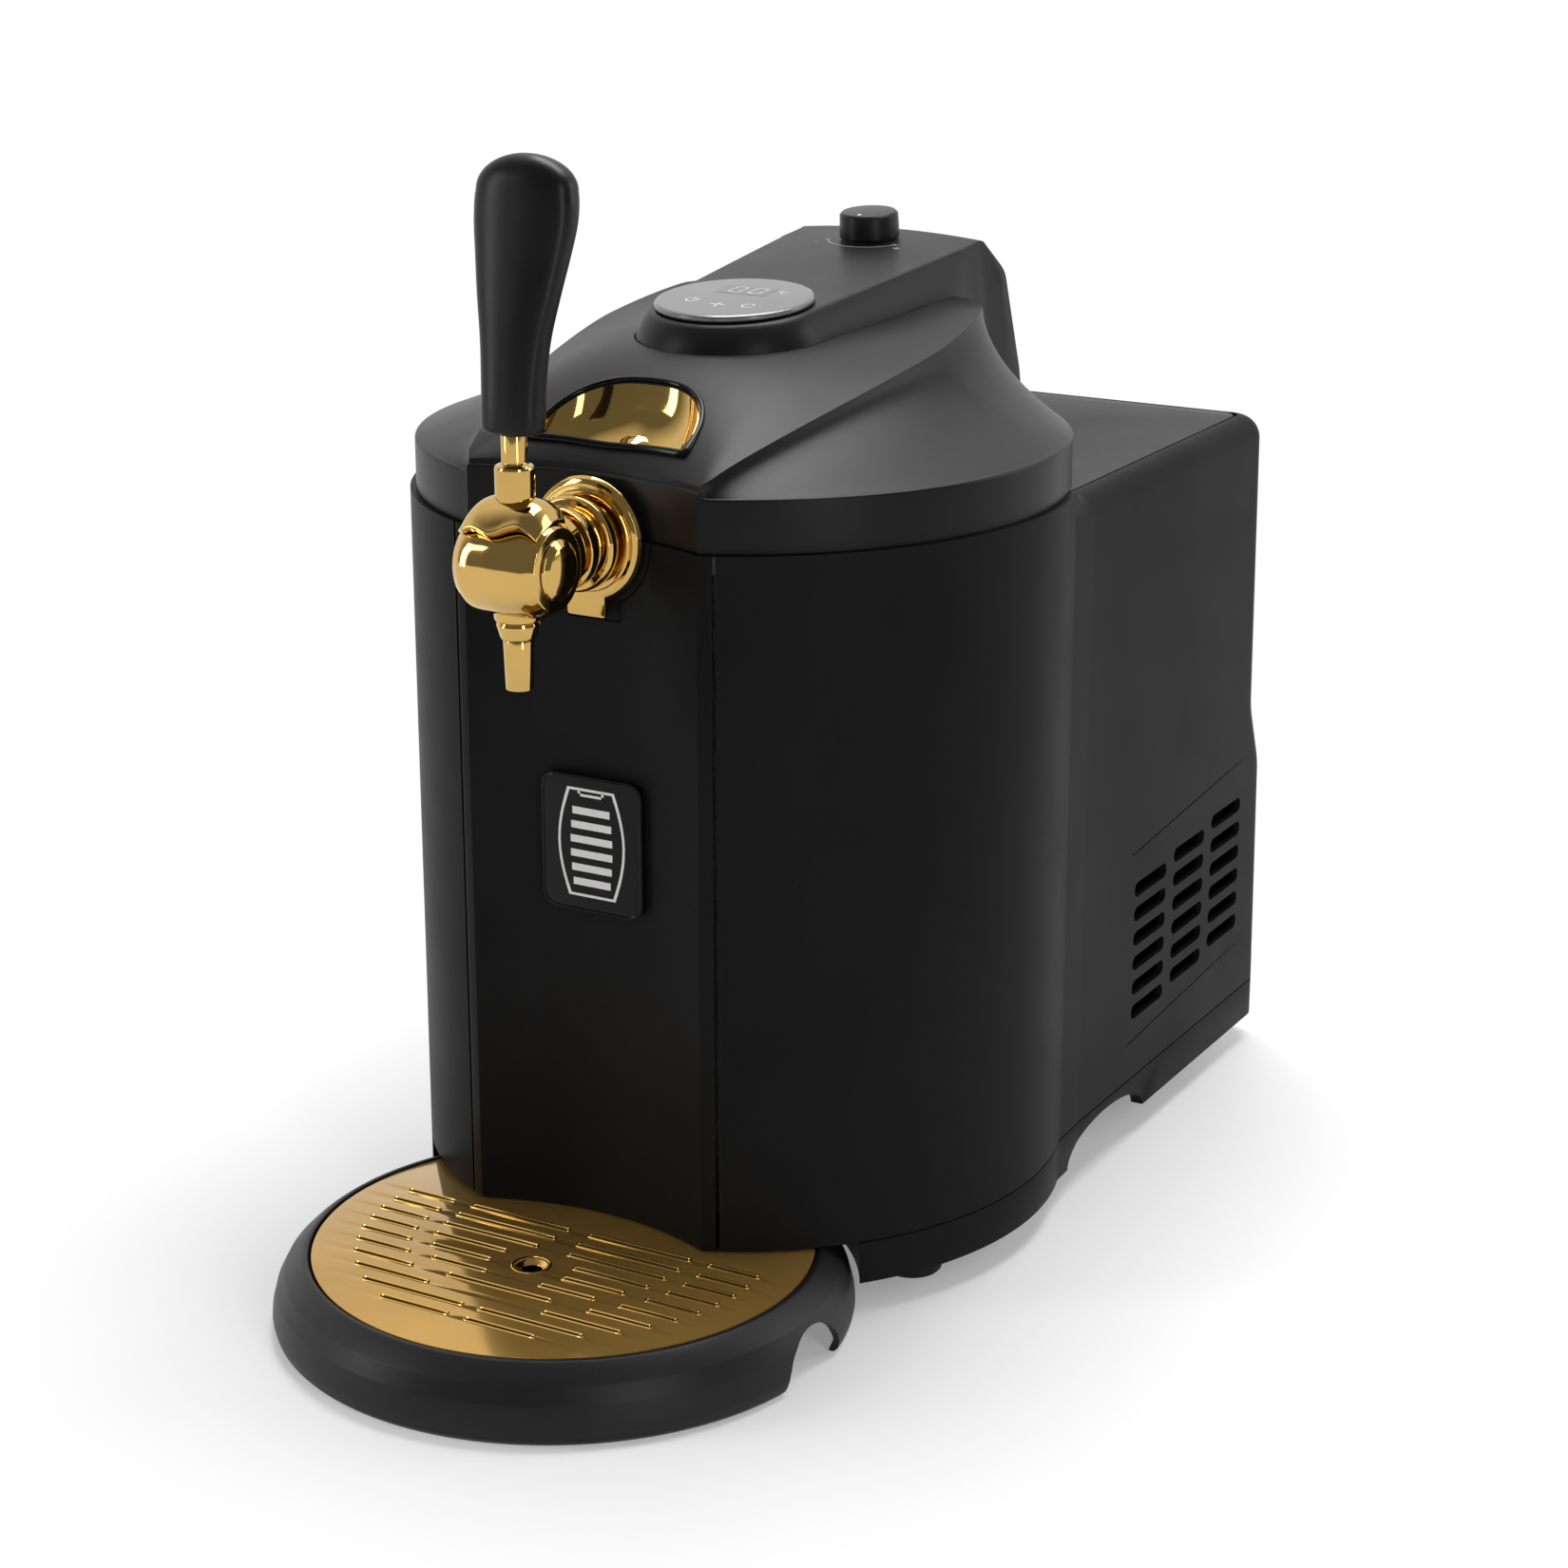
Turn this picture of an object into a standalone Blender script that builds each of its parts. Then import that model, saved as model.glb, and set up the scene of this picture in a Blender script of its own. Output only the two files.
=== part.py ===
import bpy
import bmesh
import math
from mathutils import Vector, Matrix

# Mini keg beer dispenser: a round keg drum with a hinged lid, a lever tap, a drip tray
# in front and a cooling box behind. Metres, +Z up, front towards -Y.

# Drum and lid sizes
DRUM_R = 0.1324
LID_STEP = 0.0024
LID_R = DRUM_R - LID_STEP
CORNER_ANGLE = math.radians(22.7)
STRIP_ANGLE = math.radians(25.1)
GROOVE_ANGLE = math.radians(25.7)
FACE_HOLLOW = 0.0110
FACE_MID_Y = FACE_HOLLOW - DRUM_R * math.cos(CORNER_ANGLE)
LID_FACE_Y = FACE_HOLLOW - LID_R * math.cos(CORNER_ANGLE)
WALL = 0.0028
GAP = 0.0003
RUN_GAP = 0.0005
OVERRUN = 0.0200

# Cooling box behind the drum
BOX_NARROW = 0.0079
BOX_TAPER = 0.0020
BOX_HALF_FRONT = DRUM_R - BOX_NARROW
BOX_HALF_REAR = BOX_HALF_FRONT - BOX_TAPER
BOX_EDGE_R = 0.0100
BOX_CORNER_R = 0.0150
REAR_REACH = 0.2710
REAR_LEAN_LOW = 0.0035
REAR_STEP = 0.0110
REAR_LEAN_UP = 0.0035
REAR_STEP_LOW_Y = REAR_REACH - REAR_LEAN_LOW
REAR_STEP_UP_Y = REAR_STEP_LOW_Y - REAR_STEP
REAR_TOP_Y = REAR_STEP_UP_Y - REAR_LEAN_UP
STEP_UP_Z = 0.1644
STEP_MID_Z = 0.1500
STEP_LOW_Z = 0.1366
BOX_BLEND_Y = 0.0520
BOX_START_Y = 0.0640
BOX_MID_Y = 0.1500
BLEND_EXTRA = 0.0008
DRUM_END_ANGLE = math.radians(108.0)
REAR_PANEL_SIDE = 0.0229
REAR_PANEL_HALF = BOX_HALF_REAR - REAR_PANEL_SIDE
BLEND_WEIGHT_SHARE = 0.45

# Heights
FOOT_TOP = 0.0117
BASE_BOTTOM = 0.0120
BASE_TOP = 0.0290
DECK_LOW = 0.0296
DECK_TOP = 0.0326
SHELL_BOTTOM = 0.0293
PART_Z = 0.3047
SHELL_TOP = 0.3044
COVER_TOP = 0.2995
BAND_TOP = 0.3250
FRONT_EDGE_Z = 0.3274

# Drip tray
TRAY_AHEAD = 0.0295
TRAY_Y = FACE_MID_Y - TRAY_AHEAD
TRAY_NARROW = 0.0192
TRAY_R = DRUM_R - TRAY_NARROW
TRAY_LIP_TOP = 0.0288
PLATE_SIDE = 0.0156
PLATE_R = TRAY_R - PLATE_SIDE
PLATE_LOW = 0.0263
PLATE_TOP = 0.0284
SLOT_W = 0.0026
SLOT_PITCH_SHARE = 0.09529
SLOT_FIRST_SHARE = 0.10758
DRAIN_SHARE = -0.23566
SLOT_PITCH = PLATE_R * SLOT_PITCH_SHARE
SLOT_FIRST = PLATE_R * SLOT_FIRST_SHARE
DRAIN_Y = PLATE_R * DRAIN_SHARE
DRAIN_R = 0.0062
NOTCH_HALF = 0.0200
NOTCH_RISE = 0.0195
NOTCH_DEEP = 0.0142
NOTCH_IN = TRAY_R - NOTCH_DEEP

# Tap
TAP_REACH = 0.0509
TAP_Y = FACE_MID_Y - TAP_REACH
TAP_Z = 0.3037
BARREL_R = 0.0190
BARREL_HALF = 0.0176
SHANK_R = 0.0090
FLANGE_R = 0.0238
FLANGE_STAND = 0.0030
FLANGE_BACK_Y = FACE_MID_Y - FLANGE_STAND

# Lid dome and crease line of its middle panel
CREASE_WIDE_SHARE = 0.6
CREASE_WIDE = LID_R * CREASE_WIDE_SHARE
CREASE_ARC_R = 0.3029
CREASE_MID_Y = 0.0050
CREASE_REAR_IN = 0.0250
CREASE_REAR_R = LID_R - CREASE_REAR_IN
CREASE_SOFT = 0.0050
CREASE_DRAW = 0.0039
CREASE_DRAW_Y = 0.0200
PANEL_RISE = 0.0401
PANEL_REAR_IN = 0.0600
PANEL_REAR_Y = LID_R - PANEL_REAR_IN
PANEL_CROWN = 0.0145
RISE_POWER = 0.66
CROWN_SHIFT = 0.73
CROWN_POWER = 1.5
COVE_START = 0.93
COVE_END = 0.55
LID_WALL = 0.0026

# Console pod on the lid
POD_NOSE_Y = -0.0070
POD_NOSE_R_LOW = 0.0390
POD_NOSE_R_TOP = 0.0335
POD_TOP_Z = 0.3750
POD_SLOPE = 0.0856
POD_CROWN = 0.0022
POD_CROWN_START = 0.0250
POD_CROWN_FULL = 0.0900
POD_REAR_IN = 0.0060
POD_REAR_Y = LID_R - POD_REAR_IN
POD_REAR_HALF_TOP = 0.0425
POD_REAR_HALF_LOW = 0.0465
POD_WALL = 0.0022
DISC_R = 0.0315
DISC_H = 0.0024
KNOB_AHEAD = 0.0200
KNOB_Y = POD_REAR_Y - KNOB_AHEAD
KNOB_R = 0.0125
KNOB_H = 0.0105
HINGE_BEHIND = 0.0170
HINGE_Y = LID_R + HINGE_BEHIND
HINGE_Z = 0.3160
PIN_R = 0.0030
LEG_BOTTOM = 0.3055

# Keg chamber
CHAMBER_IN = 0.0434
CHAMBER_R = DRUM_R - CHAMBER_IN
CHAMBER_WALL = 0.0015
LAP_ANGLE = math.radians(1.0)
CHAMBER_FLOOR = 0.0395
CHAMBER_TOP = 0.2967
FOAM_T = 0.0145
FOAM_R = CHAMBER_R + FOAM_T
COLLAR_LOW = 0.2970
COLLAR_TOP = 0.3035

# The object is centred on its own length, so the drum axis sits a little forward
TRAY_REACH = TRAY_R - TRAY_Y
SCREW_STAND = 0.00155
DRUM_Y = (TRAY_REACH - REAR_REACH - SCREW_STAND) / 2

HALF = 0.5
WELD = GAP / 6
FLAT_ANGLE = math.radians(0.05)
QUARTER = math.pi / 2
FULL = 2 * math.pi

for old in list(bpy.data.objects):
    bpy.data.objects.remove(old, do_unlink=True)

home = bpy.data.collections.new("mini_keg_dispenser")
bpy.context.scene.collection.children.link(home)
cutter_home = bpy.data.collections.new("cutters")
bpy.context.scene.collection.children.link(cutter_home)
cutter_home.hide_render = True

root = bpy.data.objects.new("drum_axis", None)
root.location = (0, DRUM_Y, 0)
home.objects.link(root)

MATS = {}


def material(name, colour, rough, metal):
    m = bpy.data.materials.new(name)
    m.use_nodes = True
    p = m.node_tree.nodes["Principled BSDF"]
    p.inputs["Base Color"].default_value = (*colour, 1)
    p.inputs["Roughness"].default_value = rough
    p.inputs["Metallic"].default_value = metal
    m.diffuse_color = (*colour, 1)
    MATS[name] = m


material("black_plastic", (0.022, 0.022, 0.024), 0.48, 0)
material("gloss_black", (0.008, 0.008, 0.009), 0.08, 0)
material("gold_metal", (0.82, 0.52, 0.17), 0.12, 1)
material("plate_gold", (0.52, 0.33, 0.10), 0.22, 1)
material("rubber_black", (0.02, 0.02, 0.02), 0.85, 0)
material("foam_white", (0.82, 0.82, 0.78), 0.9, 0)
material("liner_alu", (0.75, 0.76, 0.78), 0.35, 1)
material("steel", (0.62, 0.62, 0.64), 0.3, 1)
material("grey_plastic", (0.35, 0.35, 0.36), 0.5, 0)
material("display_glass", (0.30, 0.30, 0.31), 0.12, 0)
material("board_green", (0.03, 0.16, 0.07), 0.5, 0)
material("white_ceramic", (0.85, 0.85, 0.82), 0.5, 0)
material("brass_part", (0.70, 0.52, 0.25), 0.3, 1)
material("clear_hose", (0.70, 0.72, 0.72), 0.3, 0)


def adopt(obj, mat, where=(0, 0, 0), smooth=True, sharp=math.radians(32)):
    home.objects.link(obj)
    obj.parent = root
    obj.location = where
    obj.data.materials.clear()
    obj.data.materials.append(MATS[mat])
    if smooth and obj.type == "MESH":
        for f in obj.data.polygons:
            f.use_smooth = True
        obj.data.set_sharp_from_angle(angle=sharp)
    return obj


def mesh_object(name, verts, faces):
    me = bpy.data.meshes.new(name)
    me.from_pydata([tuple(v) for v in verts], [], faces)
    bm = bmesh.new()
    bm.from_mesh(me)
    bmesh.ops.remove_doubles(bm, verts=bm.verts, dist=WELD)
    bmesh.ops.dissolve_degenerate(bm, edges=bm.edges, dist=WELD)
    bmesh.ops.recalc_face_normals(bm, faces=bm.faces)
    bm.to_mesh(me)
    bm.free()
    return bpy.data.objects.new(name, me)


def flat_mesh(name, outlines, low, high, face="Z"):
    # A flat plate from closed outlines, inner outlines are holes, thick from low to high
    cu = bpy.data.curves.new(name, "CURVE")
    cu.dimensions = "2D"
    cu.fill_mode = "BOTH"
    cu.extrude = (high - low) / 2
    for line in outlines:
        sp = cu.splines.new("POLY")
        sp.points.add(len(line) - 1)
        for i, p in enumerate(line):
            sp.points[i].co = (p[0], p[1], 0, 1)
        sp.use_cyclic_u = True
    tmp = bpy.data.objects.new(name + "_line", cu)
    bpy.context.scene.collection.objects.link(tmp)
    bpy.context.view_layer.update()
    dg = bpy.context.evaluated_depsgraph_get()
    me = bpy.data.meshes.new_from_object(tmp.evaluated_get(dg))
    bpy.data.objects.remove(tmp, do_unlink=True)
    bm = bmesh.new()
    bm.from_mesh(me)
    bmesh.ops.remove_doubles(bm, verts=bm.verts, dist=WELD)
    bmesh.ops.recalc_face_normals(bm, faces=bm.faces)
    mid = (low + high) / 2
    bmesh.ops.translate(bm, verts=bm.verts, vec=(0, 0, mid))
    if face == "X":
        turn = Matrix(((0, 0, 1), (1, 0, 0), (0, 1, 0))).to_4x4()
        bm.transform(turn)
    if face == "Y":
        turn = Matrix(((1, 0, 0), (0, 0, 1), (0, 1, 0))).to_4x4()
        bm.transform(turn)
        bmesh.ops.reverse_faces(bm, faces=bm.faces)
    bm.to_mesh(me)
    bm.free()
    me.name = name
    return me


def plate(name, outlines, low, high, mat, face="Z", where=(0, 0, 0)):
    obj = bpy.data.objects.new(name, flat_mesh(name, outlines, low, high, face))
    return adopt(obj, mat, where)


def turned(name, profile, steps, mat, axis="Z", where=(0, 0, 0)):
    # A turned piece: the profile is radius and height, listed down the outside then back inside
    me = bpy.data.meshes.new(name)
    area = sum(p[0] * q[1] - q[0] * p[1] for p, q in zip(profile, profile[1:] + profile[:1]))
    verts = [(r, 0, z) for r, z in (reversed(profile) if area > 0 else profile)]
    on_axis = profile[0][0] == 0 and profile[-1][0] == 0
    edges = [(i, i + 1) for i in range(len(verts) - 1)]
    if not on_axis:
        edges.append((len(verts) - 1, 0))
    me.from_pydata(verts, edges, [])
    obj = bpy.data.objects.new(name, me)
    home.objects.link(obj)
    obj.parent = root
    obj.location = where
    sc = obj.modifiers.new("turn", "SCREW")
    sc.axis = "Z"
    sc.angle = FULL
    sc.steps = steps
    sc.render_steps = steps
    sc.use_merge_vertices = True
    sc.merge_threshold = WELD
    sc.use_smooth_shade = True
    me.materials.append(MATS[mat])
    if axis == "X":
        obj.rotation_euler = (0, QUARTER, 0)
    if axis == "Y":
        obj.rotation_euler = (-QUARTER, 0, 0)
    return obj


def tube(name, points, radius, mat, closed=False, where=(0, 0, 0)):
    cu = bpy.data.curves.new(name, "CURVE")
    cu.dimensions = "3D"
    cu.bevel_depth = radius
    cu.bevel_resolution = 2
    cu.use_fill_caps = True
    sp = cu.splines.new("POLY")
    sp.points.add(len(points) - 1)
    for i, p in enumerate(points):
        sp.points[i].co = (*p, 1)
    sp.use_cyclic_u = closed
    sp.use_smooth = True
    obj = bpy.data.objects.new(name, cu)
    home.objects.link(obj)
    obj.parent = root
    obj.location = where
    cu.materials.append(MATS[mat])
    return obj


def tool(obj):
    # Moves a body to the cutters
    for c in list(obj.users_collection):
        c.objects.unlink(obj)
    cutter_home.objects.link(obj)
    obj.display_type = "WIRE"
    obj.hide_render = True
    return obj


def tool_plate(name, outlines, low, high, face="Z", where=(0, 0, 0)):
    obj = bpy.data.objects.new(name, flat_mesh(name, outlines, low, high, face))
    obj.parent = root
    obj.location = where
    cutter_home.objects.link(obj)
    obj.display_type = "WIRE"
    obj.hide_render = True
    return obj


def shape(obj, other, how="DIFFERENCE"):
    b = obj.modifiers.new(how.lower(), "BOOLEAN")
    b.operation = how
    b.solver = "EXACT"
    b.object = other
    return obj


def arc_line(cx, cy, r, a0, a1, n):
    line = []
    for i in range(n + 1):
        a = mix(a0, a1, i / n)
        line.append((cx + r * math.cos(a), cy + r * math.sin(a)))
    return line


def share_of(value, start, end):
    return max(0.0, min(1.0, (value - start) / (end - start)))


def circle(r, n, cx=0, cy=0, start=0):
    return arc_line(cx, cy, r, start, start + FULL, n)[:-1]


def box_line(x0, x1, y0, y1):
    return [(x0, y0), (x1, y0), (x1, y1), (x0, y1)]


def rounded(x0, x1, y0, y1, r, n=4):
    pts = []
    for k, (cx, cy) in enumerate(((x1 - r, y0 + r), (x1 - r, y1 - r), (x0 + r, y1 - r), (x0 + r, y0 + r))):
        pts = pts + arc_line(cx, cy, r, (k - 1) * QUARTER, k * QUARTER, n)
    return pts


def capsule(x0, x1, y, w, n=3):
    r = w / 2
    pts = []
    for i in range(n + 1):
        t = -QUARTER + 2 * QUARTER * i / n
        pts.append((x1 - r + r * math.cos(t), y + r * math.sin(t)))
    for i in range(n + 1):
        t = QUARTER + 2 * QUARTER * i / n
        pts.append((x0 + r + r * math.cos(t), y + r * math.sin(t)))
    return pts


def box(name, x0, x1, y0, y1, z0, z1, mat):
    return plate(name, [box_line(x0, x1, y0, y1)], z0, z1, mat)


def mix(a, b, t):
    return a + (b - a) * t


def cove(t):
    # Height share of the hollow flank, from the band at 0 to the crease at 1
    return 1 - (1 - max(0.0, min(1.0, t)) ** COVE_START) ** COVE_END


# Plan of the hollow front face: an arc whose middle lies back from the line between the corners

def face_arc(radius):
    half_w = radius * math.sin(CORNER_ANGLE)
    chord_y = -radius * math.cos(CORNER_ANGLE)
    rho = (half_w * half_w + FACE_HOLLOW * FACE_HOLLOW) / (2 * FACE_HOLLOW)
    return chord_y + FACE_HOLLOW - rho, rho


def face_y(radius, x, inset=0):
    cy, rho = face_arc(radius)
    rr = rho + inset
    return cy + math.sqrt(rr * rr - x * x)


def front_corner(radius, inset):
    # Where the inset face arc meets the inset drum circle
    cy, rho = face_arc(radius)
    rd = radius - inset
    rf = rho + inset
    y = (rd * rd - rf * rf + cy * cy) / (2 * cy)
    return math.sqrt(rd * rd - y * y), y


def front_points(radius, inset, n):
    # From the left corner to the right corner along the face
    cx, cy = front_corner(radius, inset)
    return [(mix(-cx, cx, i / n), face_y(radius, mix(-cx, cx, i / n), inset)) for i in range(n + 1)]


def arc_points(radius, a0, a1, n):
    # Angles count from the front, positive to the right
    return arc_line(0, 0, radius, a0 - QUARTER, a1 - QUARTER, n)


# Plan of the whole lower body, right half from the face corner to the middle of the rear

def box_side(inset, rear_y):
    pts = []
    pts.append((BOX_HALF_FRONT + BLEND_EXTRA - inset, BOX_BLEND_Y))
    pts.append((BOX_HALF_FRONT - inset, BOX_START_Y))
    pts.append(((BOX_HALF_FRONT + BOX_HALF_REAR) / 2 - inset, BOX_MID_Y))
    r = BOX_CORNER_R - inset if BOX_CORNER_R > inset else GAP
    cx = BOX_HALF_REAR - BOX_CORNER_R
    cy = rear_y - BOX_CORNER_R
    for i in range(6):
        t = QUARTER * i / 5
        pts.append((cx + r * math.cos(t), cy + r * math.sin(t)))
    return pts


def body_loop(inset, rear_y, n_front=8, n_arc=12):
    cx, cy = front_corner(DRUM_R, inset)
    a0 = math.atan2(cx, -cy)
    right = arc_points(DRUM_R - inset, a0, DRUM_END_ANGLE, n_arc)[1:] + box_side(inset, rear_y)
    left = [(-x, y) for x, y in reversed(right)]
    return front_points(DRUM_R, inset, n_front) + right + left


def rear_y_at(z):
    if z >= STEP_UP_Z:
        return mix(REAR_STEP_UP_Y, REAR_TOP_Y, (z - STEP_UP_Z) / (COVER_TOP - STEP_UP_Z))
    if z >= STEP_LOW_Z:
        return mix(REAR_STEP_LOW_Y, REAR_STEP_UP_Y, (z - STEP_LOW_Z) / (STEP_UP_Z - STEP_LOW_Z))
    if z > SHELL_BOTTOM:
        return mix(REAR_REACH, REAR_STEP_LOW_Y, (z - SHELL_BOTTOM) / (STEP_LOW_Z - SHELL_BOTTOM))
    return REAR_REACH


# Base chassis: a skirt with a deck on top, a round bay for the tray and hand arches in the sides
FOOT_R = 0.0120
BOSS_R = 0.0140
FRONT_FOOT_IN = 0.0324
FRONT_FOOT_SHARE = 0.3021
FRONT_FOOT_Y = -DRUM_R * FRONT_FOOT_SHARE
REAR_FOOT_IN = 0.0325
REAR_FOOT_AHEAD = 0.0460
FRONT_FOOT = (DRUM_R - FRONT_FOOT_IN, FRONT_FOOT_Y)
REAR_FOOT = (BOX_HALF_REAR - REAR_FOOT_IN, REAR_REACH - REAR_FOOT_AHEAD)
BAY_GAP = 0.0016
BAY_R = TRAY_R + BAY_GAP
BAY_WALL = 0.0028
ARCH_MID_Y = 0.0925
ARCH_HALF = 0.0405
ARCH_RISE = 0.0130
ARCH_DEEP = 0.0424
ARCH_IN = DRUM_R - ARCH_DEEP
FEET = [
    ("left", -1, FRONT_FOOT, "front"), ("right", 1, FRONT_FOOT, "front"),
    ("left", -1, REAR_FOOT, "rear"), ("right", 1, REAR_FOOT, "rear")]

base = plate("base_chassis", [body_loop(0, REAR_REACH)], BASE_BOTTOM, BASE_TOP, "black_plastic")
deck = tool_plate("deck_body", [body_loop(WALL + RUN_GAP, REAR_REACH)], BASE_TOP - WALL, DECK_TOP)
shape(base, deck, "UNION")
hollow_line = body_loop(WALL + WALL, REAR_REACH - WALL)
hollow = tool_plate("base_hollow", [hollow_line], BASE_BOTTOM - OVERRUN, DECK_LOW - WALL)
bay_ring = circle(BAY_R + BAY_WALL, 32, 0, TRAY_Y)
keep_bay = tool_plate("bay_wall", [bay_ring], BASE_BOTTOM - 2 * OVERRUN, DECK_TOP)
shape(hollow, keep_bay)
for side, s, at, end in FEET:
    boss_line = circle(BOSS_R, 12, s * at[0], at[1])
    boss = tool_plate("boss_" + end + "_" + side, [boss_line], BASE_BOTTOM - 2 * OVERRUN, DECK_TOP)
    shape(hollow, boss)
shape(base, hollow)
bay = tool_plate("tray_bay", [circle(BAY_R, 32, 0, TRAY_Y)], BASE_BOTTOM - OVERRUN, DECK_LOW)
shape(base, bay)
arch = []
for i in range(13):
    t = math.pi * i / 12
    arch.append((ARCH_MID_Y + ARCH_HALF * math.cos(t), BASE_BOTTOM + ARCH_RISE * math.sin(t)))
arch_low = BASE_BOTTOM - OVERRUN
arch = arch + [(ARCH_MID_Y - ARCH_HALF, arch_low), (ARCH_MID_Y + ARCH_HALF, arch_low)]
for s in (-1, 1):
    lo, hi = sorted((s * ARCH_IN, s * (DRUM_R + OVERRUN)))
    hold = tool_plate("hand_arch_" + ("left" if s < 0 else "right"), [arch], lo, hi, "X")
    shape(base, hold)

FOOT_EDGE = 0.0012
FOOT_CUP = 0.0080
FOOT_CUP_H = 0.0015
foot_profile = [
    (0, FOOT_TOP), (FOOT_R, FOOT_TOP), (FOOT_R, FOOT_EDGE), (FOOT_R - FOOT_EDGE, 0), (FOOT_CUP, 0),
    (FOOT_CUP - FOOT_EDGE, FOOT_CUP_H), (0, FOOT_CUP_H)]
for side, s, at, end in FEET:
    turned("foot_" + end + "_" + side, foot_profile, 12, "rubber_black", where=(s * at[0], at[1], 0))

# Front panel with the hollow face, its two corner strips and the open slot for the tap shank
strip_out_l = arc_points(DRUM_R, -STRIP_ANGLE, -CORNER_ANGLE, 1)[:1]
strip_out_r = arc_points(DRUM_R, CORNER_ANGLE, STRIP_ANGLE, 1)[1:]
panel_out = strip_out_l + front_points(DRUM_R, 0, 14) + strip_out_r
ir = DRUM_R - WALL
strip_in_l = arc_points(ir, -STRIP_ANGLE, -CORNER_ANGLE, 1)[:1]
strip_in_r = arc_points(ir, CORNER_ANGLE, STRIP_ANGLE, 1)[1:]
panel_in = strip_in_l + front_points(DRUM_R, WALL, 14) + strip_in_r
front = plate("front_panel", [panel_out + list(reversed(panel_in))], SHELL_BOTTOM, SHELL_TOP, "black_plastic")
slot_r = SHANK_R + RUN_GAP
slot_u = [(slot_r, SHELL_TOP + OVERRUN), (-slot_r, SHELL_TOP + OVERRUN)]
for i in range(11):
    t = math.pi + math.pi * i / 10
    slot_u.append((slot_r * math.cos(t), TAP_Z + slot_r * math.sin(t)))
shank_way = tool_plate("shank_way", [slot_u], -DRUM_R - OVERRUN, -FOAM_R, "Y")
shape(front, shank_way)

BADGE_HALF_W = 0.0225
BADGE_LOW = 0.1568
BADGE_HIGH = 0.2110
BADGE_STAND = 0.0025
BADGE_T = 0.0026
BADGE_BACK = FACE_MID_Y - BADGE_STAND
BADGE_FRONT = BADGE_BACK - BADGE_T
BADGE_R = 0.0070
badge_line = rounded(-BADGE_HALF_W, BADGE_HALF_W, BADGE_LOW, BADGE_HIGH, BADGE_R)
plate("badge_plate", [badge_line], BADGE_FRONT, BADGE_BACK, "gloss_black", "Y")

# Side shells: the drum wall and the box wall in one skin, thickened inwards, with the vent slots cut
VENT_AHEAD = 0.1545
VENT_FIRST_Y = REAR_REACH - VENT_AHEAD
VENT_W = 0.0345
VENT_STEP_Y = 0.0425
VENT_LOW_Z = 0.0600
VENT_PITCH = 0.0112
VENT_H = 0.0066
VENT_COLUMNS = 3
VENT_ROWS = 6
RIDE_UP = 0.0030
SHELL_SHARP = math.radians(40)


def side_shell(name, s):
    cols = []
    for p in arc_points(DRUM_R, GROOVE_ANGLE, DRUM_END_ANGLE, 12):
        n = Vector((p[0], p[1])).normalized()
        cols.append((p[0], p[1], n.x, n.y, 0.0, 0.0))
    tail = box_side(0, REAR_REACH)
    weights = [BLEND_WEIGHT_SHARE, 1, 1, 1, 1, 1, 1, 1, 1]
    for i, p in enumerate(tail):
        if i < 3:
            nx, ny, rear = 1.0, 0.0, 0.0
        else:
            t = QUARTER * (i - 3) / 5
            nx, ny, rear = math.cos(t), math.sin(t), 1.0
        cols.append((p[0], p[1], nx, ny, weights[i], rear))
    cols.append((REAR_PANEL_HALF + GAP, REAR_REACH, 0.0, 1.0, 1.0, 1.0))
    flat_top = COVER_TOP - BOX_EDGE_R
    levels = [(SHELL_BOTTOM, -1), (STEP_LOW_Z, -1), (STEP_MID_Z, -1), (STEP_UP_Z, -1), (flat_top, -1)]
    levels = levels + [(flat_top, a / 4) for a in range(1, 5)]
    verts = []
    for z, a in levels:
        for x, y, nx, ny, w, rear in cols:
            if a < 0:
                yy = y + rear * (rear_y_at(z) - REAR_REACH)
                verts.append((s * x, yy, z))
            else:
                t = QUARTER * a
                inset = w * BOX_EDGE_R * (1 - math.cos(t))
                box_z = flat_top + BOX_EDGE_R * math.sin(t)
                drum_z = mix(flat_top, SHELL_TOP, a)
                zz = mix(drum_z, box_z, w)
                yy = y + rear * (rear_y_at(zz) - REAR_REACH)
                verts.append((s * (x - nx * inset), yy - ny * inset, zz))
    m = len(cols)
    faces = []
    for k in range(len(levels) - 1):
        for i in range(m - 1):
            a = k * m + i
            q = (a, a + 1, a + m + 1, a + m)
            faces.append(q if s > 0 else tuple(reversed(q)))
    me = bpy.data.meshes.new(name)
    me.from_pydata(verts, [], faces)
    bm = bmesh.new()
    bm.from_mesh(me)
    bmesh.ops.dissolve_limit(bm, angle_limit=FLAT_ANGLE, verts=bm.verts, edges=bm.edges)
    bm.to_mesh(me)
    bm.free()
    obj = adopt(bpy.data.objects.new(name, me), "black_plastic", sharp=SHELL_SHARP)
    so = obj.modifiers.new("wall", "SOLIDIFY")
    so.thickness = WALL
    so.offset = -1
    so.use_even_offset = True
    lines = []
    for c in range(VENT_COLUMNS):
        y0 = VENT_FIRST_Y + c * VENT_STEP_Y
        for r in range(VENT_ROWS):
            z = VENT_LOW_Z + r * VENT_PITCH + c * RIDE_UP
            lines.append(capsule(y0, y0 + VENT_W, z, VENT_H, 2))
    lo, hi = sorted((s * (BOX_HALF_REAR - OVERRUN), s * (BOX_HALF_FRONT + OVERRUN)))
    vents = tool_plate("vents_" + name, lines, lo, hi, "X")
    shape(obj, vents)
    return obj


side_shell("side_shell_right", 1)
side_shell("side_shell_left", -1)

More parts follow.
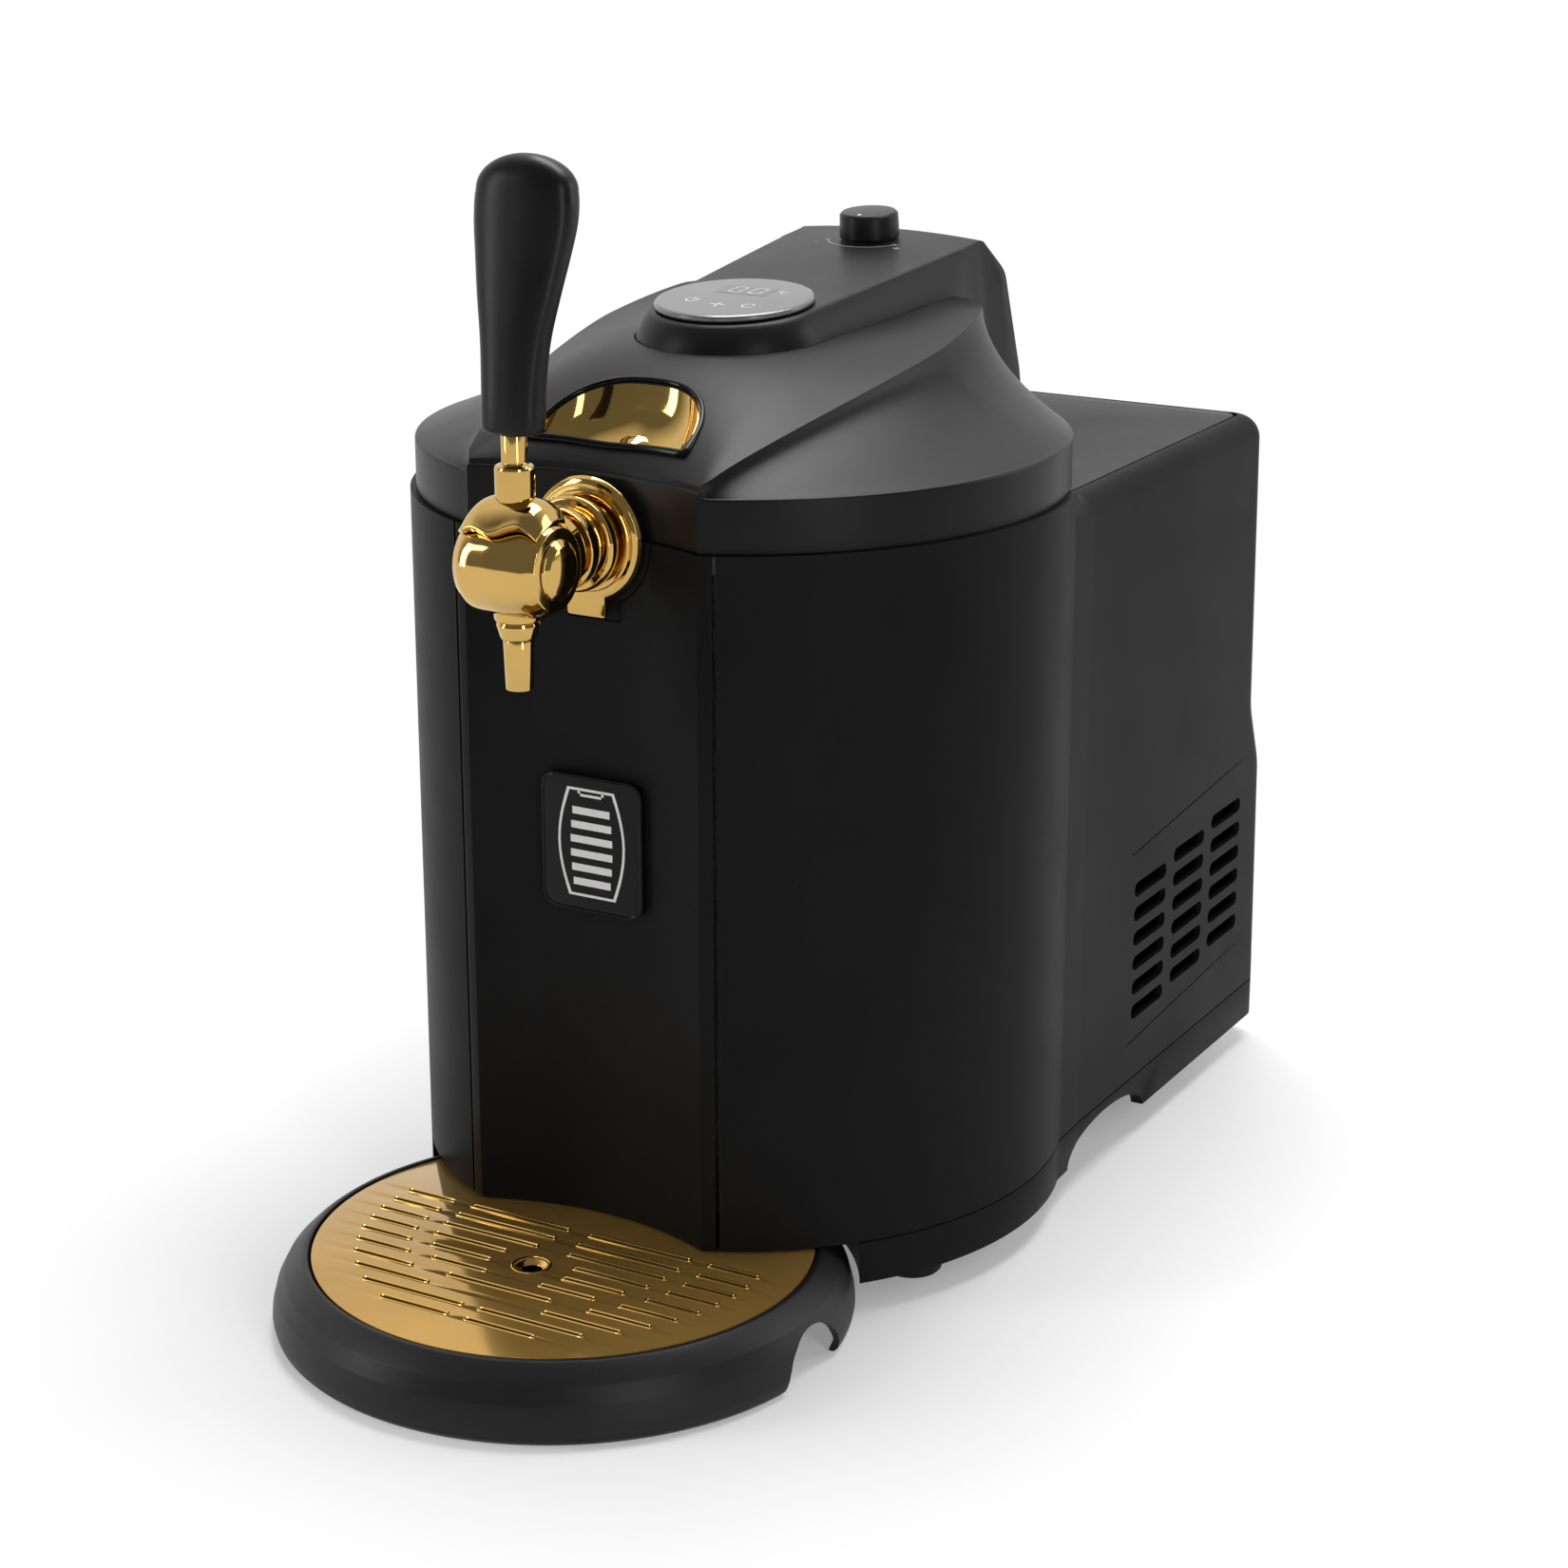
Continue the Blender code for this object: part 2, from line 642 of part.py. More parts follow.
# Rear panel with its stepped profile and outlet slots
levels = [SHELL_BOTTOM, STEP_LOW_Z, STEP_MID_Z, STEP_UP_Z, COVER_TOP - BOX_EDGE_R]
back_line = [(rear_y_at(z), z) for z in levels]
for a in range(1, 5):
    t = QUARTER * a / 4
    z = COVER_TOP - BOX_EDGE_R + BOX_EDGE_R * math.sin(t)
    back_line.append((rear_y_at(z) - BOX_EDGE_R * (1 - math.cos(t)), z))
back_in = []
for a in range(4, 0, -1):
    t = QUARTER * a / 4
    z = COVER_TOP - BOX_EDGE_R + (BOX_EDGE_R - WALL) * math.sin(t)
    back_in.append((rear_y_at(COVER_TOP) - BOX_EDGE_R + (BOX_EDGE_R - WALL) * math.cos(t), z))
back_in = back_in + [(rear_y_at(z) - WALL, z) for z in reversed(levels)]
back = plate("rear_panel", [back_line + back_in], -REAR_PANEL_HALF, REAR_PANEL_HALF, "black_plastic", "X")
GRILLE_ROWS = 9
GRILLE_LOW = 0.1800
GRILLE_PITCH = 0.0100
GRILLE_HALF = 0.0380
GRILLE_H = 0.0050
outs = []
for i in range(GRILLE_ROWS):
    outs.append(capsule(-GRILLE_HALF, GRILLE_HALF, GRILLE_LOW + i * GRILLE_PITCH, GRILLE_H, 2))
outlet = tool_plate("outlet_slots", outs, REAR_TOP_Y - OVERRUN, REAR_REACH + OVERRUN, "Y")
shape(back, outlet)
INLET_IN = 0.0396
INLET_X = REAR_PANEL_HALF - INLET_IN
INLET_Z = 0.0560
INLET_W = 0.0150
INLET_H = 0.0120


def inlet_line(inset):
    w = INLET_W - inset
    h = INLET_H - inset
    return rounded(INLET_X - w, INLET_X + w, INLET_Z - h, INLET_Z + h, FOOT_EDGE, 2)


socket_hole = tool_plate("socket_hole", [inlet_line(0)], REAR_TOP_Y - OVERRUN, REAR_REACH + OVERRUN, "Y")
shape(back, socket_hole)

# Power inlet socket: a body behind the panel hole with three blades in its cavity
INLET_PROUD = 0.0008
INLET_LONG = 0.0298
INLET_FRONT = REAR_REACH + INLET_PROUD
INLET_BACK = INLET_FRONT - INLET_LONG
CAVITY_IN = 0.0030
CAVITY_DEPTH = 0.0160
BLADE_HALF_X = 0.0010
BLADE_HALF_Z = 0.0025
BLADE_STEP = 0.0070
BLADE_SHORT = 0.0030
inlet = plate("power_inlet", [inlet_line(RUN_GAP)], INLET_BACK, INLET_FRONT, "black_plastic", "Y")
cav = inlet_line(CAVITY_IN)
blades = []
for k in (-1, 0, 1):
    x = INLET_X + k * BLADE_STEP
    blade = box_line(x - BLADE_HALF_X, x + BLADE_HALF_X, INLET_Z - BLADE_HALF_Z, INLET_Z + BLADE_HALF_Z)
    blades.append(blade)
cavity_back = INLET_FRONT - CAVITY_DEPTH
socket_way = tool_plate("socket_way", [cav] + blades, cavity_back, INLET_FRONT - BLADE_SHORT, "Y")
socket_mouth = tool_plate("socket_mouth", [cav], INLET_FRONT - BLADE_SHORT - GAP, INLET_FRONT + OVERRUN, "Y")
shape(inlet, socket_way)
shape(inlet, socket_mouth)

# Top cover of the cooling box, cut round the drum
COVER_T = 0.0025
COVER_SEAM = 0.0009
COVER_INSET = BOX_EDGE_R + COVER_SEAM
cover_x_front = BOX_HALF_FRONT - COVER_INSET
cover_x_rear = BOX_HALF_REAR - COVER_INSET
cover_rear_y = REAR_TOP_Y - BOX_EDGE_R - COVER_SEAM
cover_front_r = DRUM_R - WALL + GAP
a_side = math.asin(cover_x_front / cover_front_r)
cov = []
for i in range(17):
    t = mix(a_side, -a_side, i / 16)
    cov.append((cover_front_r * math.sin(t), cover_front_r * math.cos(t)))
cover_r = BOX_CORNER_R * HALF
cover_rear = [(-cover_x_rear, cover_rear_y - BOX_CORNER_R)]
for t in (0, QUARTER / 2, QUARTER):
    cover_rear.append((-cover_x_rear + cover_r * (1 - math.cos(t)), cover_rear_y - cover_r * (1 - math.sin(t))))
cov = cov + cover_rear + [(-x, y) for x, y in reversed(cover_rear)]
plate("rear_top_cover", [cov], COVER_TOP - COVER_T, COVER_TOP, "black_plastic")

# Keg chamber: collar, liner cup and foam jacket
SHANK_CLEAR = 0.0195
collar_in = WALL + 2 * GAP
collar_a = CORNER_ANGLE + LAP_ANGLE
collar_line = front_points(DRUM_R, collar_in, 10)
collar_line = collar_line + arc_points(DRUM_R - collar_in, collar_a, FULL - collar_a, 28)
collar_hole = circle(CHAMBER_R + 2 * GAP, 32)
collar = plate("chamber_collar", [collar_line, collar_hole], COLLAR_LOW, COLLAR_TOP, "grey_plastic")
clear_line = box_line(-SHANK_CLEAR, SHANK_CLEAR, -DRUM_R - OVERRUN, -CHAMBER_R + GAP)
front_clear = tool_plate("front_clear", [clear_line], TAP_Z - SHANK_CLEAR, TAP_Z + SHANK_CLEAR)
shape(collar, front_clear)
liner_r = CHAMBER_R + CHAMBER_WALL
liner_floor = CHAMBER_FLOOR - CHAMBER_WALL
liner_profile = [
    (0, CHAMBER_FLOOR), (CHAMBER_R, CHAMBER_FLOOR), (CHAMBER_R, CHAMBER_TOP), (liner_r, CHAMBER_TOP),
    (liner_r, liner_floor), (0, liner_floor)]
turned("chamber_liner", liner_profile, 32, "liner_alu")
foam_floor = liner_floor - GAP
foam_profile = [
    (0, foam_floor), (liner_r + GAP, foam_floor), (liner_r + GAP, CHAMBER_TOP), (FOAM_R, CHAMBER_TOP),
    (FOAM_R, DECK_TOP + GAP), (0, DECK_TOP + GAP)]
foam = turned("insulation_jacket", foam_profile, 32, "foam_white")
shape(foam, front_clear)
COLD_HALF = 0.0280
COLD_LOW = 0.1900
COLD_HIGH = 0.2460
COLD_DEEP = 0.0270
COLD_BACK = CHAMBER_R + COLD_DEEP
window_line = box_line(-COLD_HALF - GAP, COLD_HALF + GAP, CHAMBER_R * HALF, FOAM_R + OVERRUN)
window = tool_plate("foam_window", [window_line], COLD_LOW - GAP, COLD_HIGH + GAP)
shape(foam, window)

# Cooling train behind the liner: cold block, thermoelectric tile, finned sink and fan
cold_r = liner_r + GAP
cold_a = math.asin(COLD_HALF / cold_r)
cold_arc = arc_line(0, 0, cold_r, QUARTER + cold_a, QUARTER - cold_a, 8)
cold_line = cold_arc + [(COLD_HALF, COLD_BACK), (-COLD_HALF, COLD_BACK)]
plate("cold_block", [cold_line], COLD_LOW, COLD_HIGH, "liner_alu")
TILE_HALF = 0.0200
TILE_T = 0.0038
cold_mid = (COLD_LOW + COLD_HIGH) / 2
tile_y = COLD_BACK + GAP
tile_line = box_line(-TILE_HALF, TILE_HALF, tile_y, tile_y + TILE_T)
plate("peltier_tile", [tile_line], cold_mid - TILE_HALF, cold_mid + TILE_HALF, "white_ceramic")
SINK_HALF = 0.0450
SINK_BASE = 0.0060
SINK_DEEP = 0.0380
FIN_COUNT = 13
FIN_T = 0.0018
sink_y = tile_y + TILE_T + GAP
comb = [(-SINK_HALF, sink_y), (SINK_HALF, sink_y)]
fin_step = (2 * SINK_HALF - FIN_T) / (FIN_COUNT - 1)
for i in range(FIN_COUNT):
    x1 = SINK_HALF - i * fin_step
    x0 = x1 - FIN_T
    comb = comb + [(x1, sink_y + SINK_DEEP), (x0, sink_y + SINK_DEEP)]
    if i < FIN_COUNT - 1:
        comb = comb + [(x0, sink_y + SINK_BASE), (x0 + FIN_T - fin_step, sink_y + SINK_BASE)]
plate("heat_sink", [comb], cold_mid - SINK_HALF, cold_mid + SINK_HALF, "liner_alu")

FAN_HALF = 0.0400
FAN_T = 0.0200
FAN_HOLE = 0.0375
FAN_CORNER_R = 0.0036
HUB_R = 0.0150
STRUT_HALF = 0.0016
STRUT_T = 0.0025
BLADES = 7
BLADE_R = 0.0355
BLADE_DEEP = 0.0125
BLADE_TWIST = math.radians(22)
BLADE_THICK = math.radians(5)
fan_y = sink_y + SINK_DEEP + GAP
fan_back = fan_y + FAN_T
fan_square = rounded(-FAN_HALF, FAN_HALF, cold_mid - FAN_HALF, cold_mid + FAN_HALF, FAN_CORNER_R, 3)
fan_hole = circle(FAN_HOLE, 24, 0, cold_mid)
fan = plate("fan_frame", [fan_square, fan_hole], fan_y, fan_back, "black_plastic", "Y")
for k, turn in enumerate((QUARTER / 2, QUARTER + QUARTER / 2)):
    dx, dz = math.cos(turn), math.sin(turn)
    long = FAN_HOLE + FOOT_EDGE
    pts = []
    for a, b in ((-1, -1), (1, -1), (1, 1), (-1, 1)):
        pts.append((a * dx * long + b * dz * STRUT_HALF, cold_mid + a * dz * long - b * dx * STRUT_HALF))
    shape(fan, tool_plate("fan_strut_" + str(k), [pts], fan_back - STRUT_T, fan_back, "Y"), "UNION")
hub_ring = circle(HUB_R, 20, 0, cold_mid)
seat = tool_plate("fan_motor_seat", [hub_ring], fan_back - STRUT_T - GAP, fan_back - GAP, "Y")
shape(fan, seat, "UNION")

ring = []
for b in range(BLADES):
    a = FULL * b / BLADES
    ring = ring + [(BLADE_R, a - BLADE_THICK * HALF), (BLADE_R, a + BLADE_THICK * HALF)]
    ring.append((HUB_R, a + BLADE_THICK * 2))
    ring = ring + [(HUB_R, a + FULL / BLADES / 2), (HUB_R, a + FULL / BLADES - BLADE_THICK * 2)]
nr = len(ring)
layers = 4
rv = []
for k in range(layers):
    tw = BLADE_TWIST * k / (layers - 1)
    dy = -BLADE_DEEP / 2 + BLADE_DEEP * k / (layers - 1)
    rv = rv + [(r * math.cos(a + tw), dy, r * math.sin(a + tw)) for r, a in ring]
rf = [tuple(range(nr)), tuple(reversed(range((layers - 1) * nr, layers * nr)))]
for k in range(layers - 1):
    for i in range(nr):
        j = (i + 1) % nr
        rf.append((k * nr + i, k * nr + nr + i, k * nr + nr + j, k * nr + j))
rotor = mesh_object("fan_rotor", rv, rf)
ROTOR_Y = fan_y + FAN_T - STRUT_T - GAP - GAP - RUN_GAP - BLADE_DEEP / 2
adopt(rotor, "grey_plastic", (0, ROTOR_Y, cold_mid), smooth=False)

# Power board on the deck
BOARD_HALF = 0.0450
BOARD_BEHIND = 0.0176
BOARD_LONG = 0.0650
BOARD_Y0 = DRUM_R + BOARD_BEHIND
BOARD_Y1 = BOARD_Y0 + BOARD_LONG
BOARD_LOW = 0.0370
BOARD_T = 0.0016
POST_R = 0.0030
board_top = BOARD_LOW + BOARD_T
board = box("power_board", -BOARD_HALF, BOARD_HALF, BOARD_Y0, BOARD_Y1, BOARD_LOW, board_top, "board_green")
# Each board part: name, place across, place behind the board's front edge, radius, height
BOARD_PARTS = (
    ("coil", -0.0280, 0.0260, 0.0130, 0.0220),
    ("can", 0.0080, 0.0200, 0.0080, 0.0260),
    ("chip", 0.0300, 0.0450, 0.0090, 0.0100))
board_mid = BOARD_LOW + BOARD_T / 2
for label, x, y, part_r, part_h in BOARD_PARTS:
    part_ring = circle(part_r, 12, x, BOARD_Y0 + y)
    body = tool_plate("board_" + label, [part_ring], board_mid, BOARD_LOW + BOARD_T + part_h)
    shape(board, body, "UNION")
for sx, side in ((-1, "left"), (1, "right")):
    for yy, end in ((BOARD_Y0 + 2 * POST_R, "front"), (BOARD_Y1 - 2 * POST_R, "rear")):
        post_line = circle(POST_R, 8, sx * (BOARD_HALF - 2 * POST_R), yy)
        post = tool_plate("board_post_" + end + "_" + side, [post_line], DECK_TOP + GAP, board_mid)
        shape(board, post, "UNION")

# Drip tray: rim lip, flared skirt, bowl and two finger arches
# Distance in from the outer edge and height, from the bowl floor out over the rim and back underneath
TRAY_STEPS = (
    (0.0217, 0.0062), (0.0194, 0.0085), (0.0177, 0.0260), (0.0148, 0.0260), (0.0145, TRAY_LIP_TOP),
    (0.0126, TRAY_LIP_TOP), (0.0092, 0.0262), (0.0052, 0.0222), (0.0020, 0.0160), (0.0003, 0.0095),
    (0.0000, 0.0058), (0.0008, 0.0022), (0.0028, 0.0000), (0.0052, 0.0000), (0.0026, 0.0060),
    (0.0042, 0.0140), (0.0114, 0.0238), (0.0160, 0.0236), (0.0187, 0.0040))
tray_profile = [(TRAY_R - d, z) for d, z in TRAY_STEPS]
tray_profile = [(0, TRAY_STEPS[0][1])] + tray_profile + [(0, TRAY_STEPS[-1][1])]
tray = turned("drip_tray", tray_profile, 32, "black_plastic", where=(0, TRAY_Y, 0))
notch = []
for i in range(11):
    t = math.pi * i / 10
    notch.append((TRAY_Y + NOTCH_HALF * math.cos(t), NOTCH_RISE * math.sin(t)))
notch = notch + [(TRAY_Y - NOTCH_HALF, -OVERRUN), (TRAY_Y + NOTCH_HALF, -OVERRUN)]
for s in (-1, 1):
    lo, hi = sorted((s * NOTCH_IN, s * (TRAY_R + OVERRUN)))
    shape(tray, tool_plate("finger_arch_" + ("left" if s < 0 else "right"), [notch], lo, hi, "X"))

# Drip plate: slots lie in rows across the plate; each span is its start and end as shares of the plate's radius
ROW_SHARES = (
    (0, ((0.0461, 0.5205), (0.6035, 0.8320))),
    (1, ((0.0512, 0.5277), (0.6096, 0.8402))),
    (2, ((0.0717, 0.5225), (0.6045, 0.8361))),
    (3, ((0.1588, 0.5020), (0.5871, 0.8176))),
    (4, ((0.1691, 0.4529), (0.5512, 0.7930))),
    (5, ((0.1230, 0.3791), (0.4898, 0.7480))),
    (6, ((0.4078, 0.6916),)),
    (7, ((0.2643, 0.6148),)),
    (8, ((0.0359, 0.5072),)),
    (9, ((0.0389, 0.3535),)))
MID_SLOT_SHARE = 0.2408
MID_ROW = 6
holes = []
for line_no, spans in ROW_SHARES:
    y = SLOT_FIRST - line_no * SLOT_PITCH
    for start, end in spans:
        holes.append(capsule(PLATE_R * start, PLATE_R * end, y, SLOT_W, 2))
        holes.append(capsule(-PLATE_R * end, -PLATE_R * start, y, SLOT_W, 2))
mid_slot = PLATE_R * MID_SLOT_SHARE
holes.append(capsule(-mid_slot, mid_slot, SLOT_FIRST - MID_ROW * SLOT_PITCH, SLOT_W, 2))
holes.append(circle(DRAIN_R, 14, 0, DRAIN_Y))
plate("drip_grille", [circle(PLATE_R, 48)] + holes, PLATE_LOW, PLATE_TOP, "plate_gold", where=(0, TRAY_Y, 0))

# Tap: flange, shank, nut, barrel, caps, hood, stem, grip, spout
flange_profile = [
    (SHANK_R + GAP, 0), (SHANK_R + GAP, 0.0043), (0.0195, 0.0043), (0.0212, 0.0038), (0.0228, 0.0028),
    (FLANGE_R, 0.0012), (FLANGE_R, 0)]
flange = turned("tap_flange", flange_profile, 24, "gold_metal", "Y", (0, FLANGE_BACK_Y, TAP_Z))
flange.rotation_euler = (QUARTER, 0, 0)
TAB_HALF = 0.0082
TAB_DROP = 0.0292
TAB_RISE = 0.0102
TAB_T = 0.0030
tab_line = rounded(-TAB_HALF, TAB_HALF, TAP_Z - TAB_DROP, TAP_Z - TAB_RISE, FOOT_EDGE, 2)
tab = tool_plate("flange_tab", [tab_line], FLANGE_BACK_Y - TAB_T, FLANGE_BACK_Y, "Y")
shape(flange, tab, "UNION")
SHANK_IN = 0.0126
SHANK_OUT = 0.0287
SHANK_TAIL = FACE_MID_Y + SHANK_IN
SHANK_FRONT = FACE_MID_Y - SHANK_OUT
shank_len = SHANK_TAIL - SHANK_FRONT
shank_profile = [
    (0, 0), (0.0132, 0), (0.0132, 0.0026), (0.0160, 0.0032), (0.0160, 0.0082), (0.0138, 0.0088),
    (0.0138, 0.0118), (0.0172, 0.0124), (0.0182, 0.0140), (0.0182, 0.0170), (0.0172, 0.0186), (0.0140, 0.0190),
    (0.0140, 0.0211),
    (SHANK_R, 0.0211), (SHANK_R, 0.0370), (0.0050, 0.0372), (0.0050, shank_len), (0, shank_len)]
shank = turned("tap_shank", shank_profile, 16, "gold_metal", "Y", (0, SHANK_FRONT, TAP_Z))
NUT_R = 0.0160
NUT_IN = 0.0033
NUT_T = 0.0053
NUT_Y0 = FACE_MID_Y + NUT_IN
NUT_Y1 = NUT_Y0 + NUT_T
nut_bore = circle(SHANK_R + GAP, 20, 0, TAP_Z)
plate("shank_nut", [circle(NUT_R, 6, 0, TAP_Z), nut_bore], NUT_Y0, NUT_Y1, "steel", "Y")

barrel_profile = [
    (0, -BARREL_HALF), (0.0140, -BARREL_HALF), (0.0160, -0.0170), (0.0176, -0.0153), (0.0186, -0.0110),
    (BARREL_R, 0), (0.0186, 0.0110), (0.0176, 0.0153), (0.0160, 0.0170), (0.0140, BARREL_HALF),
    (0, BARREL_HALF)]
barrel = turned("tap_body", barrel_profile, 20, "gold_metal", "X", (0, TAP_Y, TAP_Z))
NECK_R = 0.0156
neck = tool_plate("barrel_neck", [circle(NECK_R, 24, 0, TAP_Z)], TAP_Y, SHANK_FRONT - GAP, "Y")
shape(barrel, neck, "UNION")
SPOUT_BORE = 0.0019
COLLAR_R = 0.0080
DROP_R = 0.0088
DROP_LONG = 0.0202
SPOUT_COLLAR_H = 0.0066
SPOUT_LONG = 0.0188
drop_low = TAP_Z - DROP_LONG
spout_collar_z = drop_low - GAP
drop = tool_plate("barrel_drop", [circle(DROP_R, 24, 0, TAP_Y)], drop_low, TAP_Z)
shape(barrel, drop, "UNION")
cap_profile = [(0, 0.0034), (0.0050, 0.0031), (0.0088, 0.0022), (0.0110, 0.0008), (0.0113, 0), (0, 0)]
for s, side in ((-1, "left"), (1, "right")):
    at = (s * (BARREL_HALF + GAP), TAP_Y, TAP_Z)
    cap = turned("tap_end_cap_" + side, cap_profile, 16, "gold_metal", "X", at)
    cap.rotation_euler = (0, s * QUARTER, 0)
spout_collar_profile = [
    (SPOUT_BORE, 0), (SPOUT_BORE, -SPOUT_COLLAR_H), (0.0064, -SPOUT_COLLAR_H), (0.0068, -0.0050),
    (COLLAR_R, -0.0012), (0.0076, 0)]
turned("spout_collar", spout_collar_profile, 18, "gold_metal", where=(0, TAP_Y, spout_collar_z))
spout_profile = [(SPOUT_BORE, 0), (SPOUT_BORE, -SPOUT_LONG), (0.0052, -SPOUT_LONG), (0.0058, 0)]
turned("spout", spout_profile, 18, "gold_metal", where=(0, TAP_Y, spout_collar_z - SPOUT_COLLAR_H - GAP))

# Hood over the barrel: a wavy-edged saddle that turns with the lever
HOOD_GAP = 0.0008
HOOD_T = 0.0018
HOOD_DOME = 0.0042
HOOD_HALF = 0.0166
STEM_SEAT_R = 0.0074
# Degrees from the top down to the hood's front and rear edges, across the barrel from left to right
HOOD_FRONT = (44, 47, 45, 47, 50, 48, 42, 38, 40, 44)
HOOD_REAR = (24, 26, 28, 28, 28, 28, 28, 28, 26, 24)


def barrel_radius(x):
    pts = [(p[1], p[0]) for p in barrel_profile[1:-1]]
    for i in range(len(pts) - 1):
        if pts[i][0] <= x <= pts[i + 1][0]:
            return mix(pts[i][1], pts[i + 1][1], (x - pts[i][0]) / (pts[i + 1][0] - pts[i][0]))
    return pts[-1][1]


hv = []
hf = []
nx, na = len(HOOD_FRONT) - 1, 8
for layer, extra in ((0, HOOD_GAP), (1, HOOD_GAP + HOOD_T)):
    for i in range(nx + 1):
        x = mix(-HOOD_HALF, HOOD_HALF, i / nx)
        u = x / HOOD_HALF
        fa = math.radians(HOOD_FRONT[i])
        ra = math.radians(HOOD_REAR[i])
        for j in range(na + 1):
            t = mix(-fa, ra, j / na)
            crown = HOOD_DOME * (1 - u ** 4) * math.cos(t) ** 3 if layer else 0
            r = barrel_radius(x) + extra + crown
            hv.append((x, r * math.sin(t), r * math.cos(t)))
row = na + 1
size = (nx + 1) * row
for i in range(nx):
    for j in range(na):
        a = i * row + j
        hf.append((a, a + 1, a + row + 1, a + row))
        hf.append((size + a, size + a + row, size + a + row + 1, size + a + 1))
for i in range(nx):
    for j in (0, na):
        a = i * row + j
        q = (a, a + row, size + a + row, size + a)
        hf.append(q if j == 0 else tuple(reversed(q)))
for j in range(na):
    for i in (0, nx):
        a = i * row + j
        q = (a, size + a, size + a + 1, a + 1)
        hf.append(q if i == 0 else tuple(reversed(q)))
hood = adopt(mesh_object("lever_hood", hv, hf), "gold_metal", (0, TAP_Y, TAP_Z))
STEM_LOW = BARREL_R + HOOD_GAP
stem_seat = tool_plate("stem_seat", [circle(STEM_SEAT_R + GAP, 20, 0, TAP_Y)], TAP_Z, TAP_Z + BARREL_R + OVERRUN)
shape(hood, stem_seat)
STEM_TOP = 0.0478
stem_profile = [
    (0, STEM_LOW), (STEM_SEAT_R, STEM_LOW), (STEM_SEAT_R, 0.0356), (0.0066, 0.0366), (0.0050, 0.0366),
    (0.0048, 0.0374), (0.0048, STEM_TOP), (0, STEM_TOP)]
turned("lever_stem", stem_profile, 12, "gold_metal", where=(0, TAP_Y, TAP_Z))

# Grip sections: height above its foot, half width, half depth, shift to the rear
GRIP_LOW = STEM_TOP + 2 * GAP
GRIP = (
    (0.0000, 0.0125, 0.0078, 0.0000), (0.0012, 0.0134, 0.0086, 0.0000), (0.0150, 0.0134, 0.0082, 0.0006),
    (0.0320, 0.0142, 0.0078, 0.0024), (0.0480, 0.0162, 0.0080, 0.0052), (0.0620, 0.0186, 0.0088, 0.0084),
    (0.0740, 0.0202, 0.0096, 0.0108), (0.0840, 0.0198, 0.0096, 0.0120), (0.0905, 0.0172, 0.0084, 0.0124),
    (0.0948, 0.0126, 0.0062, 0.0124), (0.0966, 0.0070, 0.0036, 0.0124))
GRIP_POWER = 2.6
gv = []
gn = 18
for h, wx, wy, oy in GRIP:
    for i in range(gn):
        t = FULL * i / gn
        c, sn = math.cos(t), math.sin(t)
        gx = wx * math.copysign(abs(c) ** (2 / GRIP_POWER), c)
        gy = wy * math.copysign(abs(sn) ** (2 / GRIP_POWER), sn)
        gv.append((gx, oy + gy, GRIP_LOW + h))
gf = [tuple(reversed(range(gn))), tuple(range((len(GRIP) - 1) * gn, len(GRIP) * gn))]
for k in range(len(GRIP) - 1):
    for i in range(gn):
        j = (i + 1) % gn
        gf.append((k * gn + i, k * gn + j, k * gn + gn + j, k * gn + gn + i))
adopt(mesh_object("handle_grip", gv, gf), "black_plastic", (0, TAP_Y, TAP_Z))

# Beer line from the shank down under the lid liner to the coupler
LINE_R = 0.0038
LINE_DIP = 0.0059
LINE_START = 0.0005
LINE_BEND = (0.0085, 0.0185, 0.0285)
LINE_END_Y = -0.0140
line_y = SHANK_TAIL + LINE_START
beer_path = [
    (0, line_y, TAP_Z), (0, line_y + LINE_BEND[0], TAP_Z - 2 * GAP),
    (0, line_y + LINE_BEND[1], TAP_Z - LINE_R), (0, line_y + LINE_BEND[2], TAP_Z - LINE_DIP),
    (0, LINE_END_Y, TAP_Z - LINE_DIP)]
tube("beer_line", beer_path, LINE_R, "clear_hose")


# Lid dome. Heights of the middle panel, its crease line and the cove round it

def crease_half(y):
    # Half width of the middle panel: a long arc, drawn in a little between the corner and the middle
    k = CREASE_ARC_R - CREASE_WIDE
    d = y - CREASE_MID_Y
    draw = CREASE_DRAW * math.sin(math.pi * share_of(y, -LID_R * math.cos(CORNER_ANGLE), CREASE_DRAW_Y))
    return math.sqrt(CREASE_ARC_R * CREASE_ARC_R - d * d) - k - draw


def panel_z(x, y):
    xx = min(abs(x), LID_R * math.sin(CORNER_ANGLE))
    y0 = face_y(LID_R, xx)
    s = (y - y0) / (PANEL_REAR_Y - y0)
    s = max(0.0, min(1.0, s))
    u = min(1.0, abs(x) / crease_half(max(-LID_R, y)))
    crown = math.sin(math.pi * s ** CROWN_SHIFT) ** CROWN_POWER
    return FRONT_EDGE_Z + PANEL_RISE * s ** RISE_POWER + PANEL_CROWN * crown * (1 - u * u)


def crease_radius(b):
    # Polar radius of the side crease at the angle b from the front; behind the middle it rounds off
    lo, hi = 0.0, LID_R
    for _ in range(40):
        m = (lo + hi) / 2
        x, y = m * math.sin(b), -m * math.cos(b)
        if x < crease_half(y):
            lo = m
        else:
            hi = m
    if b < QUARTER:
        return lo
    k = CREASE_SOFT
    return -k * math.log(math.exp(-lo / k) + math.exp(-CREASE_REAR_R / k))


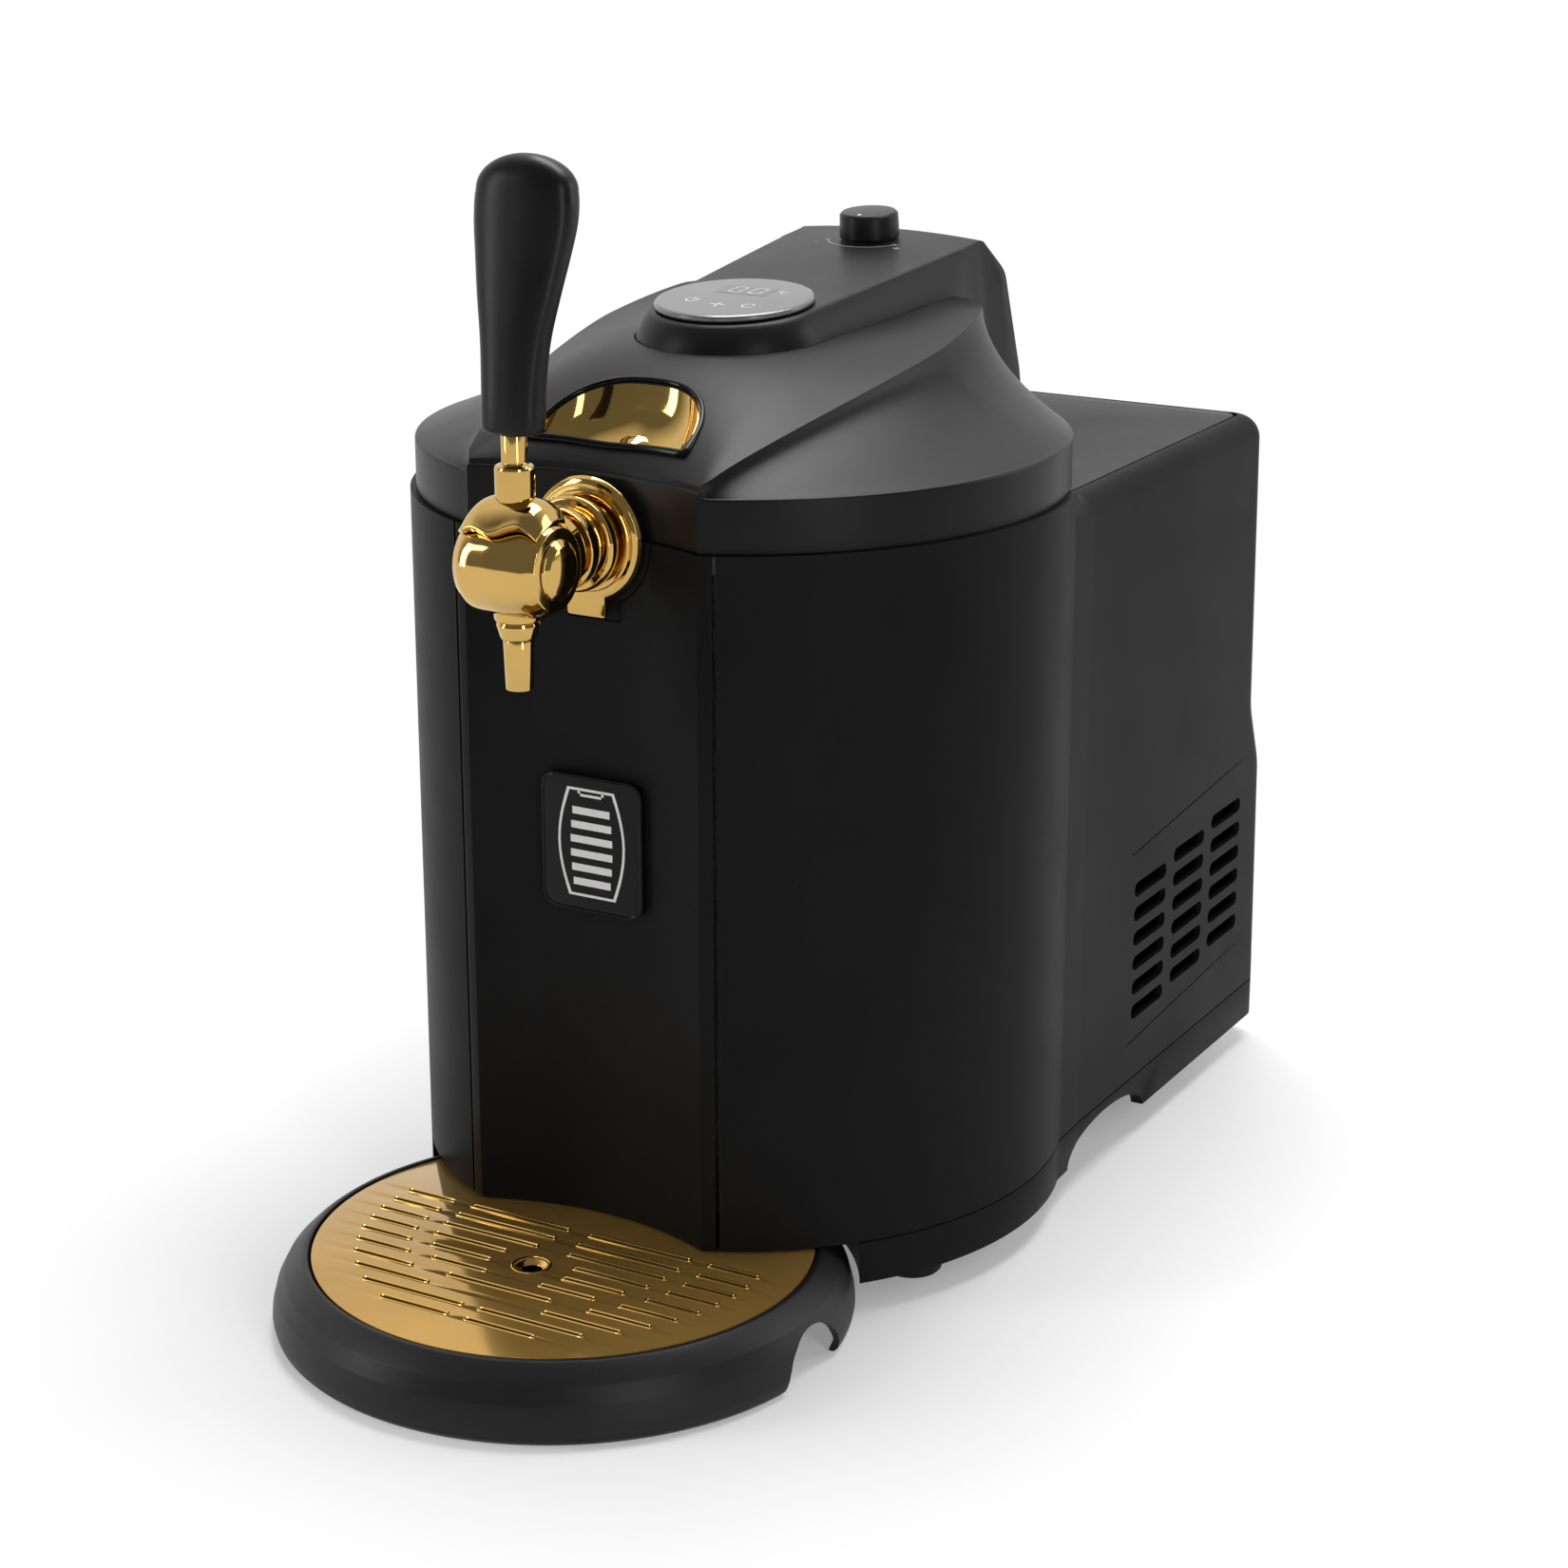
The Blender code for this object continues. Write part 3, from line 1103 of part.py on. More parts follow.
FRONT_SEGS = 8
SIDE_SEGS = 16
SIDE_SPREAD_POWER = 1.25
EDGE_ROUND = 0.0012
LID_SHARP = math.radians(24)
angles = [mix(CORNER_ANGLE, math.pi, (i / SIDE_SEGS) ** SIDE_SPREAD_POWER) for i in range(1, SIDE_SEGS + 1)]
corner_x = LID_R * math.sin(CORNER_ANGLE)
plan = []
for i in range(FRONT_SEGS + 1):
    x = mix(-corner_x, corner_x, i / FRONT_SEGS)
    plan.append(("front", x, face_y(LID_R, x), 0))
for a in angles:
    plan.append(("side", LID_R * math.sin(a), -LID_R * math.cos(a), a))
for a in reversed(angles[:-1]):
    plan.append(("side", -LID_R * math.sin(a), -LID_R * math.cos(a), a))
COVE_SHARES = (0, 0.35, 0.68, 0.91, 1)
PANEL_RINGS = (0.95, 0.75, 0.5, 0.25)
band = {"front": FRONT_EDGE_Z - EDGE_ROUND, "side": BAND_TOP - EDGE_ROUND}
rings = []
rings.append([(x, y, PART_Z) for kind, x, y, a in plan])
rings.append([(x, y, band[kind]) for kind, x, y, a in plan])
for t in COVE_SHARES:
    line = []
    for kind, x, y, a in plan:
        if kind == "front":
            q = QUARTER * t
            line.append((x, y + EDGE_ROUND * (1 - math.cos(q)), FRONT_EDGE_Z - EDGE_ROUND * (1 - math.sin(q))))
        else:
            rc = min(crease_radius(a), LID_R - 2 * EDGE_ROUND)
            start = LID_R - EDGE_ROUND
            r = mix(start, rc, t)
            cx, cy = rc * math.sin(a), -rc * math.cos(a)
            zc = panel_z(cx, cy)
            r_unit = r / LID_R
            line.append((x * r_unit, y * r_unit, mix(BAND_TOP, zc, cove(t))))
    rings.append(line)
edge_ring = rings[-1]
for f in PANEL_RINGS:
    rings.append([(x * f, y * f, panel_z(x * f, y * f)) for x, y, z in edge_ring])
n = len(plan)
lv = [p for r in rings for p in r] + [(0, 0, panel_z(0, 0))]
lf = []
for k in range(len(rings) - 1):
    for i in range(n):
        j = (i + 1) % n
        lf.append((k * n + i, k * n + j, k * n + n + j, k * n + n + i))
last = (len(rings) - 1) * n
for i in range(n):
    lf.append((last + i, last + (i + 1) % n, len(lv) - 1))
lid = adopt(mesh_object("lid_shell", lv, lf), "black_plastic", sharp=LID_SHARP)
so = lid.modifiers.new("wall", "SOLIDIFY")
so.thickness = LID_WALL
so.offset = -1
so.use_even_offset = True
LID_NOTCH = 0.0172
mouth = [(LID_NOTCH, PART_Z - OVERRUN)]
for i in range(11):
    t = math.pi * i / 10
    mouth.append((LID_NOTCH * math.cos(t), TAP_Z + LID_NOTCH * math.sin(t)))
mouth.append((-LID_NOTCH, PART_Z - OVERRUN))
lid_mouth = tool_plate("lid_mouth", [mouth], -DRUM_R - OVERRUN, -FOAM_R + 2 * GAP, "Y")
shape(lid, lid_mouth)
HOSE_Z = 0.3175
HOSE_GAP_LEFT = -0.0130
HOSE_GAP_RIGHT = 0.0050
HOSE_GAP_HALF = 0.0040
HOSE_GAP_R = 0.0030
hose_low = HOSE_Z - HOSE_GAP_HALF
hose_line = rounded(HOSE_GAP_LEFT, HOSE_GAP_RIGHT, hose_low, HOSE_Z + HOSE_GAP_HALF, HOSE_GAP_R, 2)
hose_gap = tool_plate("hose_gap", [hose_line], LID_R - OVERRUN, LID_R + OVERRUN, "Y")
shape(lid, hose_gap)

# Finger recess near the front of the lid: an arched opening with a bright cup and a raised bezel
RECESS_HALF = 0.0330
RECESS_BACK = 0.0069
RECESS_LOW_Y = LID_FACE_Y + RECESS_BACK
RECESS_DEEP = 0.0330
RECESS_BOW = 0.0030
RECESS_SIDE_POWER = 0.72
RECESS_TOP_POWER = 0.9
RECESS_MID_SHARE = 0.42
arch_pts = []
for i in range(7):
    x = mix(-RECESS_HALF, RECESS_HALF, i / 6)
    arch_pts.append((x, RECESS_LOW_Y + RECESS_BOW * (1 - (x / RECESS_HALF) ** 2)))
for i in range(1, 12):
    t = math.pi * i / 12
    across = math.copysign(RECESS_HALF * abs(math.cos(t)) ** RECESS_SIDE_POWER, math.cos(t))
    arch_pts.append((across, RECESS_LOW_Y + RECESS_DEEP * math.sin(t) ** RECESS_TOP_POWER))
recess_mid = (0, RECESS_LOW_Y + RECESS_DEEP * RECESS_MID_SHARE)


def shrink(p, d):
    v = Vector((p[0] - recess_mid[0], p[1] - recess_mid[1]))
    k = 1 - d / v.length
    return recess_mid[0] + v.x * k, recess_mid[1] + v.y * k


finger_way = tool_plate("finger_way", [arch_pts], FRONT_EDGE_Z - OVERRUN, POD_TOP_Z)
shape(lid, finger_way)
CUP_GAP = 0.0005
CUP_T = 0.0011
# Cup steps: distance in from the rim and depth below the lid
CUP_STEPS = ((0.0000, 0.0000), (0.0010, 0.0040), (0.0035, 0.0085), (0.0090, 0.0125), (0.0160, 0.0140))
cv = []
m = len(arch_pts)
for d, drop_z in CUP_STEPS:
    for p in arch_pts:
        x, y = shrink(p, CUP_GAP + d)
        cv.append((x, y, panel_z(x, y) - drop_z))
floor_z = panel_z(*recess_mid) - CUP_STEPS[-1][1]
cv.append((recess_mid[0], recess_mid[1], floor_z))
cf = []
for k in range(len(CUP_STEPS) - 1):
    for i in range(m):
        j = (i + 1) % m
        cf.append((k * m + i, k * m + m + i, k * m + m + j, k * m + j))
low_ring = (len(CUP_STEPS) - 1) * m
for i in range(m):
    cf.append((low_ring + i, len(cv) - 1, low_ring + (i + 1) % m))
cup_me = bpy.data.meshes.new("finger_cup")
cup_me.from_pydata(cv, [], cf)
bm = bmesh.new()
bm.from_mesh(cup_me)
bmesh.ops.recalc_face_normals(bm, faces=bm.faces)
if sum(f.normal.z for f in bm.faces) < 0:
    bmesh.ops.reverse_faces(bm, faces=bm.faces)
bm.to_mesh(cup_me)
bm.free()
cup = adopt(bpy.data.objects.new("finger_cup", cup_me), "gold_metal")
so = cup.modifiers.new("wall", "SOLIDIFY")
so.thickness = CUP_T
so.offset = 1
BEZEL_R = 0.0014
bezel = []
for p in arch_pts:
    x, y = shrink(p, -BEZEL_R - GAP)
    bezel.append((x, y, panel_z(x, y) + BEZEL_R + GAP * 2))
tube("recess_bezel", bezel, BEZEL_R, "black_plastic", closed=True)

# Lid inner parts: liner plate, seal ring, coupler, gas cartridge with its cradle and lines
LINER_LOW = 0.3062
LINER_TOP = 0.3087
LINER_INSET = 0.0050
LINER_LAP_ANGLE = math.radians(1.5)
COUPLER_R = 0.0120
liner_a = CORNER_ANGLE + LINER_LAP_ANGLE
inner_loop = front_points(LID_R, LINER_INSET, 10)
inner_loop = inner_loop + arc_points(LID_R - LINER_INSET, liner_a, FULL - liner_a, 30)
coupler_way = circle(COUPLER_R + GAP, 20)
lid_liner = plate("lid_liner", [inner_loop, coupler_way], LINER_LOW, LINER_TOP, "grey_plastic")
LINER_CLEAR = 0.0200
LINER_CLEAR_DEEP = 0.0100
clear_line = box_line(-LINER_CLEAR, LINER_CLEAR, -DRUM_R - OVERRUN, -CHAMBER_R + LINER_CLEAR_DEEP)
liner_clear = tool_plate("liner_clear", [clear_line], LINER_LOW - OVERRUN / 2, LINER_TOP + OVERRUN)
shape(lid_liner, liner_clear)
SEAL_STAND = 0.0035
SEAL_W = 0.0040
SEAL_IN = CHAMBER_R + SEAL_STAND
SEAL_OUT = SEAL_IN + SEAL_W
SEAL_LOW = COLLAR_TOP + GAP
SEAL_TOP = LINER_LOW - GAP
SEAL_OPEN = math.radians(14)
seal_out = arc_points(SEAL_OUT, SEAL_OPEN, FULL - SEAL_OPEN, 26)
seal_in = arc_points(SEAL_IN, SEAL_OPEN, FULL - SEAL_OPEN, 26)
plate("lid_seal", [seal_out + list(reversed(seal_in))], SEAL_LOW, SEAL_TOP, "rubber_black")
coupler_profile = [
    (0, 0.3290), (0.0060, 0.3290), (0.0090, 0.3260), (0.0140, 0.3240), (0.0140, 0.3130), (0.0200, 0.3120),
    (0.0200, LINER_TOP + GAP), (COUPLER_R, LINER_TOP + GAP), (COUPLER_R, 0.2965), (0.0100, 0.2935), (0, 0.2935)]
turned("keg_coupler", coupler_profile, 16, "grey_plastic")
CART_X = -0.0460
CART_Z = 0.3215
CART_R = 0.0110
CART_Y = -0.0420
CART_LONG = 0.0880
CART_NECK_R = 0.0042
cart_profile = [
    (0, 0), (0.0060, 0.0008), (CART_R, 0.0060), (CART_R, 0.0680), (0.0085, 0.0760), (CART_NECK_R, 0.0800),
    (CART_NECK_R, CART_LONG), (0, CART_LONG)]
turned("co2_cartridge", cart_profile, 16, "steel", "Y", (CART_X, CART_Y, CART_Z))
CRADLE_LOW_HALF = 0.0150
CRADLE_TOP_HALF = 0.0130
CRADLE_DROP = 0.0035
CRADLE_Y0 = -0.0250
CRADLE_Y1 = 0.0150
CRADLE_ANGLE = math.radians(60)
cradle_top = CART_Z - CRADLE_DROP
cradle_out = [
    (CART_X - CRADLE_LOW_HALF, LINER_TOP + GAP), (CART_X + CRADLE_LOW_HALF, LINER_TOP + GAP),
    (CART_X + CRADLE_TOP_HALF, cradle_top)]
for i in range(11):
    t = mix(CRADLE_ANGLE, -CRADLE_ANGLE, i / 10)
    cradle_out.append((CART_X + (CART_R + GAP) * math.sin(t), CART_Z - (CART_R + GAP) * math.cos(t)))
cradle_out.append((CART_X - CRADLE_TOP_HALF, cradle_top))
plate("cartridge_cradle", [cradle_out], CRADLE_Y0, CRADLE_Y1, "grey_plastic", "Y")
REG_LOW = 0.3697
REG_TOP = 0.3790
REG_R = 0.0090
REG_TIP_R = 0.0050
REG_CHAMFER = 0.0020
reg_profile = [(0, REG_TOP), (REG_TIP_R, REG_TOP), (REG_R, REG_TOP - REG_CHAMFER), (REG_R, REG_LOW), (0, REG_LOW)]
turned("pressure_regulator", reg_profile, 16, "brass_part", where=(0, KNOB_Y, 0))
GAS_R = 0.0022
# Gas line: places behind the lid's axis as distances from its rim, and heights
GAS_STEPS = (
    (-0.0165, 0.3745), (0.0000, 0.3738), (0.0052, 0.3700), (0.0068, 0.3640), (0.0068, 0.3250), (0.0050, 0.3195),
    (0.0000, HOSE_Z))
COUPLER_FRONT_Y = 0.0146
gas_path = [(0, LID_R + d, z) for d, z in GAS_STEPS] + [(0, COUPLER_FRONT_Y, HOSE_Z)]
tube("gas_line", gas_path, GAS_R, "clear_hose")
CART_TAIL_Y = 0.0463
CART_LINE_NEAR = ((-0.0460, 0.0560, CART_Z), (-0.0400, 0.0720, 0.3190))
CART_LINE_FAR = (
    (-0.0180, -0.0340, HOSE_Z), (-0.0088, -0.0180, HOSE_Z), (-0.0084, 0.0010, HOSE_Z), (-0.0084, 0.0068, 0.3215),
    (-0.0084, 0.0080, 0.3280), (-0.0084, 0.0060, 0.3560), (-0.0084, 0.0025, 0.3660), (-0.0084, -0.0040, 0.3722),
    (-0.0076, -0.0170, 0.3745))
cart_path = [(CART_X, CART_TAIL_Y, CART_Z)] + list(CART_LINE_NEAR)
cart_path = cart_path + [(x, LID_R + d, z) for x, d, z in CART_LINE_FAR]
tube("cartridge_line", cart_path, GAS_R, "clear_hose")


# Console pod: nose round the display, sides widening to the rear, then a leg down to the hinge

def pod_top_z(x, y):
    ramp = share_of(y, POD_CROWN_START, POD_CROWN_FULL)
    half_w = mix(POD_NOSE_R_TOP, POD_REAR_HALF_TOP, share_of(y, POD_NOSE_Y, POD_REAR_Y))
    return POD_TOP_Z + (y - POD_NOSE_Y) * POD_SLOPE + POD_CROWN * ramp * (1 - min(1.0, (x / half_w) ** 2))


def dome_z(x, y):
    # Lid surface under a point, cove included
    r = math.hypot(x, y)
    if r < GAP:
        return panel_z(0, 0)
    b = math.atan2(abs(x), -y)
    if b <= CORNER_ANGLE:
        return panel_z(x, y)
    rc = crease_radius(b)
    if r <= rc:
        return panel_z(x, y)
    cx, cy = rc * math.sin(b), -rc * math.cos(b)
    t = (LID_R - EDGE_ROUND - r) / (LID_R - EDGE_ROUND - rc)
    return mix(BAND_TOP, panel_z(cx, cy), cove(t))


POD_SKIRT = 0.0045
POD_SEAM = 0.0005
LEG_SHOULDER_AHEAD = 0.0070
LEG_SHOULDER_Y = HINGE_Y - LEG_SHOULDER_AHEAD
LEG_SHOULDER_Z = 0.3715
LEG_LOW_BEHIND = 0.0075
LEG_LOW_Y = HINGE_Y + LEG_LOW_BEHIND
LEG_LOW_Z = 0.3270
LEG_REAR_BEHIND = 0.0110
LEG_REAR_Y = HINGE_Y + LEG_REAR_BEHIND
POD_BULGE = 0.0009
SIDE_END_IN = 0.0300
SIDE_END_Y = LID_R - SIDE_END_IN
SIDE_SHARES = (0.25, 0.5, 0.75, 0.93)
SIDE_TOP_SHARE = 0.9
REAR_SHARES = (0.66, 0.33, 0)
# Leg side: places on the top edge and on the foot, measured back from the lid's rim, then the column kind
LEG_STEPS = (
    (-0.0161, -0.0300, 0), (-0.0142, -0.0220, 0), (-0.0123, -0.0120, 0), (-0.0104, -0.0010, 0), (-0.0078, 0.0060, 1),
    (-0.0070, 0.0180, 2))
half_line = []
for i in range(7):
    a = QUARTER * i / 6
    t = (POD_NOSE_R_TOP * math.sin(a), POD_NOSE_Y - POD_NOSE_R_TOP * math.cos(a))
    b = (POD_NOSE_R_LOW * math.sin(a), POD_NOSE_Y - POD_NOSE_R_LOW * math.cos(a))
    half_line.append((t, b, 0))
for f in SIDE_SHARES:
    t = (mix(POD_NOSE_R_TOP, POD_REAR_HALF_TOP, f), mix(POD_NOSE_Y, POD_REAR_Y, f * SIDE_TOP_SHARE))
    b = (mix(POD_NOSE_R_LOW, POD_REAR_HALF_LOW, f), mix(POD_NOSE_Y, SIDE_END_Y, f))
    half_line.append((t, b, 0))
for top_y, foot_y, kind in LEG_STEPS:
    half_line.append(((POD_REAR_HALF_TOP, LID_R + top_y), (POD_REAR_HALF_LOW, LID_R + foot_y), kind))
half_line.append(((POD_REAR_HALF_TOP, POD_REAR_Y), (POD_REAR_HALF_LOW - GAP, LEG_REAR_Y), 3))
for f in REAR_SHARES:
    half_line.append(((POD_REAR_HALF_TOP * f, POD_REAR_Y), (POD_REAR_HALF_LOW * f, LEG_REAR_Y), 3))
POD_FOCUS_SHARE = 0.43
SHOULDER_SHARE = 0.8
SHOULDER_SLIP_SHARE = 0.55
WALL_SHARE = 0.3
FOOT_SLIP_SHARE = 0.7
FOOT_RISE_SHARE = 0.35


def pod_column(t, b, kind):
    top = Vector((t[0], t[1], pod_top_z(t[0], t[1])))
    if kind == 0 and math.hypot(b[0], b[1]) < LID_R:
        zb = dome_z(b[0], b[1])
    else:
        zb = LEG_BOTTOM + POD_SKIRT
    low = Vector((b[0], b[1], zb))
    skirt = Vector((b[0], b[1], zb - POD_SKIRT))
    if kind == 3:
        p1 = Vector((mix(t[0], b[0], SHOULDER_SHARE), LEG_SHOULDER_Y, LEG_SHOULDER_Z))
        p2 = Vector((b[0], LEG_LOW_Y, LEG_LOW_Z))
    elif kind == 0 and b[1] < SIDE_END_Y + GAP:
        out = Vector((b[0] - t[0], b[1] - t[1], 0)).normalized() * POD_BULGE
        p1 = top.lerp(low, WALL_SHARE) + out
        p2 = top.lerp(low, 1 - WALL_SHARE) + out
    else:
        shoulder_z = max(min(LEG_SHOULDER_Z, top.z - POD_BULGE * 2), mix(zb, top.z, HALF))
        p1 = Vector((mix(t[0], b[0], SHOULDER_SHARE), mix(t[1], b[1], SHOULDER_SLIP_SHARE), shoulder_z))
        foot_z = max(zb + (p1.z - zb) * FOOT_RISE_SHARE, min(LEG_LOW_Z, p1.z))
        p2 = Vector((b[0], mix(p1.y, b[1], FOOT_SLIP_SHARE), foot_z))
    return [top, p1, p2, low, skirt]


columns = [pod_column(*c) for c in half_line]
pod_foot = [(c[4].x, c[4].y) for c in columns]
pod_foot = pod_foot + [(-x, y) for x, y in reversed(pod_foot[1:-1])]
pod_open = []
for i, q in enumerate(pod_foot):
    a, b = Vector(pod_foot[i - 1]), Vector(pod_foot[(i + 1) % len(pod_foot)])
    d = (b - a).normalized()
    pod_open.append((q[0] + d.y * POD_SEAM, q[1] - d.x * POD_SEAM))
pod_way = tool_plate("pod_way", [pod_open], PART_Z - OVERRUN, POD_TOP_Z + OVERRUN)
shape(lid, pod_way)
loop = columns + [[Vector((-p.x, p.y, p.z)) for p in c] for c in reversed(columns[1:-1])]
m = len(loop)
pv = []
for k in range(4, -1, -1):
    pv = pv + [c[k] for c in loop]
inner_rings = (0.75, 0.4)
focus_y = mix(POD_NOSE_Y, POD_REAR_Y, POD_FOCUS_SHARE)
for f in inner_rings:
    for c in loop:
        x = c[0].x * f
        y = mix(focus_y, c[0].y, f)
        pv.append(Vector((x, y, pod_top_z(x, y))))
pv.append(Vector((0, focus_y, pod_top_z(0, focus_y))))
pf = []
for k in range(4 + len(inner_rings)):
    for i in range(m):
        j = (i + 1) % m
        pf.append((k * m + i, k * m + j, k * m + m + j, k * m + m + i))
last_ring = (4 + len(inner_rings)) * m
for i in range(m):
    pf.append((last_ring + i, last_ring + (i + 1) % m, len(pv) - 1))
pod = adopt(mesh_object("console_pod", pv, pf), "black_plastic", sharp=SHELL_SHARP)
so = pod.modifiers.new("wall", "SOLIDIFY")
so.thickness = POD_WALL
so.offset = -1
pin_bore = circle(PIN_R + GAP, 16, HINGE_Y, HINGE_Z)
pin_way = tool_plate("pin_way", [pin_bore], -POD_REAR_HALF_LOW - OVERRUN, POD_REAR_HALF_LOW + OVERRUN, "X")
shape(pod, pin_way)
EAR_SIDE = 0.0065
EAR_T = 0.0030
EAR_OUT = POD_REAR_HALF_LOW - EAR_SIDE
EAR_IN = EAR_OUT - EAR_T
FOOT_LEN = 0.0060
EAR_WAY = 0.0013
EAR_SLOT_TOP = 0.3255
for s, side in ((-1, "left"), (1, "right")):
    lo, hi = sorted((s * (EAR_IN - FOOT_LEN - EAR_WAY), s * (EAR_OUT + EAR_WAY)))
    way_line = box_line(lo, hi, HINGE_Y + PIN_R + PIN_R, LEG_REAR_Y + OVERRUN)
    ear_way = tool_plate("ear_way_" + side, [way_line], LEG_BOTTOM - OVERRUN, EAR_SLOT_TOP)
    shape(pod, ear_way)

# Display disc, its board, knob
tilt = math.atan(POD_SLOPE)
DISC_EDGE = 0.0010
disc_profile = [(0, DISC_H), (DISC_R - DISC_EDGE, DISC_H), (DISC_R, DISC_H - DISC_EDGE), (DISC_R, 0), (0, 0)]
disc = turned("display_disc", disc_profile, 36, "display_glass", where=(0, POD_NOSE_Y, POD_TOP_Z + 2 * GAP))
disc.rotation_euler = (tilt, 0, 0)
CONTROL_HALF_X = 0.0200
CONTROL_HALF_Y = 0.0140
CONTROL_T = 0.0016
control_line = box_line(-CONTROL_HALF_X, CONTROL_HALF_X, -CONTROL_HALF_Y, CONTROL_HALF_Y)
control_at = (0, POD_NOSE_Y, POD_TOP_Z - POD_WALL - RUN_GAP)
control = plate("control_board", [control_line], -CONTROL_T, 0, "board_green", where=control_at)
control.rotation_euler = (tilt, 0, 0)
KNOB_EDGE = 0.0014
KNOB_SHOULDER = 0.0011
KNOB_DRAFT = 0.0003
KNOB_FOOT = 0.0010
knob_profile = [
    (0, KNOB_H), (KNOB_R - KNOB_EDGE, KNOB_H), (KNOB_R - KNOB_DRAFT, KNOB_H - KNOB_SHOULDER), (KNOB_R, KNOB_FOOT),
    (KNOB_R, 0), (0, 0)]
knob_at = (0, KNOB_Y, pod_top_z(0, KNOB_Y) + RUN_GAP + GAP)
knob = turned("pressure_knob", knob_profile, 24, "gloss_black", where=knob_at)
knob.rotation_euler = (tilt, 0, 0)

# Hinge: two brackets on the cover and one pin through them and the leg
EAR_R = 0.0055
FOOT_T = 0.0022
for s, side in ((-1, "left"), (1, "right")):
    ear_line = arc_line(HINGE_Y, HINGE_Z, EAR_R, 0, math.pi, 8)
    ear_line = ear_line + [(HINGE_Y - EAR_R, COVER_TOP + GAP), (HINGE_Y + EAR_R, COVER_TOP + GAP)]
    lo, hi = sorted((s * EAR_IN, s * EAR_OUT))
    ear = plate("hinge_bracket_" + side, [ear_line, pin_bore], lo, hi, "steel", "X")
    flo, fhi = sorted((s * (EAR_IN - FOOT_LEN), s * (EAR_IN + GAP)))
    foot_line = box_line(flo, fhi, HINGE_Y - EAR_R, HINGE_Y + EAR_R)
    foot = tool_plate("bracket_foot_" + side, [foot_line], COVER_TOP + GAP, COVER_TOP + GAP + FOOT_T)
    shape(ear, foot, "UNION")
pin_half = POD_REAR_HALF_LOW - GAP
plate("hinge_pin", [circle(PIN_R, 16, HINGE_Y, HINGE_Z)], -pin_half, pin_half, "steel", "X")

# Rear panel screws
SCREW_IN = 0.0096
SCREW_X = REAR_PANEL_HALF - SCREW_IN
SCREW_R = 0.0030
SCREW_H = 0.0016
SCREW_EDGE = 0.0008
SCREW_LOW_Z = 0.0400
SCREW_HIGH_Z = 0.2800
screw_profile = [
    (0, SCREW_H), (SCREW_R - SCREW_EDGE, SCREW_H), (SCREW_R, SCREW_H - SCREW_EDGE), (SCREW_R, 0), (0, 0)]
for s, side in ((-1, "left"), (1, "right")):
    for z, end in ((SCREW_LOW_Z, "low"), (SCREW_HIGH_Z, "high")):
        at = (s * SCREW_X, rear_y_at(z) + GAP, z)
        turned("rear_screw_" + end + "_" + side, screw_profile, 8, "steel", "Y", at)
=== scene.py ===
import bpy
import bmesh
import math
from mathutils import Vector, Matrix


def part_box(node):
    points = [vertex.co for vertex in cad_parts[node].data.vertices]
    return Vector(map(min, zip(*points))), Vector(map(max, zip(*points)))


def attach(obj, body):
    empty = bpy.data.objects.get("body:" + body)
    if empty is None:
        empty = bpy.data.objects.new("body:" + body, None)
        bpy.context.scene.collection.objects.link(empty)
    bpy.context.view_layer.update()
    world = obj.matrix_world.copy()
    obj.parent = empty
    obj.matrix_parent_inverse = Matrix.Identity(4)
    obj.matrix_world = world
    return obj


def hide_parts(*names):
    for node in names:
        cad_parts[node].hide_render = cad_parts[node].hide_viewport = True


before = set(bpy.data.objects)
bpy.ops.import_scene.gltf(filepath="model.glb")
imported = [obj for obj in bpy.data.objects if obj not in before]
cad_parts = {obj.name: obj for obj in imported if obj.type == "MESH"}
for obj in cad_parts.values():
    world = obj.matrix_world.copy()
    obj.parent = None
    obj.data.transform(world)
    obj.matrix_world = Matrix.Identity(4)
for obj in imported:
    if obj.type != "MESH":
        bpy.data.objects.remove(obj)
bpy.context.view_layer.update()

Q = math.pi / 2
FULL = 2 * math.pi
rad = math.radians

# The drum's axis stands at x 0 and this y; all shapes are drawn round it and moved here at the end
cad_lo, cad_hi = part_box("insulation_jacket")
DY = round((cad_lo.y + cad_hi.y) / 2, 6)

# Sizes shared with the solid model
DRUM_R, LID_R, CORNER, HOLLOW, WALL = 0.1324, 0.1300, rad(22.7), 0.0110, 0.0028
STRIP, GROOVE, DRUM_END = rad(25.1), rad(25.7), rad(108)
PART_Z, BODY_TOP, COVER_TOP = 0.3047, 0.3044, 0.2995
BAND_TOP, FRONT_Z = 0.3250, 0.3274
TRAY_Y, TRAY_R, TAP_Y, TAP_Z = -0.1406, 0.1132, -0.1620, 0.3037


def mix(a, b, t):
    return a + (b - a) * t


def clamp(t, a=0.0, b=1.0):
    return max(a, min(b, t))


def soft_step(t):
    t = clamp(t)
    return t * t * (3 - 2 * t)


def arc(cx, cy, r, a0, a1, n, ry=None):
    # Points of a round or oval stretch from one angle to another
    ry = r if ry is None else ry
    turns = [mix(a0, a1, i / n) for i in range(n + 1)]
    return [(cx + r * math.cos(a), cy + ry * math.sin(a)) for a in turns]


def mirrored(points):
    # The same points on the other side, in the returning order
    return [(-x, y) for x, y in reversed(points)]


# Mesh helpers

def raw(name, verts, faces):
    me = bpy.data.meshes.new(name)
    me.from_pydata([tuple(v) for v in verts], [], faces)
    return me


def tidy(me, weld=2e-6):
    bm = bmesh.new()
    bm.from_mesh(me)
    bmesh.ops.remove_doubles(bm, verts=bm.verts, dist=weld)
    bmesh.ops.dissolve_degenerate(bm, edges=bm.edges, dist=weld)
    bmesh.ops.recalc_face_normals(bm, faces=bm.faces)
    bm.to_mesh(me)
    bm.free()
    return me


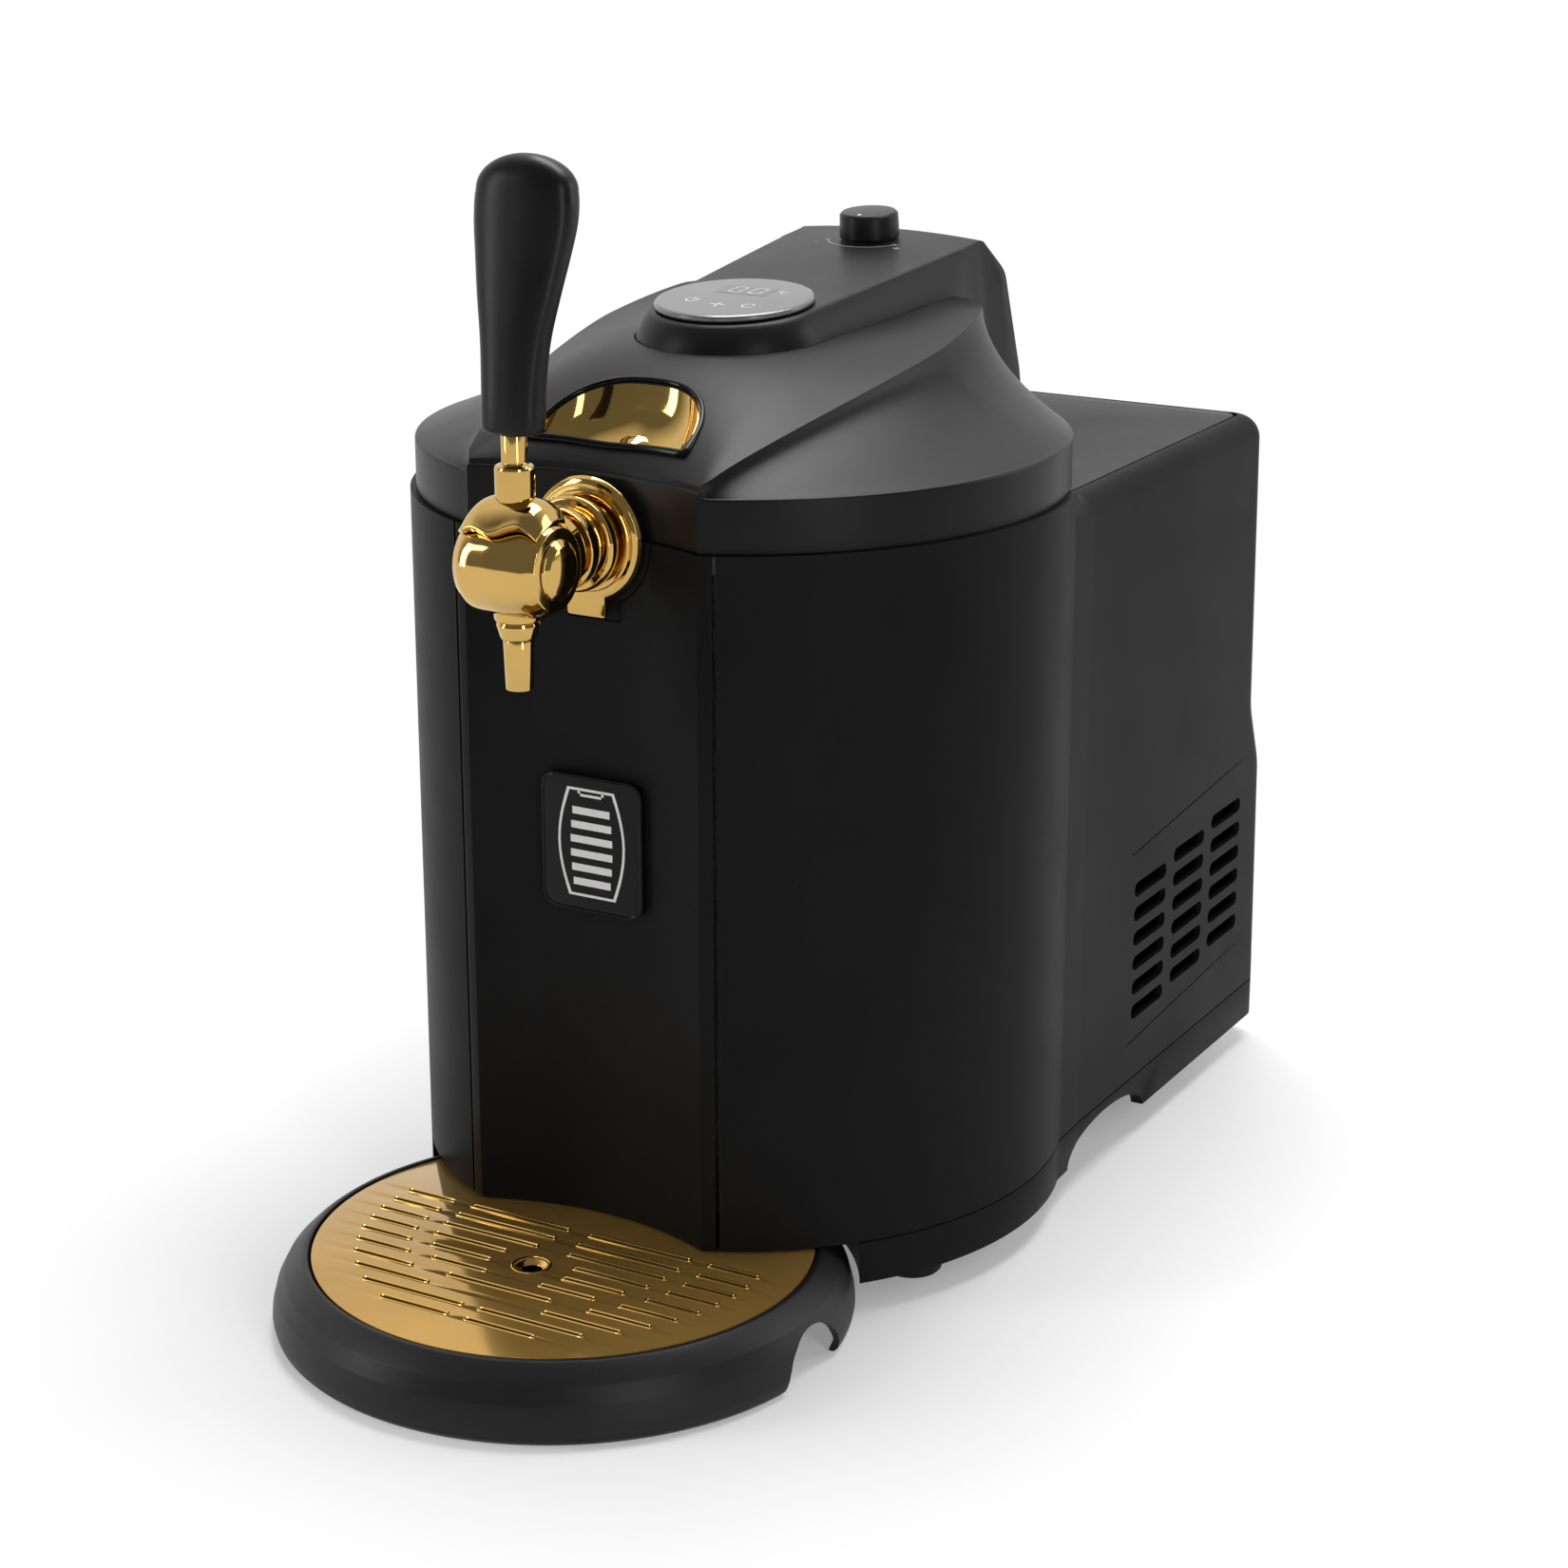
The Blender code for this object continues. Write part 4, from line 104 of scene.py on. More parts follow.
def held(data):
    o = bpy.data.objects.new(data.name, data)
    bpy.context.scene.collection.objects.link(o)
    return o


def baked(o, name=None):
    bpy.context.view_layer.update()
    dg = bpy.context.evaluated_depsgraph_get()
    me = bpy.data.meshes.new_from_object(o.evaluated_get(dg))
    me.transform(o.matrix_world)
    bpy.data.objects.remove(o, do_unlink=True)
    if name:
        me.name = name
    return me


def with_mod(me, kind, **values):
    o = held(me)
    m = o.modifiers.new(kind.lower(), kind)
    for k, v in values.items():
        setattr(m, k, v)
    return baked(o)


def thick(me, t, offset=-1):
    return with_mod(me, "SOLIDIFY", thickness=t, offset=offset, use_even_offset=True)


def bevel(me, w, n=2, angle=35):
    return with_mod(
        me, "BEVEL", width=w, segments=n, limit_method="ANGLE", angle_limit=rad(angle),
        use_clamp_overlap=True, harden_normals=False, miter_outer="MITER_ARC")


def boole(me, other, how="DIFFERENCE"):
    o, c = held(me), held(other)
    m = o.modifiers.new("cut", "BOOLEAN")
    m.operation = how
    m.solver = "EXACT"
    m.object = c
    out = baked(o)
    bpy.data.objects.remove(c, do_unlink=True)
    return out


def joined(*meshes):
    bm = bmesh.new()
    for me in meshes:
        bm.from_mesh(me)
    out = bpy.data.meshes.new("joined")
    bm.to_mesh(out)
    bm.free()
    return out


def loft(name, rings, closed=True, cap=False, weld=2e-6):
    n = len(rings[0])
    verts = [p for r in rings for p in r]
    faces = []
    for k in range(len(rings) - 1):
        for i in range(n if closed else n - 1):
            j = (i + 1) % n
            faces.append((k * n + i, k * n + j, k * n + n + j, k * n + n + i))
    if cap:
        faces.append(tuple(reversed(range(n))))
        faces.append(tuple(range((len(rings) - 1) * n, len(rings) * n)))
    return tidy(raw(name, verts, faces), weld)


def ring_faces(n, pairs, fans=()):
    # Four-sided faces between rows of n points, and fans from a row to its middle point
    faces = []
    for a, b in pairs:
        faces += [(a * n + i, a * n + (i + 1) % n, b * n + (i + 1) % n, b * n + i) for i in range(n)]
    for row, middle in fans:
        faces += [(row * n + i, row * n + (i + 1) % n, middle) for i in range(n)]
    return faces


def soften(pts, r, n=3, closed=True, least=rad(12)):
    # Rounds the corners of an outline or a turning profile
    out = []
    m = len(pts)
    for i in range(m):
        p = Vector(pts[i]).to_2d()
        a = Vector(pts[i - 1]).to_2d() - p
        b = Vector(pts[(i + 1) % m]).to_2d() - p
        is_end = not closed and i in (0, m - 1)
        if is_end or min(a.length, b.length) < 1e-7 or math.pi - a.angle(b) < least:
            out.append(tuple(p))
            continue
        d = min(r * math.tan((math.pi - a.angle(b)) / 2), a.length * 0.45, b.length * 0.45)
        s, e = p + a.normalized() * d, p + b.normalized() * d
        for k in range(n + 1):
            t = k / n
            out.append(tuple(s * (1 - t) ** 2 + p * 2 * t * (1 - t) + e * t * t))
    return out


TURNS = {"Z": (0, "Z"), "X": (Q, "Y"), "-X": (-Q, "Y"), "Y": (-Q, "X"), "-Y": (Q, "X")}


def lathe(name, profile, segs, axis="Z", centre=(0, 0, 0), r=0.0004, n=2):
    # Turns a profile of (radius, height) points; one that leaves the axis is a closed loop
    on_axis = profile[0][0] == 0 and profile[-1][0] == 0
    prof = soften(profile, r, n, closed=not on_axis) if r else profile
    m = len(prof)
    verts = []
    for i in range(segs):
        a = FULL * i / segs
        verts += [(p[0] * math.cos(a), p[0] * math.sin(a), p[1]) for p in prof]
    faces = []
    for i in range(segs):
        j = (i + 1) % segs
        for k in range(m - 1 if on_axis else m):
            l = (k + 1) % m
            faces.append((i * m + k, j * m + k, j * m + l, i * m + l))
    me = tidy(raw(name, verts, faces), 1e-6)
    angle, about = TURNS[axis]
    me.transform(Matrix.Translation(centre) @ Matrix.Rotation(angle, 4, about))
    return me


def slab(name, lines, low, high, face="Z", edge=0.0, edge_n=2, angle=35):
    cu = bpy.data.curves.new(name, "CURVE")
    cu.dimensions = "2D"
    cu.fill_mode = "BOTH"
    cu.extrude = (high - low) / 2
    for line in lines:
        sp = cu.splines.new("POLY")
        sp.points.add(len(line) - 1)
        for i, p in enumerate(line):
            sp.points[i].co = (p[0], p[1], 0, 1)
        sp.use_cyclic_u = True
    me = tidy(baked(held(cu), name))
    me.transform(Matrix.Translation((0, 0, (low + high) / 2)))
    if face == "X":
        me.transform(Matrix(((0, 0, 1), (1, 0, 0), (0, 1, 0))).to_4x4())
    if face == "Y":
        me.transform(Matrix(((1, 0, 0), (0, 0, 1), (0, 1, 0))).to_4x4())
        me.flip_normals()
    return bevel(me, edge, edge_n, angle) if edge else me


def circle(r, n, cx=0.0, cy=0.0):
    return arc(cx, cy, r, 0, FULL, n)[:-1]


def box_line(x0, x1, y0, y1):
    return [(x0, y0), (x1, y0), (x1, y1), (x0, y1)]


def capsule(x0, x1, y, w, n=8):
    r = w / 2
    return arc(x1 - r, y, r, -Q, Q, n) + arc(x0 + r, y, r, Q, 3 * Q, n)


MATS = {}


def piece(name, me, mat, body, nodes=(), sharp=38):
    # Finishes a mesh: moves it to its place, gives it its material and ties it to its body
    me.name = name
    me.transform(Matrix.Translation((0, DY, 0)))
    me.materials.clear()
    me.materials.append(MATS[mat])
    for p in me.polygons:
        p.use_smooth = True
        p.material_index = 0
    me.set_sharp_from_angle(angle=rad(sharp))
    o = bpy.data.objects.new(name, me)
    bpy.context.scene.collection.objects.link(o)
    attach(o, body)
    if nodes:
        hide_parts(*nodes)
    return o


# Plan shapes

def face_arc(radius):
    half_w = radius * math.sin(CORNER)
    rho = (half_w * half_w + HOLLOW * HOLLOW) / (2 * HOLLOW)
    return -radius * math.cos(CORNER) + HOLLOW - rho, rho


def face_y(radius, x, inset=0.0):
    cy, rho = face_arc(radius)
    rr = rho + inset
    return cy + math.sqrt(rr * rr - x * x)


def front_corner(radius, inset):
    cy, rho = face_arc(radius)
    rd, rf = radius - inset, rho + inset
    y = (rd * rd - rf * rf + cy * cy) / (2 * cy)
    return math.sqrt(rd * rd - y * y), y


def front_points(radius, inset, n):
    cx = front_corner(radius, inset)[0]
    across = [mix(-cx, cx, i / n) for i in range(n + 1)]
    return [(x, face_y(radius, x, inset)) for x in across]


def arc_points(radius, a0, a1, n):
    # Angles round the drum are counted from its front
    return arc(0, 0, radius, a0 - Q, a1 - Q, n)


# Cooling box: half widths in front and behind, corner, and how far the rear wall reaches at each height
BOX_F, BOX_R, CORNER_R, REACH = 0.1245, 0.1225, 0.0150, 0.2710
BOX_START_Y, BOX_FULL_Y, BOX_TAPER_Y = 0.052, 0.064, 0.150
SKIN_LOW, STEP_LOW, STEP_TOP = 0.0293, 0.1366, 0.1644
REAR_LOW_Y, REAR_STEP_Y, REAR_TOP_Y = 0.2675, 0.2565, 0.2530


def box_side(inset, rear_y, n=10):
    pts = [(BOX_F + 0.0008 - inset, BOX_START_Y), (BOX_F - inset, BOX_FULL_Y)]
    pts.append(((BOX_F + BOX_R) / 2 - inset, BOX_TAPER_Y))
    return pts + arc(BOX_R - CORNER_R, rear_y - CORNER_R, max(CORNER_R - inset, 0.0003), 0, Q, n)


def body_loop(inset, rear_y, n_front=36, n_arc=64):
    cx, cy = front_corner(DRUM_R, inset)
    right = arc_points(DRUM_R - inset, math.atan2(cx, -cy), DRUM_END, n_arc)[1:] + box_side(inset, rear_y)
    return front_points(DRUM_R, inset, n_front) + right + mirrored(right)


def rear_y_at(z):
    # The rear wall leans in and steps forward between its two heights
    if z >= STEP_TOP:
        return mix(REAR_STEP_Y, REAR_TOP_Y, (z - STEP_TOP) / (COVER_TOP - STEP_TOP))
    if z >= STEP_LOW:
        return mix(REAR_LOW_Y, REAR_STEP_Y, (z - STEP_LOW) / (STEP_TOP - STEP_LOW))
    return mix(REACH, REAR_LOW_Y, clamp((z - SKIN_LOW) / (STEP_LOW - SKIN_LOW)))


def rear_soft(z):
    return sum(rear_y_at(clamp(z + d * 0.0012, SKIN_LOW, COVER_TOP)) for d in range(-3, 4)) / 7


# Node trees for what repeats and for ridges along a line

def geometry_tree(name, inputs):
    tree = bpy.data.node_groups.new(name, "GeometryNodeTree")
    tree.interface.new_socket("Geometry", in_out="INPUT", socket_type="NodeSocketGeometry")
    for label, kind in inputs:
        tree.interface.new_socket(label, in_out="INPUT", socket_type=kind)
    tree.interface.new_socket("Geometry", in_out="OUTPUT", socket_type="NodeSocketGeometry")
    return tree, tree.nodes.new("NodeGroupInput"), tree.nodes.new("NodeGroupOutput")


def end_tree(tree, shape, given, out):
    # Every tree ends in real geometry with its finish set
    real = tree.nodes.new("GeometryNodeRealizeInstances")
    paint = tree.nodes.new("GeometryNodeSetMaterial")
    tree.links.new(shape, real.inputs["Geometry"])
    tree.links.new(real.outputs["Geometry"], paint.inputs["Geometry"])
    tree.links.new(given.outputs["Finish"], paint.inputs["Material"])
    tree.links.new(paint.outputs["Geometry"], out.inputs["Geometry"])


def make_rows_tree():
    # Copies one slot, screw or fin along a column and then along a row
    tree, given, out = geometry_tree("slot_rows", (
        ("Rows", "NodeSocketInt"), ("Row Step", "NodeSocketVector"),
        ("Columns", "NodeSocketInt"), ("Column Step", "NodeSocketVector"),
        ("Finish", "NodeSocketMaterial")))
    copies = given.outputs["Geometry"]
    for count, step in (("Rows", "Row Step"), ("Columns", "Column Step")):
        line = tree.nodes.new("GeometryNodeMeshLine")
        place = tree.nodes.new("GeometryNodeInstanceOnPoints")
        tree.links.new(given.outputs[count], line.inputs["Count"])
        tree.links.new(given.outputs[step], line.inputs["Offset"])
        tree.links.new(line.outputs["Mesh"], place.inputs["Points"])
        tree.links.new(copies, place.inputs["Instance"])
        copies = place.outputs["Instances"]
    end_tree(tree, copies, given, out)
    return tree


def make_ridge_tree():
    # Sweeps a round ridge along every line of the given mesh
    tree, given, out = geometry_tree("ridge_along_line", (
        ("Radius", "NodeSocketFloat"), ("Sides", "NodeSocketInt"), ("Finish", "NodeSocketMaterial")))
    path = tree.nodes.new("GeometryNodeMeshToCurve")
    ring = tree.nodes.new("GeometryNodeCurvePrimitiveCircle")
    sweep = tree.nodes.new("GeometryNodeCurveToMesh")
    tree.links.new(given.outputs["Geometry"], path.inputs["Mesh"])
    tree.links.new(given.outputs["Radius"], ring.inputs["Radius"])
    tree.links.new(given.outputs["Sides"], ring.inputs["Resolution"])
    tree.links.new(path.outputs["Curve"], sweep.inputs["Curve"])
    tree.links.new(ring.outputs["Curve"], sweep.inputs["Profile Curve"])
    end_tree(tree, sweep.outputs["Mesh"], given, out)
    return tree


ROWS_TREE = make_rows_tree()
RIDGE_TREE = make_ridge_tree()


def grown(me, tree, values):
    o = held(me)
    m = o.modifiers.new(tree.name, "NODES")
    m.node_group = tree
    for s in tree.interface.items_tree:
        if s.item_type == "SOCKET" and s.in_out == "INPUT" and s.name in values:
            m[s.identifier] = values[s.name]
    return baked(o)


def repeated(me, mat, rows, row_step, columns=1, column_step=(0.0, 0.0, 0.0)):
    sizes = {"Rows": rows, "Row Step": row_step, "Columns": columns, "Column Step": column_step}
    return grown(me, ROWS_TREE, {**sizes, "Finish": MATS[mat]})


def ridges(name, lines, radius, mat, sides=8, closed=True):
    verts, edges = [], []
    for line in lines:
        first = len(verts)
        verts += [tuple(p) for p in line]
        edges += [(first + i, first + i + 1) for i in range(len(line) - 1)]
        if closed:
            edges.append((first + len(line) - 1, first))
    me = bpy.data.meshes.new(name)
    me.from_pydata(verts, edges, [])
    return tidy(grown(me, RIDGE_TREE, {"Radius": radius, "Sides": sides, "Finish": MATS[mat]}))


# Finishes: effects shared by several materials are groups with named inputs

def effect(name, inputs, outputs):
    g = bpy.data.node_groups.new(name, "ShaderNodeTree")
    for label, value in inputs:
        s = g.interface.new_socket(label, in_out="INPUT", socket_type="NodeSocketFloat")
        s.default_value = value
    for label in outputs:
        g.interface.new_socket(label, in_out="OUTPUT", socket_type="NodeSocketFloat")
    given, out = g.nodes.new("NodeGroupInput"), g.nodes.new("NodeGroupOutput")
    where = g.nodes.new("ShaderNodeTexCoord")
    return g, given, out, where


def noise(g, where, scale, detail=3.0, rough=0.5):
    n = g.nodes.new("ShaderNodeTexNoise")
    n.inputs["Detail"].default_value = detail
    n.inputs["Roughness"].default_value = rough
    g.links.new(where.outputs["Object"], n.inputs["Vector"])
    if isinstance(scale, (int, float)):
        n.inputs["Scale"].default_value = scale
    else:
        g.links.new(scale, n.inputs["Scale"])
    return n


def spread(g, source, low, high, a=0.0, b=1.0):
    r = g.nodes.new("ShaderNodeMapRange")
    r.inputs["From Min"].default_value = low
    r.inputs["From Max"].default_value = high
    r.inputs["To Min"].default_value = a
    r.inputs["To Max"].default_value = b
    g.links.new(source, r.inputs["Value"])
    return r.outputs["Result"]


def maths(g, how, a, b):
    m = g.nodes.new("ShaderNodeMath")
    m.operation = how
    for i, v in enumerate((a, b)):
        if isinstance(v, (int, float)):
            m.inputs[i].default_value = v
        else:
            g.links.new(v, m.inputs[i])
    return m.outputs[0]


def make_moulded_grain():
    # Fine spark-eroded texture of moulded plastic, with faint cloudiness
    g, given, out, where = effect("moulded_grain", (("Grain Size", 2600.0), ("Cloud Size", 14.0)),
        ("Height", "Cloud"))
    grain = noise(g, where, given.outputs["Grain Size"], 2.0, 0.6)
    cloud = noise(g, where, given.outputs["Cloud Size"], 4.0, 0.55)
    g.links.new(grain.outputs["Fac"], out.inputs["Height"])
    g.links.new(spread(g, cloud.outputs["Fac"], 0.3, 0.7), out.inputs["Cloud"])
    return g


def make_handling_marks():
    # Smudges from handling and fine dust, as masks
    g, given, out, where = effect("handling_marks", (("Smudge Size", 22.0), ("Dust Size", 900.0)),
        ("Smudge", "Dust"))
    smudge = noise(g, where, given.outputs["Smudge Size"], 5.0, 0.6)
    dust = noise(g, where, given.outputs["Dust Size"], 1.0, 0.4)
    g.links.new(spread(g, smudge.outputs["Fac"], 0.42, 0.68), out.inputs["Smudge"])
    g.links.new(spread(g, dust.outputs["Fac"], 0.72, 0.82), out.inputs["Dust"])
    return g


def make_fine_lines():
    # Hair lines left by turning and brushing, stretched along one axis
    g, given, out, where = effect("fine_lines", (("Across", 3200.0), ("Along", 40.0)), ("Line",))
    parts = g.nodes.new("ShaderNodeSeparateXYZ")
    back = g.nodes.new("ShaderNodeCombineXYZ")
    g.links.new(where.outputs["Object"], parts.inputs[0])
    for i, k in enumerate(("Along", "Along", "Across")):
        g.links.new(maths(g, "MULTIPLY", parts.outputs[i], given.outputs[k]), back.inputs[i])
    n = g.nodes.new("ShaderNodeTexNoise")
    n.inputs["Scale"].default_value = 1.0
    n.inputs["Detail"].default_value = 2.0
    g.links.new(back.outputs[0], n.inputs["Vector"])
    g.links.new(n.outputs["Fac"], out.inputs["Line"])
    return g


GRAIN, MARKS, LINES = make_moulded_grain(), make_handling_marks(), make_fine_lines()
DUST_COLOUR = (0.30, 0.29, 0.27, 1)
BUMP_DEPTH = 0.0002


def finish(
        name, colour, rough, metal=0.0, grain=0.0, grain_size=2600.0, cloud=0.12, smudge=0.05,
        dust=0.0, lines=0.0, coat=0.0, specular=0.5, tint=None):
    # One surface: mottled colour, dust, worn roughness and a fine relief
    m = bpy.data.materials.new(name)
    m.use_nodes = True
    t = m.node_tree
    p = t.nodes["Principled BSDF"]
    p.inputs["Metallic"].default_value = metal
    p.inputs["Specular IOR Level"].default_value = specular
    p.inputs["Coat Weight"].default_value = coat
    p.inputs["Coat Roughness"].default_value = 0.04
    m.diffuse_color = (*colour, 1)
    grains = t.nodes.new("ShaderNodeGroup")
    grains.node_tree = GRAIN
    grains.inputs["Grain Size"].default_value = grain_size
    marks = t.nodes.new("ShaderNodeGroup")
    marks.node_tree = MARKS
    tone = t.nodes.new("ShaderNodeMix")
    tone.data_type = "RGBA"
    tone.inputs[6].default_value = (*[c * (1 - cloud) for c in colour], 1)
    tone.inputs[7].default_value = (*[c * (1 + cloud) for c in (tint or colour)], 1)
    t.links.new(grains.outputs["Cloud"], tone.inputs[0])
    last = tone.outputs[2]
    if dust:
        dusty = t.nodes.new("ShaderNodeMix")
        dusty.data_type = "RGBA"
        dusty.inputs[7].default_value = DUST_COLOUR
        t.links.new(maths(t, "MULTIPLY", marks.outputs["Dust"], dust), dusty.inputs[0])
        t.links.new(last, dusty.inputs[6])
        last = dusty.outputs[2]
    t.links.new(last, p.inputs["Base Color"])
    worn = maths(t, "ADD", rough, maths(t, "MULTIPLY", marks.outputs["Smudge"], smudge))
    t.links.new(worn, p.inputs["Roughness"])
    height = maths(t, "MULTIPLY", grains.outputs["Height"], 1.0)
    if lines:
        hair = t.nodes.new("ShaderNodeGroup")
        hair.node_tree = LINES
        height = maths(t, "ADD", height, maths(t, "MULTIPLY", hair.outputs["Line"], lines))
    if grain or lines:
        b = t.nodes.new("ShaderNodeBump")
        b.inputs["Strength"].default_value = max(grain, 0.05 if lines else 0)
        b.inputs["Distance"].default_value = BUMP_DEPTH
        t.links.new(height, b.inputs["Height"])
        t.links.new(b.outputs["Normal"], p.inputs["Normal"])
    MATS[name] = m
    return m


finish("housing_black", (0.0115, 0.0113, 0.0115), 0.40, grain=0.16, smudge=0.05, dust=0.02,
    specular=0.035)
finish("lid_black", (0.0080, 0.0076, 0.0079), 0.36, grain=0.14, smudge=0.05, dust=0.02, specular=0.15)
finish("tray_black", (0.0080, 0.0079, 0.0080), 0.42, grain=0.18, smudge=0.05, dust=0.02, specular=0.30)
finish("grip_black", (0.0075, 0.0074, 0.0075), 0.30, grain=0.06, smudge=0.06, specular=0.18)
finish("gloss_black", (0.0040, 0.0040, 0.0042), 0.06, smudge=0.05, cloud=0.1, coat=0.06, specular=0.12)
finish("deep_shade", (0.0010, 0.0010, 0.0010), 0.85, cloud=0.1)
finish("tap_gold", (0.54, 0.35, 0.105), 0.055, metal=1.0, cloud=0.05, smudge=0.05,
    tint=(0.60, 0.39, 0.12))
finish("plate_gold", (0.55, 0.325, 0.080), 0.085, metal=0.62, cloud=0.06, smudge=0.07,
    tint=(0.66, 0.39, 0.10))
finish("rim_gold", (0.80, 0.49, 0.14), 0.12, metal=1.0, cloud=0.05, smudge=0.06)
finish("rubber_black", (0.010, 0.010, 0.010), 0.78, grain=0.3, grain_size=1500.0)
finish("foam_white", (0.78, 0.77, 0.72), 0.90, grain=0.6, grain_size=420.0)
finish("liner_alu", (0.72, 0.73, 0.75), 0.30, metal=1.0, lines=0.8, smudge=0.1)
finish("steel", (0.60, 0.60, 0.62), 0.26, metal=1.0, lines=0.5, smudge=0.08)
finish("inner_grey", (0.20, 0.20, 0.205), 0.48, grain=0.2, smudge=0.06)
finish("disc_silver", (0.15, 0.147, 0.15), 0.22, metal=0.45, cloud=0.1, smudge=0.05, coat=0.15)
finish("window_dark", (0.012, 0.012, 0.013), 0.08, smudge=0.04, coat=0.5)
finish("digit_grey", (0.42, 0.42, 0.42), 0.35, cloud=0.06)
finish("print_white", (0.72, 0.72, 0.71), 0.42, cloud=0.05)
finish("print_grey", (0.30, 0.29, 0.29), 0.42, cloud=0.06)
finish("board_green", (0.018, 0.11, 0.045), 0.42, grain=0.1, cloud=0.2)
finish("white_ceramic", (0.80, 0.80, 0.77), 0.40, grain=0.1)
finish("brass", (0.66, 0.47, 0.20), 0.24, metal=1.0, lines=0.5)
finish("hose_pale", (0.60, 0.62, 0.61), 0.22, smudge=0.1, coat=0.3)


# Housing: side skins of drum and cooling box, with vents

PANEL_HALF, EDGE_R, CORNER_STEPS, SKIN_LIFT = 0.0996, 0.0100, 12, 0.0004
WALL_FLAT = COVER_TOP - EDGE_R
WALL_LEVELS = [0.06, 0.10, 0.13] + [0.1335 + 0.0034 * k for k in range(11)]
WALL_LEVELS += [0.172, 0.21, 0.25, WALL_FLAT]
VENT_Y, VENT_Z, VENT_LONG, VENT_WIDE, VENT_ROWS, VENT_COLUMNS = 0.1165, 0.0600, 0.0345, 0.0066, 6, 3
VENT_STEP, VENT_COLUMN_STEP = (0.0, 0.0, 0.0112), (0.0, 0.0425, 0.0030)
LINE_Y0, LINE_Y1, LINE_HALF = 0.1125, 0.2420, 0.0003
LINE_HEIGHTS = ((0.1330, 0.1430), (0.0465, 0.0545))
SIDE_CUT_IN, SIDE_CUT_OUT = 0.110, 0.135


def side_columns():
    # Plan points from the front groove to the rear: place, outward direction, share of the box, of its rear
    cols = [(x, y, x / DRUM_R, y / DRUM_R, 0.0, 0.0) for x, y in arc_points(DRUM_R, GROOVE, DRUM_END, 72)]
    tail = box_side(0, REACH, CORNER_STEPS)
    ax, ay, out_x, out_y = cols[-1][:4]
    (mx, my), (bx, by) = tail[:2]
    for k in range(1, 9):
        t = k / 8
        x = (1 - t) ** 2 * ax + 2 * t * (1 - t) * mx + t * t * bx
        y = (1 - t) ** 2 * ay + 2 * t * (1 - t) * my + t * t * by
        cols.append((x, y, mix(out_x, 1, t), mix(out_y, 0, t), soft_step(t), 0.0))
    for k in (1, 2, 3):
        cols.append((mix(bx, tail[2][0], k / 3), mix(by, tail[2][1], k / 3), 1.0, 0.0, 1.0, 0.0))
    for i, (x, y) in enumerate(tail[3:]):
        a = Q * i / CORNER_STEPS
        cols.append((x, y, math.cos(a), math.sin(a), 1.0, 1.0))
    return cols + [(PANEL_HALF + 0.0003, REACH, 0.0, 1.0, 1.0, 1.0)]


def side_skin(s):
    levels = [(z, 0.0) for z in [SKIN_LOW, SKIN_LOW + SKIN_LIFT] + WALL_LEVELS]
    levels += [(WALL_FLAT, a / CORNER_STEPS) for a in range(1, CORNER_STEPS + 1)]
    cols = side_columns()
    rings = []
    for z, a in levels:
        ring = []
        for x, y, nx, ny, box_share, rear in cols:
            inset = box_share * EDGE_R * (1 - math.cos(Q * a))
            edge_z = mix(mix(z, BODY_TOP, a), WALL_FLAT + EDGE_R * math.sin(Q * a), box_share)
            high = edge_z if a else z
            inset += SKIN_LIFT if z == SKIN_LOW else 0.0
            y += rear * (rear_soft(high) - REACH)
            ring.append((s * (x - nx * inset), y - ny * inset, high))
        rings.append(ring)
    me = loft("side_skin", rings, closed=False)
    if me.polygons[len(me.polygons) // 3].normal.x * s < 0:
        me.flip_normals()
    me = thick(me, WALL)
    slot = [capsule(VENT_Y, VENT_Y + VENT_LONG, VENT_Z, VENT_WIDE)]
    slot = slab("vent_slot", slot, *sorted((s * SIDE_CUT_IN, s * SIDE_CUT_OUT)), "X")
    me = boole(me, repeated(slot, "deep_shade", VENT_ROWS, VENT_STEP, VENT_COLUMNS, VENT_COLUMN_STEP))
    line_x = mix(BOX_F, BOX_R, 0.75) - 0.0004
    for z0, z1 in LINE_HEIGHTS:
        line = [(LINE_Y0, z0 - LINE_HALF), (LINE_Y1, z1 - LINE_HALF)]
        line += [(LINE_Y1, z1 + LINE_HALF), (LINE_Y0, z0 + LINE_HALF)]
        me = boole(me, slab("vent_line", [line], *sorted((s * line_x, s * SIDE_CUT_OUT)), "X"))
    return me


for s, side in ((1, "right"), (-1, "left")):
    skin = side_skin(s)
    piece("side_skin_" + side, skin, "housing_black", "appliance", ["side_shell_" + side])

# Front panel with its corner strips, the shank slot and the keyhole line round the flange

SHANK_HOLE, KEYHOLE_R, KEYHOLE_TAB, KEYHOLE_LOW, KEYHOLE_HALF_LINE = 0.0095, 0.0264, 0.0112, 0.2722, 0.0003
FACE_Y = face_y(DRUM_R, 0)
FRONT_CUT = -0.160


def panel_line(radius, inset):
    left, right = arc_points(radius, -STRIP, -CORNER, 3)[:-1], arc_points(radius, CORNER, STRIP, 3)[1:]
    return left + front_points(DRUM_R, inset, 48) + right


def keyhole(grow):
    r, tab, low = KEYHOLE_R + grow, KEYHOLE_TAB + grow, KEYHOLE_LOW - grow
    a = math.asin(tab / r)
    return arc(0, TAP_Z, r, a - Q, 3 * Q - a, 64) + [(-tab, low), (tab, low)]


